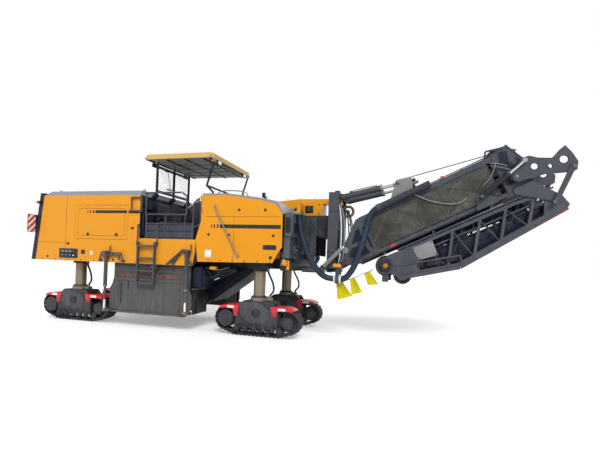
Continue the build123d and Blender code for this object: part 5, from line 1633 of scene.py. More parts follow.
    def handles(self) -> None:
        """The red-gripped handle, grips on the rails, a lamp and an extinguisher."""
        shape = Shape("platform_fittings").use(STEEL)
        shape.tube(
            [(-1.20, -1.21, 2.18), (-1.205, -1.235, 2.35), (-1.24, -1.235, 2.60), (-1.28, -1.215, 2.755)],
            0.012, 12, 5)
        shape.use(RED).tube(
            [(-1.202, -1.228, 2.30), (-1.215, -1.236, 2.42), (-1.228, -1.236, 2.52)], 0.018, 14, 4)
        shape.use(RED).turned(
            (-1.76, 1.05, self.deck + 0.01), UP,
            boss((0.075, 0.0), (0.080, 0.02), (0.080, 0.34), (0.060, 0.40), (0.028, 0.43), (0.028, 0.47)),
            24)
        shape.use(DARK).box((-1.80, 1.02, self.deck + 0.475), (-1.70, 1.08, self.deck + 0.50), 0.006)
        shape.use(SLATE).box((-2.655, -1.12, 2.30), (-2.60, -0.95, 2.62), 0.01)
        shape.box((-2.655, 0.95, 2.30), (-2.60, 1.12, 2.62), 0.01)
        shape.done("chassis")


# --------------------------------------------------------------------------- front hood
@dataclass
class FrontHood:
    """Trim of the front hood and of the machinery ahead of it.

    Args:
        stripe_z: Low and high edge of the dark stripe.
    """

    stripe_z: Pair = (2.11, 2.185)

    def build(self) -> None:
        """Makes the sides, roof and front."""
        for name, side in SIDES:
            self.side_trim(name, side)
        self.roof()
        self.front()

    def side_trim(self, name: str, side: float) -> None:
        """Stripe, handrail, plates, latches and seams of one side."""
        y = side * BODY_HALF
        shape = Shape(f"front_trim_{name}").use(PLASTIC)
        low, high = self.stripe_z
        shape.box((-0.82, y, low), (0.445, y + side * 0.0015, high), 0.0)
        for x0, x1 in ((-0.885, -0.850), (-0.955, -0.925), (-1.010, -0.990)):
            shape.box((x0, y, low), (x1, y + side * 0.0015, high), 0.0)
        shape.box((-1.16, y, 2.335), (0.44, y + side * 0.001, 2.341), 0.0)
        shape.box((-0.52, y, 1.46), (-0.514, y + side * 0.001, 2.335), 0.0)
        shape.use(DARK).box((0.10, y, 1.71), (0.37, y + side * 0.004, 1.80), 0.002)
        shape.use(WHITE).box((-1.13, y, 1.53), (-0.99, y + side * 0.0025, 1.67), 0.001)
        shape.use(PLASTIC)
        for x, z in ((-1.06, 1.98), (-0.62, 1.98), (0.30, 1.98), (-0.42, 2.47), (0.12, 2.47)):
            shape.turned((x, y, z), (0, side, 0), boss((0.027, 0.0), (0.025, 0.008)), 20)
        shape.turned((0.26, y, 1.56), (0, side, 0), boss((0.030, 0.0), (0.034, 0.004), top=0.003), 24)
        shape.use(PALE_GREY)
        rail = [(-0.94, 2.53), (-0.41, 1.57)]
        for x, z in rail:
            shape.bar((x, y, z), (x, y + side * 0.034, z), 0.012, 12)
            shape.turned((x, y, z), (0, side, 0), boss((0.028, 0.0), (0.028, 0.006)), 16)
        (x0, z0), (x1, z1) = rail
        shape.tube(
            [
                (x0, y + side * 0.020, z0 + 0.02), (x0 + 0.005, y + side * 0.036, z0 - 0.01),
                (x1 - 0.005, y + side * 0.036, z1 + 0.01), (x1, y + side * 0.020, z1 - 0.02)],
            0.0125, 12, 5)
        shape.use(BOLT).bolts(
            [(x, y, 1.475) for x in frange(-1.05, 0.25, 0.26)], (0, side, 0), 0.009, 0.008)
        shape.done("chassis")

    def roof(self) -> None:
        """Grille, seams, beacon, lamps and caps on the front roof."""
        shape = Shape("front_roof_fittings").use(DARK)
        for y in (-0.62, 0.62):
            shape.use(DARK).box((-1.02, y - 0.30, 2.797), (-0.72, y + 0.30, 2.812), 0.005)
            for x in frange(-1.00, -0.75, 0.04):
                shape.use(SLATE).box(
                    (x - 0.011, y - 0.28, 2.810), (x + 0.011, y + 0.28, 2.819), 0.0, tilt(0.5))
        shape.use(STEEL)
        for y in (-1.02, 1.02):
            shape.ring((-0.45, y, 2.785), FORWARD, 0.032, 0.009, 20, 8)
        foot, lens = Vector((0.20, 0.95, 2.672)), Vector((0.20, 0.95, 2.672 + 0.05))
        shape.use(DARK).bar(foot, lens, 0.05, 20)
        shape.use(AMBER).turned(lens, UP, boss((0.046, 0.0), (0.044, 0.07), (0.030, 0.10), top=0.11), 24)
        for y in (-0.72, 0.72):
            shape.use(DARK).bar((-0.10, y, 2.73), (-0.10, y, 2.79), 0.012, 10)
            shape.box((-0.14, y - 0.075, 2.785), (-0.065, y + 0.075, 2.885), 0.014)
            shape.use(CLEAR_LENS).box((-0.068, y - 0.066, 2.795), (-0.058, y + 0.066, 2.876), 0.006)
        shape.use(PALE_GREY)
        for y in (-1.13, 1.13):
            shape.tube(
                [(-0.95, y, 2.79), (-0.95, y, 2.87), (-0.55, y, 2.87), (-0.30, y, 2.83), (-0.30, y, 2.755)],
                0.011, 10, 5)
        shape.done("chassis", "roof_paint")

    def front(self) -> None:
        """Doors, louvres, valves, pipes and bolts on the front cabinets and the cross beam."""
        shape = Shape("front_machinery").use(CABINET)
        for _, side in SIDES:
            y = side * 0.93
            shape.use(CABINET).box((0.640, y - 0.215, 2.02), (0.6465, y + 0.215, 2.38), 0.003)
            shape.use(DARK)
            for z in frange(2.07, 2.25, 0.028):
                shape.box((0.645, y - 0.15, z - 0.007), (0.655, y + 0.15, z + 0.007), 0.0, tilt(0.5))
            shape.bar((0.646, y + 0.17, 2.20), (0.664, y + 0.17, 2.20), 0.018, 16)
            shape.use(BOLT).bolts(
                [(0.6465, y + a * 0.20, z) for a in WAYS for z in (2.04, 2.36)], FORWARD, 0.009)
            outer = side * 1.18
            shape.use(DARK).box((0.52, outer, 2.05), (0.62, outer + side * 0.006, 2.34), 0.003)
            shape.box((0.52, side * 1.18, 2.423), (0.62, side * 0.72, 2.430), 0.002)
        shape.use(DARK)
        for k, (y, z, long) in enumerate(
                (
                    (-1.02, 1.72, 0.10), (-0.86, 1.80, 0.07), (-0.70, 1.70, 0.12), (1.02, 1.74, 0.10),
                    (0.84, 1.80, 0.08))):
            shape.use(DARK if k % 2 else CAST).box(
                (0.60, y - 0.06, z - 0.07), (0.60 + long, y + 0.06, z + 0.09), 0.008)
            for j in WAYS:
                shape.use(STEEL).bar(
                    (0.60 + long, y + j * 0.03, z), (0.62 + long, y + j * 0.03, z), 0.016, 6)
        for k in range(6):
            y0 = -1.05 + 0.08 * k
            shape.use(HOSE).tube(
                [
                    (0.615, y0, 1.66), (0.69 + 0.01 * k, y0 + 0.01, 1.66), (0.71, y0 + 0.06, 1.58),
                    (0.66, y0 + 0.09, 1.50), (0.60, y0 + 0.10, 1.47)],
                0.014, 10, 5)
        for k in range(5):
            y0 = 0.75 + 0.07 * k
            shape.use(HOSE).tube(
                [
                    (0.615, y0, 1.68), (0.69, y0 + 0.01, 1.66), (0.70, y0 - 0.04, 1.57),
                    (0.64, y0 - 0.05, 1.49)],
                0.014, 10, 5)
        shape.use(YELLOW)
        for _, side in SIDES:
            shape.box((0.555, side * 1.151, 1.34), (0.61, side * 1.157, 1.52), 0.003)
            shape.plate([(0.44, 1.42), (0.60, 1.42), (0.60, 1.50), (0.48, 1.55)], side * 1.16, 0.012)
            for x, z in ((0.47, 1.44), (0.57, 1.44), (0.57, 1.49)):
                shape.use(BOLT).bolts([(x, side * 1.166, z)], (0, side, 0), 0.010)
                shape.use(YELLOW)
        shape.use(BOLT).bolts(
            [(0.602, y, z) for y in frange(-1.05, 1.06, 0.21) for z in (1.36, 1.50)], FORWARD, 0.013)
        shape.done("chassis", "frame_grey")


# --------------------------------------------------------------------------- canopy
@dataclass
class Canopy:
    """Glass, wiper, lamps, edging, lining and roof ribs of the canopy.

    Args:
        post_x: Where the windscreen's posts stand.
        panes: Low and high y of each pane.
    """

    post_x: float = -2.57
    panes: Outline = ((-0.815, -0.235), (-0.165, 0.415))

    def build(self) -> None:
        """Makes the screen, the roof's trim and its lining."""
        self.screen()
        self.roof_trim()
        self.underside()

    def screen(self) -> None:
        """Panes in rubber, a wiper and rungs on the windscreen frame."""
        shape = Shape("screen_panes").use(GLASS)
        for y0, y1 in self.panes:
            shape.box((self.post_x - 0.004, y0, 2.955), (self.post_x + 0.004, y1, 3.435), 0.002)
        shape.done("windscreen", "frame_grey")
        trim = Shape("screen_trim").use(PLASTIC)
        for y0, y1 in self.panes:
            for a, b in (
                    ((y0, 2.950), (y1, 2.950)), ((y0, 3.440), (y1, 3.440)), ((y0, 2.950), (y0, 3.440)),
                    ((y1, 2.950), (y1, 3.440))):
                trim.bar((self.post_x, *a), (self.post_x, *b), 0.010, 10)
        trim.bar((self.post_x + 0.03, -0.50, 3.43), (self.post_x + 0.012, -0.36, 3.06), 0.006, 8)
        trim.box((self.post_x + 0.006, -0.49, 3.02), (self.post_x + 0.020, -0.30, 3.05), 0.003)
        trim.box((self.post_x - 0.03, -0.545, 3.42), (self.post_x + 0.055, -0.455, 3.47), 0.01)
        trim.done("windscreen", "frame_grey")

    def roof_trim(self) -> None:
        """A rubber edge, ribs and rivets above, and lamps below."""
        shape = Shape("canopy_trim").use(PALE_GREY)
        x0, x1, half, low, high = -2.808, -1.172, 0.998, 3.592, 3.699
        for y in (-half, half):
            shape.box((x0 + 0.01, y - 0.0015, low + 0.004), (x1 - 0.01, y + 0.0015, low + 0.028), 0.0)
        shape.use(OCHRE)
        for y in frange(-0.80, 0.80, 0.20):
            shape.box((x0 + 0.10, y - 0.022, high - 0.002), (x1 - 0.10, y + 0.022, high + 0.009), 0.004)
        shape.use(STEEL)
        for y in (-0.93, 0.93):
            for x in frange(x0 + 0.10, x1 - 0.08, 0.18):
                shape.turned((x, y, high), UP, boss((0.010, 0.0), (0.008, 0.004), top=0.005), 10)
        for x, y, lens, face in (
                (x1 - 0.015, -0.66, CLEAR_LENS, 1), (x1 - 0.015, 0.66, CLEAR_LENS, 1),
                (x0 + 0.015, -0.62, AMBER, -1), (x0 + 0.015, 0.66, AMBER, -1)):
            shape.use(DARK).box((x - 0.035, y - 0.075, 3.50), (x + 0.010, y + 0.075, 3.588), 0.014)
            back = 0.0 if face > 0 else -0.025
            near, far = sorted((x + face * 0.010 + back, x + face * 0.014 + back))
            shape.use(lens).box((near, y - 0.066, 3.51), (far + 0.002, y + 0.066, 3.580), 0.001)
        shape.done("canopy", "canopy_paint")

    def underside(self) -> None:
        """The grey lining below the roof, between pressed ribs."""
        shape = Shape("canopy_lining").use(LINER)
        shape.box((-2.790, -0.982, 3.5835), (-1.188, 0.982, 3.5895), 0.002)
        for y in (-0.66, -0.33, 0.0, 0.33, 0.66):
            shape.box((-2.76, y - 0.020, 3.570), (-1.22, y + 0.020, 3.585), 0.004)
        shape.use(SLATE)
        for x in (-2.70, -2.27, -1.83, -1.40, -1.24):
            shape.box((x - 0.018, -0.96, 3.562), (x + 0.018, 0.96, 3.583), 0.004)
        shape.done("canopy", "canopy_paint")


# --------------------------------------------------------------------------- milling unit
@dataclass
class MillingUnit:
    """Drum tools, side plates, chain skirts, lift linkages and pipes.

    Args:
        drum_x: Axle of the drum.
        drum_z: Its height.
        radius: Radius of the drum's tube.
        starts: Rows of tools round the drum.
        lifts: x, foot height and top pin height of each lift cylinder of a side plate.
    """

    drum_x: float = -2.40
    drum_z: float = 0.70
    radius: float = 0.40
    starts: int = 6
    lifts: tuple[tuple[float, float, float], ...] = ((-3.44, 0.33, 1.53), (-1.50, 0.38, 1.60))

    def build(self) -> None:
        """Makes the drum's tools, the plates' wear parts and the linkages."""
        self.tools()
        for name, side in SIDES:
            self.side_plate(name, side)
            self.linkage(name, side)
        self.skirts()
        self.undergear()
        self.scraper_trim()

    def tools(self) -> None:
        """Holders and picks on a double helix that throws towards the middle."""
        holders, picks = Shape("tool_holders").use(CAST), Shape("drum_picks").use(TIP)
        for start in range(self.starts):
            for k in range(15):
                for side in WAYS:
                    y = side * (0.055 + 0.070 * k)
                    angle = 2 * math.pi * start / self.starts + 0.26 * k
                    out = Vector((math.cos(angle), 0, math.sin(angle)))
                    lean = Vector((-math.sin(angle), 0, math.cos(angle)))
                    base = Vector((self.drum_x, y, self.drum_z)) + out * (self.radius - 0.002)
                    turn = Matrix.Rotation(-angle, 3, "Y")
                    middle = base + out * 0.014
                    holders.box(
                        middle - Vector((0.016, 0.020, 0.028)), middle + Vector((0.016, 0.020, 0.028)), 0.0,
                        turn)
                    if (start + k) % 2 == 0:
                        tip = base + out * 0.040 + lean * 0.022
                        picks.bar(base + out * 0.016, tip, 0.012, 8, top=0.004)
        holders.done("drum", "track_steel")
        picks.done("drum", "track_steel")

    def side_plate(self, name: str, side: float) -> None:
        """Bolted wear strips, stiffeners and slots on a side plate."""
        y = side * 1.206
        shape = Shape(f"side_plate_wear_{name}").use(CAST)
        shape.box((-3.31, y, 0.305), (-1.62, y + side * 0.010, 0.335), 0.003)
        shape.use(BROWN).box((-3.24, y, 1.045), (-1.64, y + side * 0.008, 1.105), 0.003)
        shape.box((-3.26, side * 1.168, 1.112), (-1.61, side * 1.196, 1.138), 0.003)
        shape.use(BOLT).bolts(
            [(x, y + side * 0.008, 1.075) for x in frange(-3.18, -1.70, 0.185)], (0, side, 0), 0.015, 0.012)
        shape.use(HOUSING).box((-3.28, y, 0.965), (-1.62, y + side * 0.012, 1.035), 0.004)
        for x in (-3.20, -1.72):
            shape.plate(
                [(x - 0.040, 0.345), (x + 0.040, 0.345), (x + 0.040, 0.965), (x - 0.040, 0.965)],
                y + side * 0.008, 0.016, 0.004)
            shape.use(BOLT).bolts(
                [(x, y + side * 0.016, z) for z in (0.42, 0.62, 0.82)], (0, side, 0), 0.014, 0.010)
            shape.use(HOUSING)
        shape.use(DARK).plate(
            rounded_rect(-3.115, -3.085, 0.48, 0.92, 0.012, 4), y + side * 0.0015, 0.003, 0.0)
        shape.plate(rounded_rect(-2.945, -2.915, 0.78, 1.00, 0.012, 4), y + side * 0.0015, 0.003, 0.0)
        for x, eye, _ in self.lifts:
            rod, foot = (x, side * LIFT_Y, eye + 0.035), (x, side * LIFT_Y, eye - 0.028)
            shape.use(CHROME).turned(rod, UP, sleeve(0.0252, 0.0262, 0.180), 24)
            shape.use(STEEL).turned(foot, UP, boss((0.040, 0.0), (0.040, 0.056)), 24)
        shape.use(BOLT).bolts(
            [(x, y + side * 0.009, 0.320) for x in frange(-3.26, -1.66, 0.2)], (0, side, 0), 0.012, 0.008)
        shape.done(f"side_plate_{name}", "housing_paint")

    def linkage(self, name: str, side: float) -> None:
        """Hinge band, A-frame, bracket bar, rods and pipes above a side plate."""
        y = side * 1.252
        shape = Shape(f"lift_linkage_{name}").use(TRUSS)
        out = y + side * 0.052
        shape.rails(((-3.60, 1.40), (-3.56, 1.545), (-3.06, 1.545), (-3.03, 1.40)), out, 0.015, 12)
        shape.rails(((-3.54, 1.50), (-3.10, 1.50), (-3.12, 1.40)), out, 0.015, 12)
        for x, z in ((-3.60, 1.385), (-3.03, 1.385), (-3.30, 1.51)):
            shape.box(
                (x - 0.030, side * 1.25, z - 0.022), (x + 0.030, out + side * 0.010, z + 0.022), 0.004)
        cap = boss((0.030, 0.0), (0.030, 0.022), (0.016, 0.028))
        for x, _, pin_z in self.lifts:
            shape.use(PALE_GREY).turned((x, side * LIFT_Y, pin_z + 0.034), UP, cap, 20)
            shape.use(STEEL).turned((x, side * LIFT_Y, 0.826), UP, sleeve(0.026, 0.046, 0.035), 24)
            shape.use(HOSE).tube(
                [
                    (x + 0.040, side * LIFT_Y, pin_z - 0.09), (x + 0.075, side * 1.30, pin_z - 0.04),
                    (x + 0.085, side * 1.29, pin_z + 0.08), (x + 0.07, side * 1.262, pin_z + 0.16)],
                0.011, 10, 5)
        apex = (-1.60, 1.655)
        for foot in ((-1.96, 1.365), (-1.83, 1.365), (-1.40, 1.365)):
            shape.use(TRUSS).bar((apex[0], out, apex[1]), (foot[0], y + side * 0.020, foot[1]), 0.017, 12)
            shape.box(
                (foot[0] - 0.03, side * 1.25, 1.350), (foot[0] + 0.03, y + side * 0.034, 1.385), 0.004)
        shape.bar((apex[0], out, apex[1]), (-1.46, out, apex[1] - 0.01), 0.017, 12)
        shape.bar((-1.78, out, 1.50), (-1.88, y + side * 0.020, 1.375), 0.010, 10)
        shape.use(DARK).tube(
            [
                (-2.95, side * 1.242, 1.335), (-2.93, side * 1.242, 1.235), (-2.60, side * 1.243, 1.225),
                (-2.20, side * 1.243, 1.232), (-1.83, side * 1.242, 1.235), (-1.80, side * 1.242, 1.335)],
            0.009, 10, 6)
        shape.use(CAST).box((-2.36, side * 1.234, 1.215), (-2.20, side * 1.250, 1.345), 0.004)
        shape.use(STEEL)
        for x in (-2.33, -2.28, -2.23):
            shape.bar((x, side * 1.246, 1.275), (x, side * 1.264, 1.275), 0.013, 6)
        shape.done("chassis", "frame_grey")

    def skirts(self) -> None:
        """Rubber strips ahead of the housing and behind the scraper."""
        shape = Shape("dust_skirts").use(RUBBER)
        for y in frange(-1.08, 1.02, 0.10):
            if abs(y + 0.045) > 0.46:
                shape.box((-1.468, y, 0.335 + 0.006 * math.sin(7 * y)), (-1.456, y + 0.094, 0.86), 0.002)
        shape.use(STEEL).box((-1.468, 0.50, 0.84), (-1.450, 1.12, 0.875), 0.003)
        shape.box((-1.468, -1.12, 0.84), (-1.450, -0.50, 0.875), 0.003)
        shape.bolts(
            [(-1.450, s * y, 0.857) for s in WAYS for y in frange(0.55, 1.10, 0.11)], FORWARD, 0.011)
        shape.done("chassis", "housing_paint")

    def undergear(self) -> None:
        """Navy boxes, partly guards and partly painted shade, with hoses, cylinders and a yellow valve
        between the housing and the front crawlers.
        """
        shape = Shape("under_guards").use(NAVY)
        for side in WAYS:
            low, high = sorted((side * 0.56, side * 1.14))
            # Near-black navy boxes: guards that also paint the shade in the gap under the machine.
            shape.use(NAVY).box((-1.440, low, 0.90), (-1.250, high, 1.335), 0.02)
            shape.use(NAVY).box((-1.250, low + 0.04, 0.98), (-1.215, high - 0.04, 1.28), 0.01)
            shape.use(DARK).bar((-1.23, side * 0.80, 1.22), (-0.66, side * 0.80, 1.30), 0.045, 22)
            shape.use(CHROME).bar((-1.30, side * 0.62, 1.02), (-0.72, side * 0.60, 1.28), 0.020, 16)
            shape.use(DARK).bar((-1.10, side * 0.61, 1.11), (-0.70, side * 0.60, 1.29), 0.040, 20)
            for k in range(5):
                y0 = side * (0.66 + 0.085 * k)
                shape.use(HOSE).tube(
                    [
                        (-1.22, y0, 1.26), (-1.14, y0, 1.25 - 0.012 * k),
                        (-1.08, y0 + side * 0.02, 1.17 - 0.02 * k), (-0.98, y0 + side * 0.03, 1.16),
                        (-0.90, y0 + side * 0.02, 1.24), (-0.88, y0, 1.33)],
                    0.014, 10, 6)
            shape.use(YELLOW).box(
                (-1.06, side * 1.10 - 0.06, 1.285), (-0.93, side * 1.10 + 0.06, 1.345), 0.008)
            shape.use(BOLT).bolts([(-1.03, side * 1.10, 1.285), (-0.96, side * 1.10, 1.285)], DOWN, 0.014)
            shape.use(PALE_GREY).tube(
                [
                    (-1.22, side * 1.02, 1.315), (-1.12, side * 1.06, 1.30), (-1.00, side * 1.05, 1.265),
                    (-0.80, side * 1.02, 1.30), (-0.70, side * 1.0, 1.34)],
                0.009, 8, 5)
        shape.done("chassis", "dark_paint")

    def scraper_trim(self) -> None:
        """Bolted blades along the scraper and its guides."""
        shape = Shape("scraper_blades").use(TIP)
        for k in range(12):
            y = -0.89 + 0.149 * k
            shape.box((-3.2655, y, 0.302), (-3.2545, y + 0.143, 0.395), 0.002)
            shape.use(BOLT).bolts([(-3.2545, y + 0.036, 0.36), (-3.2545, y + 0.108, 0.36)], FORWARD, 0.010)
            shape.use(TIP)
        shape.done("scraper", "housing_paint")


# --------------------------------------------------------------------------- discharge conveyor
def on_section(along: float, up: float) -> Pair:
    """The (x, z) of a point given along and above the first section's line."""
    cos, sin = math.cos(LUFF_ANGLE), math.sin(LUFF_ANGLE)
    return LUFF_PIN[0] + along * cos - up * sin, LUFF_PIN[1] + along * sin + up * cos


def section_at(along: float, up: float, y: float) -> Point:
    """A point given along, above and across the first section."""
    x, z = on_section(along, up)
    return x, y, z


@dataclass
class FirstSection:
    """Canvas covers, duct, rollers, chord trim and head gear of the first conveyor section.

    Args:
        cover: Low and high along, low and high up of a side cover.
        roof: Low and high along of the top cover, and its height.
        duct_up: Height of the air duct's middle.
    """

    cover: tuple[float, float, float, float] = (0.64, 3.05, -0.105, 0.503)
    roof: tuple[float, float, float] = (0.56, 3.15, 0.610)
    duct_up: float = 0.617

    def build(self) -> None:
        """Makes the covers first, then everything that is fixed to the frame."""
        for name, side in SIDES:
            self.side_cover(name, side)
        self.top_cover()
        self.edging()
        self.rollers()
        self.chord_trim()
        self.duct()
        self.head_gear()
        self.recess_shade()
        self.head_hoses()
        self.hoist_trim()
        self.pipes()

    def side_cover(self, name: str, side: float) -> None:
        """A stretched canvas with slanting creases."""
        a0, a1, u0, u1 = self.cover

        def place(s: float, t: float) -> Point:
            """A point of the cloth; it bellies out and creases between its clamped edges."""
            edge = min(1.0, 9 * min(s, 1 - s)) * min(1.0, 5 * min(t, 1 - t))
            fold = (
                0.55 * math.sin(10.0 * s + 6.5 * t) ** 3 + 0.45 * math.sin(17.0 * s - 8.0 * t + 1.3) ** 3
                + 0.25 * math.sin(31.0 * s + 13.0 * t + 0.4))
            out = 0.5222 + edge * (0.0060 + 0.0150 * fold)
            x, z = on_section(a0 + (a1 - a0) * s, u0 + (u1 - u0) * t)
            return x, side * out, z

        piece = cloth(f"side_cover_{name}", place, (150, 40), CANVAS, (a1 - a0, u1 - u0))
        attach(piece, "section_1")
        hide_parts("conveyor_covers")

    def top_cover(self) -> None:
        """The roof canvas, drawn over hoops and sagging between them."""
        a0, a1, up = self.roof
        half = 0.505

        def place(s: float, t: float) -> Point:
            """A point of the cloth between its hoops."""
            sag = 0.010 * math.sin(math.pi * 9 * s) ** 2 * math.sin(math.pi * t)
            wave = 0.0025 * math.sin(23 * s + 9 * t) * min(1.0, 8 * min(t, 1 - t))
            x, z = on_section(a0 + (a1 - a0) * s, up + 0.003 - sag + wave)
            return x, -half + 2 * half * t, z

        piece = cloth("top_cover", place, (150, 48), CANVAS, (a1 - a0, 2 * half))
        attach(piece, "section_1")
        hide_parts("conveyor_covers")

    def edging(self) -> None:
        """Clamp strips with eyelets and buttons round the side covers, and straps over them."""
        a0, a1, u0, u1 = self.cover
        shape = Shape("cover_edging").use(TRUSS)
        for _, side in SIDES:
            y = side * 0.5275
            for up in (u0 + 0.008, u1 - 0.008):
                shape.use(TRUSS).bar(section_at(a0, up, y), section_at(a1, up, y), 0.0065, 8)
                for along in frange(a0 + 0.06, a1 - 0.05, 0.15):
                    eyelet = section_at(along, up + (0.022 if up < 0 else -0.022), y)
                    shape.use(PIN).ring(eyelet, LEFT, 0.010, 0.003, 14, 6)
            for along in (a0 + 0.004, a1 - 0.004):
                shape.use(TRUSS).bar(section_at(along, u0, y), section_at(along, u1, y), 0.006, 8)
        for along in frange(self.roof[0] + 0.01, self.roof[1] - 0.01, 0.2855):
            x, z = on_section(along, 0.6075)
            shape.use(TRUSS).bar((x, -0.508, z), (x, 0.508, z), 0.0085, 8)
        shape.done("section_1", "dark_paint")

    def rollers(self) -> None:
        """Idlers under the belt and cleats on it."""
        shape = Shape("section_1_idlers").use(CAST)
        for along in frange(0.5, 3.1, 0.65):
            x, z = on_section(along, -0.010)
            shape.bar((x, -0.44, z), (x, 0.44, z), 0.028, 18)
        shape.done("section_1", "dark_paint")
        cleats = Shape("section_1_cleats").use(RUBBER)
        turn = tilt(-LUFF_ANGLE)
        for along in frange(0.12, 3.36, 0.24):
            for up in (0.2475, 0.0145):
                x, z = on_section(along, up)
                cleats.box((x - 0.014, -0.36, z - 0.006), (x + 0.014, 0.36, z + 0.006), 0.003, turn)
        cleats.done("section_1", "belt_rubber")

    def chord_trim(self) -> None:
        """Gussets, bolts, clips and a cable tray along both chords."""
        shape = Shape("section_1_chord_trim").use(TRUSS)
        turn = tilt(-LUFF_ANGLE)
        for _, side in SIDES:
            y = side * 0.5215
            for along in frange(0.80, 3.05, 0.15):
                x, z = on_section(along, -0.115)
                shape.use(TRUSS).box(
                    (x - 0.007, y - 0.008, z - 0.022), (x + 0.007, y + 0.008, z + 0.022), 0.002, turn)
            for along in frange(0.35, 3.45, 0.31):
                for up in (-0.165, 0.558):
                    shape.use(BOLT).bolts(
                        [section_at(along, up, side * SECTION_HALF)], (0, side, 0), 0.010, 0.010)
            y_pipe = side * 0.529
            shape.use(SLATE).bar(
                section_at(0.30, -0.198, y_pipe), section_at(3.10, -0.198, y_pipe), 0.010, 10)
            for along in (0.10, 0.38, 0.52):
                for up in (-0.12, 0.02):
                    shape.use(BOLT).bolts(
                        [section_at(along, up, side * SECTION_HALF)], (0, side, 0), 0.014, 0.012)
            x, z = on_section(0.95, -0.165)
            shape.use(RED).box(
                (x - 0.045, side * SECTION_HALF, z - 0.030), (x + 0.045, side * 0.526, z + 0.030), 0.002,
                turn)
        shape.done("section_1", "dark_paint")

    def duct(self) -> None:
        """Corrugated hose along the duct, clips and an outlet elbow."""
        shape = Shape("air_duct_cover").use(HOSE)
        axis = (math.cos(LUFF_ANGLE), 0, math.sin(LUFF_ANGLE))
        for k, along in enumerate(frange(1.06, 2.02, 0.02)):
            radius = (0.0635 if k % 2 else 0.0605) - 0.003
            shape.ring(section_at(along, self.duct_up, DUCT_Y), axis, radius, 0.0055, 28, 8)
        shape.done("section_1", "hose_rubber")
        clips = Shape("air_duct_clips").use(PIN)
        for along in (0.985, 1.045, 1.30, 1.62, 1.94):
            radius = 0.0705 if along < 1.05 else 0.0655
            clips.ring(section_at(along, self.duct_up, DUCT_Y), axis, radius, 0.0035, 32, 8)
        clips.done("section_1", "frame_grey")

    def head_gear(self) -> None:
        """Drive motors, bearings, the valve block and its pipes at the head."""
        shape = Shape("section_1_head_gear").use(DARK)
        turn = tilt(-LUFF_ANGLE)
        for _, side in SIDES:
            for along in (0.06, 3.42):
                x, z = on_section(along, 0.13)
                shape.use(PALE_GREY).turned(
                    (x, side * SECTION_HALF, z), (0, side, 0),
                    boss((0.070, 0.0), (0.066, 0.020), (0.036, 0.030), top=0.032), 28)
                holes = circle((x, side * 0.534, z), 0.052, (0.6, 2.2, 3.8, 5.4))
                shape.use(BOLT).bolts(holes, (0, side, 0), 0.008, 0.008)
            x, z = on_section(3.42, 0.30)
            shape.use(DARK).box(
                (x - 0.06, side * 0.545 - 0.022, z - 0.05), (x + 0.06, side * 0.545 + 0.022, z + 0.05),
                0.010, turn)
        for k, (along, up, y, size) in enumerate(
                (
                    (3.22, 0.655, -0.20, 0.055), (3.30, 0.665, -0.34, 0.045), (3.34, 0.655, 0.05, 0.05),
                    (3.26, 0.66, 0.28, 0.055), (3.17, 0.65, -0.05, 0.04))):
            x, z = on_section(along, up)
            shape.use(DARK if k % 2 else CAST).box(
                (x - size, y - 0.055, z - size), (x + size, y + 0.055, z + size), 0.008, turn)
            shape.use(PIN)
            for j in WAYS:
                tip = on_section(along + 0.01, up + size + 0.012)
                shape.bar((x, y + 0.03 * j, z), (tip[0], y + 0.03 * j, tip[1]), 0.014, 6)
        for k in range(7):
            y = -0.42 + 0.13 * k
            route = (
                (3.20 + 0.02 * (k % 3), 0.66), (3.32 + 0.03 * (k % 2), 0.70 - 0.01 * (k % 3)), (3.50, 0.60),
                (3.62, 0.36))
            line = [section_at(*p, y + 0.02 * j) for j, p in enumerate(route)]
            shape.use(HOSE if k % 2 else DARK).tube(line, 0.013, 10, 7)
        for k, y in enumerate((-0.47, -0.30, -0.10, 0.16, 0.36)):
            x, z = on_section(3.36 + 0.03 * (k % 2), 0.625)
            shape.use(CAST if k % 2 else DARK).bar(
                (x, y - 0.03, z), (x + 0.015, y - 0.03, z + 0.055), 0.026, 14)
            shape.use(PALE_GREY).bar(
                (x + 0.012, y - 0.03, z + 0.040), (x + 0.020, y - 0.03, z + 0.075), 0.010, 10)
        frame = [on_section(*p) for p in ((3.06, 0.60), (3.14, 0.735), (3.42, 0.665), (3.60, 0.52))]
        for side in WAYS:
            shape.use(TRUSS).rails(frame, side * 0.47, 0.016)
        x0, z0 = on_section(3.08, 0.607)
        x1, z1 = on_section(3.40, 0.607)
        for y in (-0.40, 0.40):
            shape.use(TRUSS).bar((x0, y, z0 + 0.01), (x1, y, z1 + 0.01), 0.018, 12)
        shape.done("section_1", "dark_paint")

    def head_hoses(self) -> None:
        """Hose bows over the valves at the head."""
        loops = Shape("section_1_head_hoses").use(HOSE)
        for k in range(5):
            y = -0.30 + 0.13 * k
            loops.tube(
                [
                    section_at(3.24, 0.73, y), section_at(3.45, 0.69 + 0.01 * k, y + 0.02),
                    section_at(3.60, 0.56, y + 0.03), section_at(3.52, 0.36, y + 0.02)],
                0.013, 10, 6)
        loops.done("section_1", "hose_rubber")

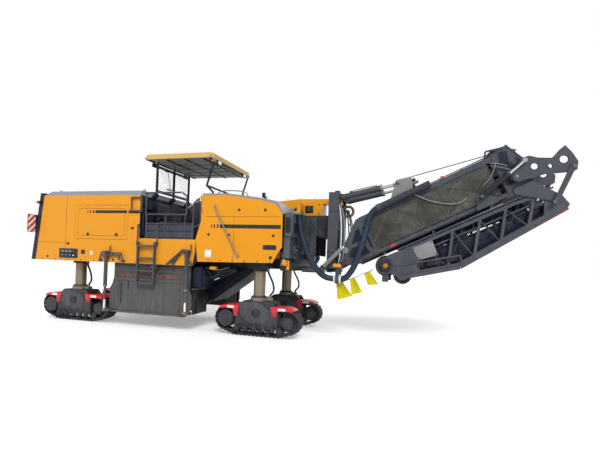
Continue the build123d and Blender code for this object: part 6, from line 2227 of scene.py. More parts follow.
    def recess_shade(self) -> None:
        """Navy patches that paint the shade of recesses, with raised rims and rails, on the head and heel
        plates.
        """
        shape = Shape("section_1_plate_relief").use(NAVY)
        head = (
            ((3.22, 0.34), (3.40, 0.34), (3.44, 0.58), (3.30, 0.62)),
            ((3.20, -0.02), (3.34, -0.02), (3.30, 0.24), (3.20, 0.24)),
            ((3.50, 0.20), (3.60, 0.10), (3.60, 0.30), (3.52, 0.44)),
            ((3.24, -0.16), (3.56, -0.16), (3.56, -0.08), (3.24, -0.08)))
        heel = (
            ((0.06, -0.03), (0.24, -0.12), (0.52, -0.12), (0.46, 0.10), (0.20, 0.12)),
            ((0.22, 0.18), (0.46, 0.16), (0.50, 0.44), (0.40, 0.40)),
            ((0.54, 0.00), (0.61, -0.10), (0.60, 0.40), (0.55, 0.44)))
        for _, side in SIDES:
            y = side * SECTION_HALF
            for outline in (*head, *heel):
                points = [on_section(*p) for p in outline]
                # Painted shade: a flat near-black navy patch for each recess.
                shape.use(NAVY).plate(points, y, 0.003, 0.0)
                shape.use(TRUSS).rails(points, y, 0.008, 8, closed=True)
            for edge in (
                    ((3.16, 0.62), (3.48, 0.655)), ((3.62, 0.33), (3.48, 0.655)),
                    ((3.17, -0.19), (3.17, 0.58))):
                shape.use(TRUSS).rails([on_section(*p) for p in edge], y, 0.014)
            for k in range(4):
                route = (
                    (3.10, 0.50 - 0.03 * k), (3.26, 0.42 - 0.04 * k), (3.44, 0.20 - 0.03 * k),
                    (3.56, -0.02 - 0.02 * k))
                line = [section_at(*p, side * (0.532 + 0.004 * k)) for p in route]
                shape.use(HOSE if k % 2 else PALE_GREY).tube(line, 0.009, 8, 5)
        shape.done("section_1", "dark_paint")

    def hoist_trim(self) -> None:
        """Pins and plates on the hoist's bridge, and the glands and pipes of its cylinders."""
        shape = Shape("hoist_bridge_trim").use(PALE_GREY)
        cap = boss((0.040, 0.0), (0.038, 0.010), (0.022, 0.016))
        for y in HOIST_Y:
            for way in WAYS:
                shape.use(PIN).turned((HOIST_HEAD.x, y + way * 0.0985, HOIST_HEAD.z), (0, way, 0), cap, 24)
            shape.use(PALE_GREY).box((2.70, y - 0.068, 3.10), (2.92, y + 0.068, 3.135), 0.006, tilt(-0.42))
            shape.use(DARK).box((2.74, y - 0.05, 3.135), (2.86, y + 0.05, 3.20), 0.010, tilt(-0.42))
        shape.done("section_1", "frame_grey")
        axis = (HOIST_HEAD - HOIST_FOOT).normalized()
        barrel, rod = Shape("hoist_barrel_trim").use(DARK), Shape("hoist_rod_trim").use(DARK)
        for y in HOIST_Y:
            foot = HOIST_FOOT + Vector((0, y, 0))
            barrel.use(PALE_GREY).turned(foot + axis * 0.755, axis, sleeve(0.034, 0.069, 0.045), 28)
            pipe = [
                foot + axis * along + Vector((0, 0, up))
                for along, up in ((0.14, 0.062), (0.15, 0.082), (0.68, 0.082), (0.69, 0.062))]
            barrel.use(PIN).tube(pipe, 0.009, 10, 6)
            block = foot + axis * 0.16
            barrel.use(CAST).box(
                block + Vector((-0.03, -0.022, 0.055)), block + Vector((0.03, 0.022, 0.085)), 0.004)
            rod.use(PIN).turned(foot + axis * 1.015, axis, sleeve(0.0325, 0.040, 0.022), 24)
        barrel.done("hoist_barrel", "frame_grey")
        rod.done("hoist_rod", "frame_grey")

    def pipes(self) -> None:
        """Hydraulic pipes beside the roof, a stay wire and two short hose bows, clipped at both ends."""
        shape = Shape("section_1_pipes").use(PALE_GREY)
        for y in (-0.46, -0.43, 0.46):
            shape.bar(section_at(1.35, 0.640, y), section_at(3.12, 0.640, y), 0.009, 8)
            for along in frange(1.45, 3.1, 0.4):
                x, z = on_section(along, 0.632)
                shape.box((x - 0.012, y - 0.016, z - 0.014), (x + 0.012, y + 0.016, z + 0.018), 0.003)
        shape.use(DARK).bar((2.62, -0.22, 3.225), (4.44, -0.22, 3.725), 0.008, 8)
        shape.ring((4.455, -0.22, 3.727), LEFT, 0.020, 0.005, 16, 6)
        shape.use(PALE_GREY).bar((4.46, -0.22, 3.70), (4.40, -0.22, 3.60), 0.012, 8)
        x, z = on_section(2.28, 0.632)
        shape.use(RED).box((x - 0.03, -0.475, z), (x + 0.03, -0.415, z + 0.035), 0.004)
        shape.use(PALE_GREY).tube(
            [
                (2.80, -0.500, 2.905), (2.86, -0.545, 2.86), (3.05, -0.556, 2.765), (3.22, -0.556, 2.715),
                (3.45, -0.556, 2.675), (3.62, -0.556, 2.685), (3.74, -0.552, 2.745), (3.78, -0.535, 2.80)],
            0.012, 10, 7)
        shape.use(CHROME).bar((2.79, -0.49, 2.915), (2.83, -0.525, 2.885), 0.015, 10)
        shape.use(PALE_GREY).tube(
            [
                (4.24, -0.51, 3.43), (4.235, -0.565, 3.40), (4.20, -0.575, 3.25), (4.14, -0.575, 3.12),
                (4.06, -0.560, 3.03), (4.04, -0.530, 3.00)],
            0.009, 10, 7)
        shape.done("section_1", "dark_paint")


# --------------------------------------------------------------------------- folded section
@dataclass
class SecondSection:
    """Panels, rails, tail gear, idlers, cleats, tyres and arm fittings of the folding section.

    Args:
        tail: Centre of the tail drum.
        wheel: Axle of the support wheels.
        lower: The lower chord, x and z; not used.
        upper: The upper chord.
        arm_y: Outer face of the fold arm.
        cylinder: Foot and head of the fold cylinders, x and z.
    """

    tail: Pair = (2.36, 1.49)
    wheel: Pair = (2.68, 1.325)
    lower: Outline = ((5.40, 2.64), (3.70, 1.54), (2.64, 1.29))
    upper: Outline = ((2.56, 1.73), (3.30, 2.08), (4.60, 2.70), (5.18, 2.90))
    arm_y: float = 0.6025
    cylinder: Outline = ((4.01, 2.79), (4.68, 3.42))

    def build(self) -> None:
        """Makes the frame's trim, the tyres and the fold arm's fittings."""
        for name, side in SIDES:
            self.side_frame(name, side)
        self.inside()
        self.bay_lines()
        self.cleats()
        self.tyres()
        self.arm()
        self.fold_link()
        self.fold_cylinders()

    def side_frame(self, name: str, side: float) -> None:
        """Panels, second rail, slotted lower box, tail loop and bolts of one side."""
        y = side * SECTION_HALF
        shape = Shape(f"section_2_trim_{name}").use(TRUSS)
        shape.rails([(x, z + 0.072) for x, z in self.upper], y - side * 0.012, 0.017, 12)
        for x, z in ((2.75, 1.82), (3.25, 2.056), (3.75, 2.295), (4.25, 2.533), (4.75, 2.752)):
            shape.box(
                (x - 0.010, y - side * 0.012 - 0.008, z + 0.02),
                (x + 0.010, y - side * 0.012 + 0.008, z + 0.075), 0.0)
        shape.use(PALE_GREY).plate(
            [(2.84, 1.845), (3.20, 2.005), (3.31, 1.73), (2.98, 1.62)], y + side * 0.006, 0.010, 0.003)
        shape.use(BOLT).bolts(
            at_y(y + side * 0.011, ((2.87, 1.83), (3.19, 1.97), (3.28, 1.745), (2.99, 1.645))),
            (0, side, 0), 0.010)
        shape.use(TRUSS)
        shape.rails([(2.56, 1.495), (3.70, 1.735), (3.74, 1.585), (2.60, 1.325)], y, 0.018, 12, closed=True)
        shape.use(SLATE)
        for x0, x1 in ((2.94, 3.06), (3.12, 3.38), (3.44, 3.66)):
            z = 1.29 + (x0 - 2.64) * 0.2358 + 0.115
            rise = (x1 - x0) * 0.225
            shape.plate(
                [(x0, z), (x1, z + rise), (x1 - 0.01, z + rise + 0.075), (x0 + 0.01, z + 0.075)],
                y - side * 0.004, 0.010, 0.003)
        loop = rounded_rect(-0.155, 0.155, -0.155, 0.155, 0.1549, 10)
        shape.use(TRUSS)
        path = [(self.tail[0] + u, self.tail[1] + v) for u, v in loop]
        shape.rails(path, y + side * 0.012, 0.012, 8, closed=True)
        tail_x, tail_z = self.tail
        hub = (tail_x, y + side * 0.010, tail_z)
        shape.use(DARK).turned((tail_x, y, tail_z), (0, side, 0), boss((0.115, 0.0), (0.115, 0.010)), 32)
        shape.use(HUB).turned(hub, (0, side, 0), boss((0.048, 0.0), (0.044, 0.022), (0.018, 0.032)), 28)
        shape.use(BOLT).bolts(circle(hub, 0.082, turns(6)), (0, side, 0), 0.009)
        for k in range(6):
            x = 3.95 + 0.24 * k
            shape.bolts([(x, y, 1.54 + (x - 3.70) * 0.647)], (0, side, 0), 0.010)
        shape.use(BROWN).plate(
            [(4.78, 2.180), (5.40, 2.585), (5.445, 2.690), (5.425, 2.700), (5.385, 2.610), (4.77, 2.205)],
            y + side * 0.005, 0.010, 0.002)
        shape.use(TRUSS)
        for brace in (
                ((3.00, 1.90), (3.50, 1.52)), ((3.56, 2.17), (3.94, 1.73)), ((4.02, 2.39), (4.38, 2.00)),
                ((4.44, 2.59), (4.82, 2.29))):
            shape.rails(brace, y - side * 0.035, 0.012, 10)
        shape.done("section_2", "dark_paint")

    def inside(self) -> None:
        """Idler rollers and cross braces between the side frames."""
        shape = Shape("section_2_idlers").use(CAST)
        for x, z in (
                (2.90, 1.375), (3.30, 1.470), (3.66, 1.560), (4.10, 1.825), (4.55, 2.115), (5.00, 2.405)):
            shape.use(CAST).bar((x + 0.01, -0.455, z - 0.030), (x + 0.01, 0.455, z - 0.030), 0.026, 16)
        shape.use(TRUSS)
        for (x0, z0), (x1, z1) in (
                ((3.30, 2.08), (3.94, 2.36)), ((3.94, 2.36), (4.60, 2.70)), ((4.60, 2.70), (5.10, 2.86))):
            shape.bar((x0, -0.45, z0), (x1, 0.45, z1), 0.014, 10)
            shape.bar((x0, 0.45, z0), (x1, -0.45, z1), 0.014, 10)
        shape.done("section_2", "dark_paint")

    def cleats(self) -> None:
        """Cleats in two rows along the belt."""
        cleats = Shape("section_2_cleats").use(RUBBER)
        for (x0, z0), (x1, z1) in (((3.69, 1.68), (5.29, 2.70)), ((2.66, 1.69), (3.69, 1.68))):
            length = math.hypot(x1 - x0, z1 - z0)
            slope = math.atan2(z1 - z0, x1 - x0)
            turn = tilt(-slope)
            for along in frange(0.12, length - 0.05, 0.20):
                x, z = x0 + along * math.cos(slope), z0 + along * math.sin(slope)
                for out in WAYS:
                    low, high = sorted((out * 0.03, out * 0.34))
                    cleats.box((x - 0.011, low, z - 0.002), (x + 0.011, high, z + 0.013), 0.0, turn)
        cleats.done("section_2", "belt_rubber")

    def bay_lines(self) -> None:
        """Rails, hoses and stays in the open bays of the folding section, with navy plates that are partly
        guards and partly painted shade inside the bays.
        """
        shape = Shape("section_2_bays").use(TRUSS)
        lines = ((3.02, 1.80, 5.00, 2.74), (3.02, 1.72, 5.04, 2.66), (3.40, 1.80, 5.08, 2.59))
        for side in WAYS:
            for k, (x0, z0, x1, z1) in enumerate(lines):
                y = side * (0.452 - 0.035 * k)
                shape.use(TRUSS if k != 1 else DARK).bar((x0, y, z0), (x1, y, z1), 0.017 - 0.002 * k, 12)
            for k, x in enumerate(frange(3.10, 4.90, 0.155)):
                low = 1.655 + max(0.0, x - 3.62) * 0.640
                high = 1.985 + (x - 3.10) * 0.470
                lean = 0.17 if k % 2 else -0.13
                shape.use(DARK if k % 3 else TRUSS).bar(
                    (x, side * 0.425, low + 0.02), (x + lean, side * 0.425, high - 0.02 + lean * 0.4),
                    0.0095, 8)
            # Near-black navy plate over the lower half of each bay, partly guarding it and partly painted
            # shade inside the bay.
            bay_shade_plate = [
                (3.04, 1.60), (3.66, 1.62), (5.10, 2.575), (5.10, 2.700), (4.30, 2.340), (3.64, 1.960),
                (3.04, 1.860)]
            shape.use(NAVY).plate(bay_shade_plate, side * 0.395, 0.006, 0.001)
            shape.use(SLATE).plate(
                [(3.52, 2.085), (3.78, 2.205), (3.86, 2.08), (3.60, 1.95)], side * 0.40, 0.008, 0.002)
            shape.plate([(4.46, 2.50), (4.80, 2.66), (4.84, 2.50), (4.60, 2.36)], side * 0.40, 0.008, 0.002)
            for k in range(6):
                y = side * (0.37 - 0.03 * k)
                rise = 0.028 * k - 0.05
                shape.use(HOSE).tube(
                    [
                        (3.06, y, 1.86 + rise), (3.50, y, 2.03 + rise), (3.90, y, 2.26 + rise * 0.5),
                        (4.40, y, 2.47 + rise), (4.90, y, 2.72 + rise * 0.6), (5.06, y, 2.77)],
                    0.013, 8, 5)
            shape.use(SLATE).plate(
                [(2.60, 1.778), (5.02, 2.868), (4.98, 2.935), (2.58, 1.826)], side * 0.483, 0.008, 0.002)
        # Painted shade: a near-black navy sheet across the bays' floor.
        shape.use(NAVY).box((3.06, -0.392, 1.705), (3.62, 0.392, 1.712), 0.002)
        shape.done("section_2", "dark_paint")

    def tyres(self) -> None:
        """Solid tyres with tread grooves on yellow hubs."""
        x, z = self.wheel
        shape = Shape("support_tyres").use(RUBBER)
        for side in WAYS:
            y = side * 0.42
            profile = [(0.105, -0.0395), (0.140, -0.0399), (0.166, -0.034), (0.174, -0.022)]
            for k in range(3):
                w = -0.016 + 0.016 * k
                profile += [
                    (0.1745, w - 0.004), (0.168, w - 0.003), (0.168, w + 0.003), (0.1745, w + 0.004)]
            profile += [(0.174, 0.022), (0.166, 0.034), (0.140, 0.0399), (0.105, 0.0395)]
            shape.use(RUBBER).turned((x, y, z), LEFT, profile, 48)
            shape.use(YELLOW).turned(
                (x, y, z), LEFT,
                (
                    (0.022, -0.036), (0.045, -0.036), (0.055, -0.024), (0.094, -0.026), (0.1055, -0.034),
                    (0.1055, 0.034), (0.094, 0.026), (0.055, 0.024), (0.045, 0.036), (0.022, 0.036)),
                40)
            for face in WAYS:
                nuts = circle((x, y + face * 0.0225, z), 0.074, turns(5))
                shape.use(BOLT).bolts(nuts, (0, face, 0), 0.008, 0.008)
        piece = shape.done("support_wheel", "belt_rubber")
        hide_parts("support_wheels")

    def arm(self) -> None:
        """Rims, pins and a cross tie on the fold arm."""
        shape = Shape("fold_arm_trim").use(TRUSS)
        for side in WAYS:
            y = side * self.arm_y
            for x, z, r in ((5.30, 3.44, 0.065), (4.85, 3.33, 0.055), (5.08, 3.33, 0.045)):
                shape.use(TRUSS).ring((x, y, z), LEFT, r + 0.006, 0.006, 32, 8)
            cap = boss((0.055, 0.0), (0.051, 0.014), (0.024, 0.022))
            shape.use(PIN).turned((4.57, y, 3.13), (0, side, 0), cap, 28)
            shape.use(TRUSS).rails(((4.66, 3.085), (5.00, 3.205), (5.40, 3.235)), y, 0.006, 8)
            shape.use(BOLT).bolts(
                at_y(y, ((4.78, 3.47), (4.92, 3.44), (5.16, 3.46), (5.24, 3.56), (5.44, 3.36))),
                (0, side, 0), 0.010, 0.009)
        shape.use(TRUSS).bar((5.10, -0.58, 3.42), (5.10, 0.58, 3.42), 0.018, 12)
        shape.done("fold_arm", "dark_paint")

    def fold_link(self) -> None:
        """Pins and a rib on the link between the arm and the folding section."""
        link = Shape("fold_link_trim").use(PIN)
        for side in WAYS:
            y = side * 0.6335
            link.turned((5.455, y, 3.31), (0, side, 0), boss((0.040, 0.0), (0.037, 0.012), top=0.014), 24)
            link.turned((5.18, y, 2.70), (0, side, 0), boss((0.036, 0.0), (0.033, 0.012), top=0.014), 24)
            link.use(TRUSS).bar((5.42, y, 3.22), (5.21, y, 2.78), 0.010, 10)
            link.use(PIN)
        link.done("fold_link", "frame_grey")

    def fold_cylinders(self) -> None:
        """Glands, pins and pipes of the fold cylinders."""
        (foot_x, foot_z), (head_x, head_z) = self.cylinder
        axis = Vector((head_x - foot_x, 0, head_z - foot_z)).normalized()
        cylinders = Shape("fold_cylinder_caps").use(PALE_GREY)
        for side in WAYS:
            foot, pin = Vector((foot_x, side * 0.66, foot_z)), Vector((0, side * 0.046, 0))
            cylinders.use(TRUSS).turned(foot + axis * 0.560, axis, sleeve(0.026, 0.052, 0.040), 24)
            cylinders.use(PIN).turned(
                foot + pin, (0, side, 0), boss((0.032, 0.0), (0.030, 0.010), top=0.012), 20)
            lift = Vector((-axis.z, 0, axis.x)) * 0.056
            cylinders.tube(
                [
                    foot + axis * 0.12 + lift * 0.7, foot + axis * 0.13 + lift, foot + axis * 0.50 + lift,
                    foot + axis * 0.51 + lift * 0.7],
                0.007, 8, 6)
        cylinders.done("fold_barrel", "dark_paint")


# --------------------------------------------------------------------------- mast, hoses and flags
@dataclass
class MastGear:
    """Suction hoses with their coupling, mast fittings, flags and the hopper's canvas.

    Args:
        bore: Outside diameter of the suction hose.
        clamp: Middle of its coupling.
        lower: Control points from the front cabinet to the coupling.
        upper: Control points from the coupling to the duct.
        reel: x and z of the hose reel.
        cloths: Corners of each flag, x and z: top rear, top front, low front, low rear.
    """

    bore: float = 0.116
    clamp: Point = (1.48, -0.79, 1.20)
    lower: tuple[Point, ...] = (
        (0.715, -0.930, 2.410), (0.715, -0.930, 2.290), (0.755, -0.930, 2.080), (0.825, -0.925, 1.870),
        (0.915, -0.910, 1.640), (1.040, -0.885, 1.425), (1.180, -0.845, 1.260), (1.330, -0.790, 1.200),
        (1.470, -0.790, 1.200))
    upper: tuple[Point, ...] = (
        (1.490, -0.790, 1.200), (1.620, -0.790, 1.200), (1.740, -0.760, 1.360), (1.820, -0.730, 1.540),
        (1.885, -0.700, 1.775), (1.935, -0.660, 1.965), (1.985, -0.620, 2.200))
    reel: Pair = (1.60, 2.53)
    cloths: tuple[Outline, ...] = (
        ((1.440, 1.136), (1.580, 1.136), (1.775, 0.890), (1.480, 0.795)),
        ((1.705, 1.198), (1.805, 1.242), (1.955, 0.970), (1.755, 0.910)),
        ((1.975, 1.320), (2.085, 1.369), (2.255, 1.135), (2.060, 1.105)))

    def build(self) -> None:
        """Makes the hoses first, then what hangs on the mast."""
        self.hoses()
        self.coupling()
        self.fittings()
        self.slewing_gear()
        self.flags()
        self.hopper_canvas()
        self.beam_trim()

    def hoses(self) -> None:
        """The two suction hoses, each swept along its route and left on no body."""
        upper = [
            *self.upper, *(section_at(along, FirstSection.duct_up, DUCT_Y) for along in (0.845, 1.000))]
        for name, route, bodies, start, end, node in (
                (
                    "suction_tube_lower", self.lower, ("chassis", "mast"), self.lower[0], self.lower[-1],
                    "suction_hose_lower"),
                (
                    "suction_tube_upper", upper, ("mast", "section_1"), upper[0], upper[-1],
                    "suction_hose_upper")):
            shape = Shape(name).use(HOSE).tube(route, self.bore / 2, 28, 16, ribs=0.0022)
            piece = shape.done(None, "hose_rubber", 1.2)
            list(bodies)
            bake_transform(piece)
            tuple(start)
            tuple(end)
            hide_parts(node)

    def coupling(self) -> None:
        """White clamp rings, lever and the yellow box above them."""
        x, y, z = self.clamp
        shape = Shape("hose_coupling").use(WHITE)
        for dx, r in ((-0.066, 0.066), (-0.045, 0.091), (0.045, 0.091), (0.066, 0.066)):
            shape.turned((x + dx - 0.008, y, z), FORWARD, sleeve(0.0585, r, 0.016), 36)
        shape.use(PIN).box((x - 0.03, y - 0.105, z - 0.02), (x + 0.03, y - 0.088, z + 0.02), 0.004)
        shape.tube(
            [
                (x - 0.02, y - 0.10, z + 0.01), (x + 0.02, y - 0.125, z + 0.03),
                (x + 0.05, y - 0.12, z + 0.08)],
            0.007, 10, 5)
        shape.use(YELLOW).box((x - 0.105, y + 0.02, z + 0.225), (x + 0.045, y + 0.13, z + 0.295), 0.01)
        shape.use(DARK).bar((x - 0.02, y + 0.13, z + 0.25), (x - 0.02, y + 0.285, z + 0.25), 0.018, 12)
        shape.done("mast", "dark_paint")

    def fittings(self) -> None:
        """Hoses, a reel, a slanted cylinder and bolts on the mast."""
        shape = Shape("mast_fittings").use(TRUSS)
        for side in WAYS:
            y = side * 0.505
            for z in (1.52, 1.95, 2.40, 2.80):
                shape.use(BOLT).bolts([(1.22, y, z), (1.36, y, z)], (0, side, 0), 0.012, 0.010)
            shape.use(TRUSS).box((1.20, y - side * 0.001, 1.72), (1.38, y + side * 0.014, 1.78), 0.003)
            shape.box((1.20, y - side * 0.001, 2.55), (1.38, y + side * 0.014, 2.61), 0.003)
            pin = (LUFF_PIN[0], side * 0.400, LUFF_PIN[1])
            shape.use(PIN).turned(pin, (0, -side, 0), boss((0.055, 0.0), (0.052, 0.010), top=0.012), 28)
        for side, runs in (
                (
                    -1,
                    (
                        (HOSE, 0.0, 0.015), (WHITE, 0.03, 0.012), (HOSE, 0.06, 0.015),
                        (PALE_GREY, 0.09, 0.012))),
                (1, ((HOSE, 0.0, 0.014), (HOSE, 0.05, 0.014), (PALE_GREY, 0.085, 0.014)))):
            for finish, dx, radius in runs:
                route = (
                    (1.395 + dx * 0.3, 0.50, 2.70), (1.43 + dx, 0.560, 2.50), (1.46 + dx, 0.590, 2.10),
                    (1.455 + dx, 0.592, 1.80), (1.44 + dx, 0.590, 1.56), (1.40 + dx * 0.4, 0.50, 1.46))
                shape.use(finish).tube([(x, side * y, z) for x, y, z in route], radius, 10, 7)
        reel_x, reel_z = self.reel
        shape.use(BROWN).ring((reel_x, -0.535, reel_z), LEFT, 0.112, 0.014, 36, 8)
        shape.use(DARK).ring((reel_x, -0.545, reel_z), LEFT, 0.086, 0.012, 36, 8)
        foot, gland, eye = (1.16, -0.612, 1.43), (1.50, -0.612, 1.79), (1.14, -0.612, 1.41)
        shape.use(PALE_GREY).bar(foot, gland, 0.042, 24)
        shape.use(CHROME).bar(gland, (1.55, -0.612, 1.843), 0.022, 16)
        shape.use(TRUSS).ring(eye, LEFT, 0.036, 0.018, 24, 8)
        shape.bar((1.20, -0.500, 1.43), eye, 0.024, 16)
        shape.bar((1.36, -0.500, 1.66), (1.36, -0.590, 1.66), 0.030, 16)
        shape.use(DARK).bar((reel_x, -0.50, reel_z), (reel_x, -0.555, reel_z), 0.030, 20)
        shape.use(TRUSS).bar((1.37, -0.49, 2.56), (1.61, -0.515, 2.53), 0.014, 10)
        shape.use(TRUSS).bar((1.19, -0.10, 2.94), (1.19, 0.10, 2.94), 0.016, 12)
        shape.turned((1.29, 0.0, 2.931), UP, sleeve(0.0605, 0.105, 0.018), 36)
        shape.use(DARK)
        for y in (-0.30, 0.30):
            shape.box((1.28, y - 0.05, 2.931), (1.38, y + 0.05, 2.985), 0.008)
        shape.done("mast", "dark_paint")

    def slewing_gear(self) -> None:
        """The two cylinders that turn the mast."""
        head = Shape("slewing_gear").use(CAST)
        for side in WAYS:
            head.use(TRUSS).bar((0.66, side * 0.40, 1.340), (1.12, side * 0.36, 1.340), 0.046, 24)
            head.use(CHROME).bar((1.12, side * 0.36, 1.340), (1.17, side * 0.355, 1.340), 0.026, 18)
            gland = (1.105, side * 0.3615, 1.340)
            head.use(PALE_GREY).turned(gland, (1, -side * 0.08, 0), sleeve(0.028, 0.052, 0.03), 24)
        head.done("chassis", "frame_grey")

    def flags(self) -> None:
        """Three lemon cloths hanging in ripples from a bent wire rail."""
        level = -0.711
        wire = Shape("flag_rail").use(PIN).rails(((1.44, 1.14), (1.56, 1.14), (2.12, 1.39)), level, 0.006)
        wire.ring((2.124, level, 1.402), LEFT, 0.012, 0.003, 14, 6)
        ties = []
        for k, (top0, top1, low1, low0) in enumerate(self.cloths):

            def place(
                    s: float, t: float, a: Point = top0, b: Point = top1, c: Point = low1, d: Point = low0,
                    k: int = k) -> Point:
                """A point of the cloth: t runs down it, and the ripples grow towards its free edge."""
                x = (a[0] * (1 - s) + b[0] * s) * (1 - t) + (d[0] * (1 - s) + c[0] * s) * t
                z = (a[1] * (1 - s) + b[1] * s) * (1 - t) + (d[1] * (1 - s) + c[1] * s) * t
                ripple = 0.0055 * t * math.sin(9.0 * s + 2.2 * k + 3.0 * t) + 0.002 * t * math.sin(21 * s)
                return x, level + ripple, z

            wide = round(max(math.dist(top0, top1), math.dist(low0, low1)), 3)
            drop = round(max(math.dist(top0, low0), math.dist(top1, low1)), 3)
            piece = cloth(f"marker_flag_{k + 1}", place, (30, 36), LEMON, (wide, drop))
            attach(piece, "mast")
            ties.append(piece)
        frame = wire.done("mast", "frame_grey")
        for piece in (*ties, frame):
            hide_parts("marker_flags")

    def hopper_canvas(self) -> None:
        """Canvas skirts hung round the transfer hopper."""
        for name, side in SIDES:
            def place(s: float, t: float, side: float = side) -> Point:
                """A point of the skirt; t runs down it."""
                x = 0.775 + 0.615 * s
                top = 2.476 if x < 1.18 else 2.476 - (x - 1.18) * 1.42
                low = 2.10 - 0.311 * (x - 0.77)
                z = top * (1 - t) + low * t
                fold = 0.0032 * math.sin(19 * s + 4 * t) * min(1.0, 4 * t) + 0.0015 * math.sin(41 * s)
                return x, side * (0.3062 + fold), z

            piece = cloth(f"hopper_skirt_{name}", place, (60, 36), CHUTE_CANVAS, (0.615, 0.47))
            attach(piece, "chassis")
            self.feed_shade_sheet(name, side)

    def feed_shade_sheet(self, name: str, side: float) -> None:
        """A dark canvas sheet hung beside the feed conveyor's upper end, which paints the shade in the gap
        between the posts and the slewing mast.
        """
        rear, front, top, low = 0.455, 0.955, 2.440, 1.640

        def place(s: float, t: float) -> Point:
            """A point of the skirt; t runs down it."""
            ripple = (0.010 * math.sin(15 * s + 3 * t) + 0.005 * math.sin(34 * s)) * min(1.0, 3 * t)
            hem = 0.020 * math.sin(math.pi * s)
            return rear + (front - rear) * s, side * (0.500 + ripple), top + (low - top) * t + hem * t

        piece = cloth(f"feed_skirt_{name}", place, (60, 60), CHUTE_CANVAS, (front - rear, top - low))
        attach(piece, "chassis")
        rail = Shape(f"feed_skirt_rail_{name}").use(TRUSS)
        rail.bar(
            (rear - 0.01, side * 0.500, top + 0.006), (front + 0.01, side * 0.500, top + 0.006), 0.012, 12)
        for x in (0.505, 0.565):
            rail.bar((x, side * 0.470, top + 0.006), (x, side * 0.505, top + 0.006), 0.008, 8)
        rail.done("chassis", "frame_grey")

    def beam_trim(self) -> None:
        """A lamp, bolts and dark insets on the yellow beam and its box."""
        shape = Shape("mast_beam_trim").use(DARK)
        for side in WAYS:
            shape.use(DARK).box(
                (0.62, side * 0.200 - 0.003, 2.54), (0.80, side * 0.200 + 0.003, 2.70), 0.003)
            shape.use(BOLT).bolts(
                [(x, side * 0.200, z) for x in (0.56, 0.93) for z in (2.53, 2.72)], (0, side, 0), 0.011)
            shape.use(CAST).bar((0.71, side * 0.200, 2.62), (0.71, side * 0.228, 2.62), 0.055, 24)
            shape.use(BOLT).bolts([(x, side * 0.446, 2.70) for x in (0.54, 0.58)], UP, 0.010)
            shape.use(PALE_GREY).bar((0.64, side * 0.34, 2.40), (0.64, side * 0.34, 2.55), 0.030, 16)
        shape.use(BOLT).bolts([(x, y, 2.8497) for x in (0.2, 0.5, 0.8) for y in (-0.10, 0.10)], UP, 0.011)
        shape.done("chassis", "yellow_paint")


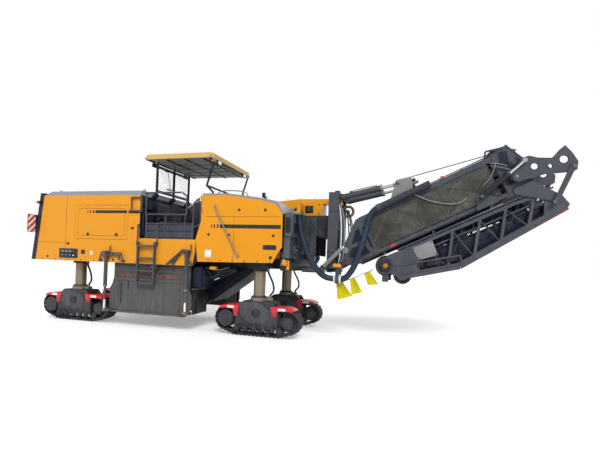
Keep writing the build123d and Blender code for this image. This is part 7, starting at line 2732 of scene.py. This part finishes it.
# --------------------------------------------------------------------------- stage
@dataclass
class Stage:
    """Floor, lights and camera.

    Args:
        eye: Where the camera stands.
        azimuth: Degrees that it looks to the left of the machine's +Y axis.
        roll: Roll about the view axis, in radians.
        lens: Focal length for a 36 mm sensor.
        shift: Sensor shift along x and y.
        floor_reach: Half of the floor's size.
        floor_glow: Light that the floor adds for the camera.
        sky_level: Strength of the sky's light.
        suns: Name, place, spread in degrees and strength of each sun; each looks at the origin.
    """

    eye: Point = (2.90, -8.60, 1.50)
    azimuth: float = 15.8
    roll: float = 0.038
    lens: float = 24.6
    shift: Pair = (0.0023, 0.0617)
    floor_reach: float = 60.0
    floor_glow: float = 0.30
    sky_level: float = 0.46
    suns: tuple[tuple[str, Point, float, float], ...] = (
        ("key", (5.0, -10.0, 9.0), 24.0, 2.5), ("fill", (-9.0, -7.0, 5.0), 60.0, 0.55),
        ("back", (2.0, 12.0, 8.0), 60.0, 0.9))

    def build(self) -> None:
        """Makes the whole stage."""
        self.camera()
        self.floor()
        self.lights()

    def camera(self) -> None:
        """The camera, level but for its roll."""
        data = bpy.data.cameras.new("camera")
        data.sensor_width = 36.0
        data.lens = self.lens
        data.shift_x, data.shift_y = self.shift
        data.clip_end = 200.0
        camera = linked("camera", data)
        aim = Matrix.Rotation(
            math.radians(self.azimuth), 4, "Z") @ Matrix.Rotation(math.radians(90), 4, "X")
        camera.matrix_world = Matrix.Translation(Vector(self.eye)) @ aim @ Matrix.Rotation(
            self.roll, 4, "Z")
        bpy.context.scene.camera = camera

    def floor(self) -> None:
        """A plain pale floor that shows white to the camera and still takes the shadow."""
        mesh = bpy.data.meshes.new("floor")
        reach = self.floor_reach
        mesh.from_pydata(
            [
                (-reach, -reach, -0.002), (reach, -reach, -0.002), (reach, reach, -0.002),
                (-reach, reach, -0.002)],
            [], [(0, 1, 2, 3)])
        mat = bpy.data.materials.new("floor_pale")
        mat.use_nodes = True
        tree = mat.node_tree
        shader = tree.nodes["Principled BSDF"]
        shader.inputs["Base Color"].default_value = (0.80, 0.80, 0.80, 1.0)
        shader.inputs["Roughness"].default_value = 0.9
        shader.inputs["Specular IOR Level"].default_value = 0.1
        glow = tree.nodes.new("ShaderNodeEmission")
        glow.inputs["Color"].default_value = (1, 1, 1, 1)
        path = tree.nodes.new("ShaderNodeLightPath")
        either = tree.nodes.new("ShaderNodeMath")
        either.operation = "MAXIMUM"
        tree.links.new(path.outputs["Is Camera Ray"], either.inputs[0])
        tree.links.new(path.outputs["Is Glossy Ray"], either.inputs[1])
        share = tree.nodes.new("ShaderNodeMath")
        share.operation = "MULTIPLY"
        share.inputs[1].default_value = self.floor_glow
        tree.links.new(either.outputs[0], share.inputs[0])
        tree.links.new(share.outputs[0], glow.inputs["Strength"])
        add = tree.nodes.new("ShaderNodeAddShader")
        tree.links.new(shader.outputs["BSDF"], add.inputs[0])
        tree.links.new(glow.outputs["Emission"], add.inputs[1])
        tree.links.new(add.outputs["Shader"], tree.nodes["Material Output"].inputs["Surface"])
        mesh.materials.append(mat)
        floor = linked("floor", mesh)

    def lights(self) -> None:
        """A level sky and three broad, soft suns."""
        scene = bpy.context.scene
        scene.view_settings.view_transform = "Standard"
        world = bpy.data.worlds.new("sky")
        scene.world = world
        world.use_nodes = True
        tree = world.node_tree
        level = tree.nodes["Background"]
        level.inputs["Color"].default_value = (0.93, 0.96, 1.0, 1.0)
        level.inputs["Strength"].default_value = self.sky_level
        white = tree.nodes.new("ShaderNodeBackground")
        white.inputs["Color"].default_value = (1.0, 1.0, 1.0, 1.0)
        white.inputs["Strength"].default_value = 1.0
        path = tree.nodes.new("ShaderNodeLightPath")
        mix = tree.nodes.new("ShaderNodeMixShader")
        tree.links.new(path.outputs["Is Camera Ray"], mix.inputs["Fac"])
        tree.links.new(level.outputs["Background"], mix.inputs[1])
        tree.links.new(white.outputs["Background"], mix.inputs[2])
        tree.links.new(mix.outputs["Shader"], tree.nodes["World Output"].inputs["Surface"])
        for name, at, spread, power in self.suns:
            data = bpy.data.lights.new(name, "SUN")
            data.angle = math.radians(spread)
            data.energy = power
            lamp = linked(name, data)
            lamp.location = at
            lamp.rotation_euler = (-Vector(at)).to_track_quat("-Z", "Y").to_euler()


@dataclass(frozen=True)
class ShadedFaces:
    """Faces of a node, between two planes across the machine, that take a second, near-black finish as
    painted shade.

    Args:
        finish: Their near-black finish, which paints the shade on them.
        low_x: Rear plane.
        high_x: Front plane.
    """

    finish: Finish
    low_x: float
    high_x: float


# Painted shade: the drum housing's front faces under the machine and the hoods' faces round the operator's
# platform.
SHADED_FACES = {
    "drum_housing": ShadedFaces(NAVY, -1.53, -1.30), "rear_hood": ShadedFaces(SLATE, -2.6895, -2.0),
    "front_hood": ShadedFaces(NAVY, -1.36, -1.235)}


def dress_nodes(frame: dict) -> None:
    """Gives every CAD node its finish, and near-black painted shade to the listed faces between two planes.
    """
    for name, node in frame["nodes"].items():
        finish = next(f for prefix, f in NODE_FINISH if name.startswith(prefix))
        node.data.materials.clear()
        node.data.materials.append(finish.build())
        # Faces between the two planes take the near-black painted shade.
        inner = SHADED_FACES.get(name)
        if inner is not None:
            node.data.materials.append(inner.finish.build())
            for face in node.data.polygons:
                middle = node.matrix_world @ face.center
                face.material_index = int(inner.low_x < middle.x < inner.high_x)


ASSEMBLIES: tuple = (
    UnderCarriage(), RearHood(), Platform(), FrontHood(), Canopy(), MillingUnit(), FirstSection(),
    SecondSection(), MastGear(),)


def main() -> None:
    """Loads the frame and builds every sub-assembly in order."""
    logging.basicConfig(level=logging.INFO, format="%(message)s")
    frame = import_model()
    Stage().build()
    dress_nodes(frame)
    for assembly in ASSEMBLIES:
        assembly.build()
    bpy.context.view_layer.update()


if __name__ == "__main__":
    main()
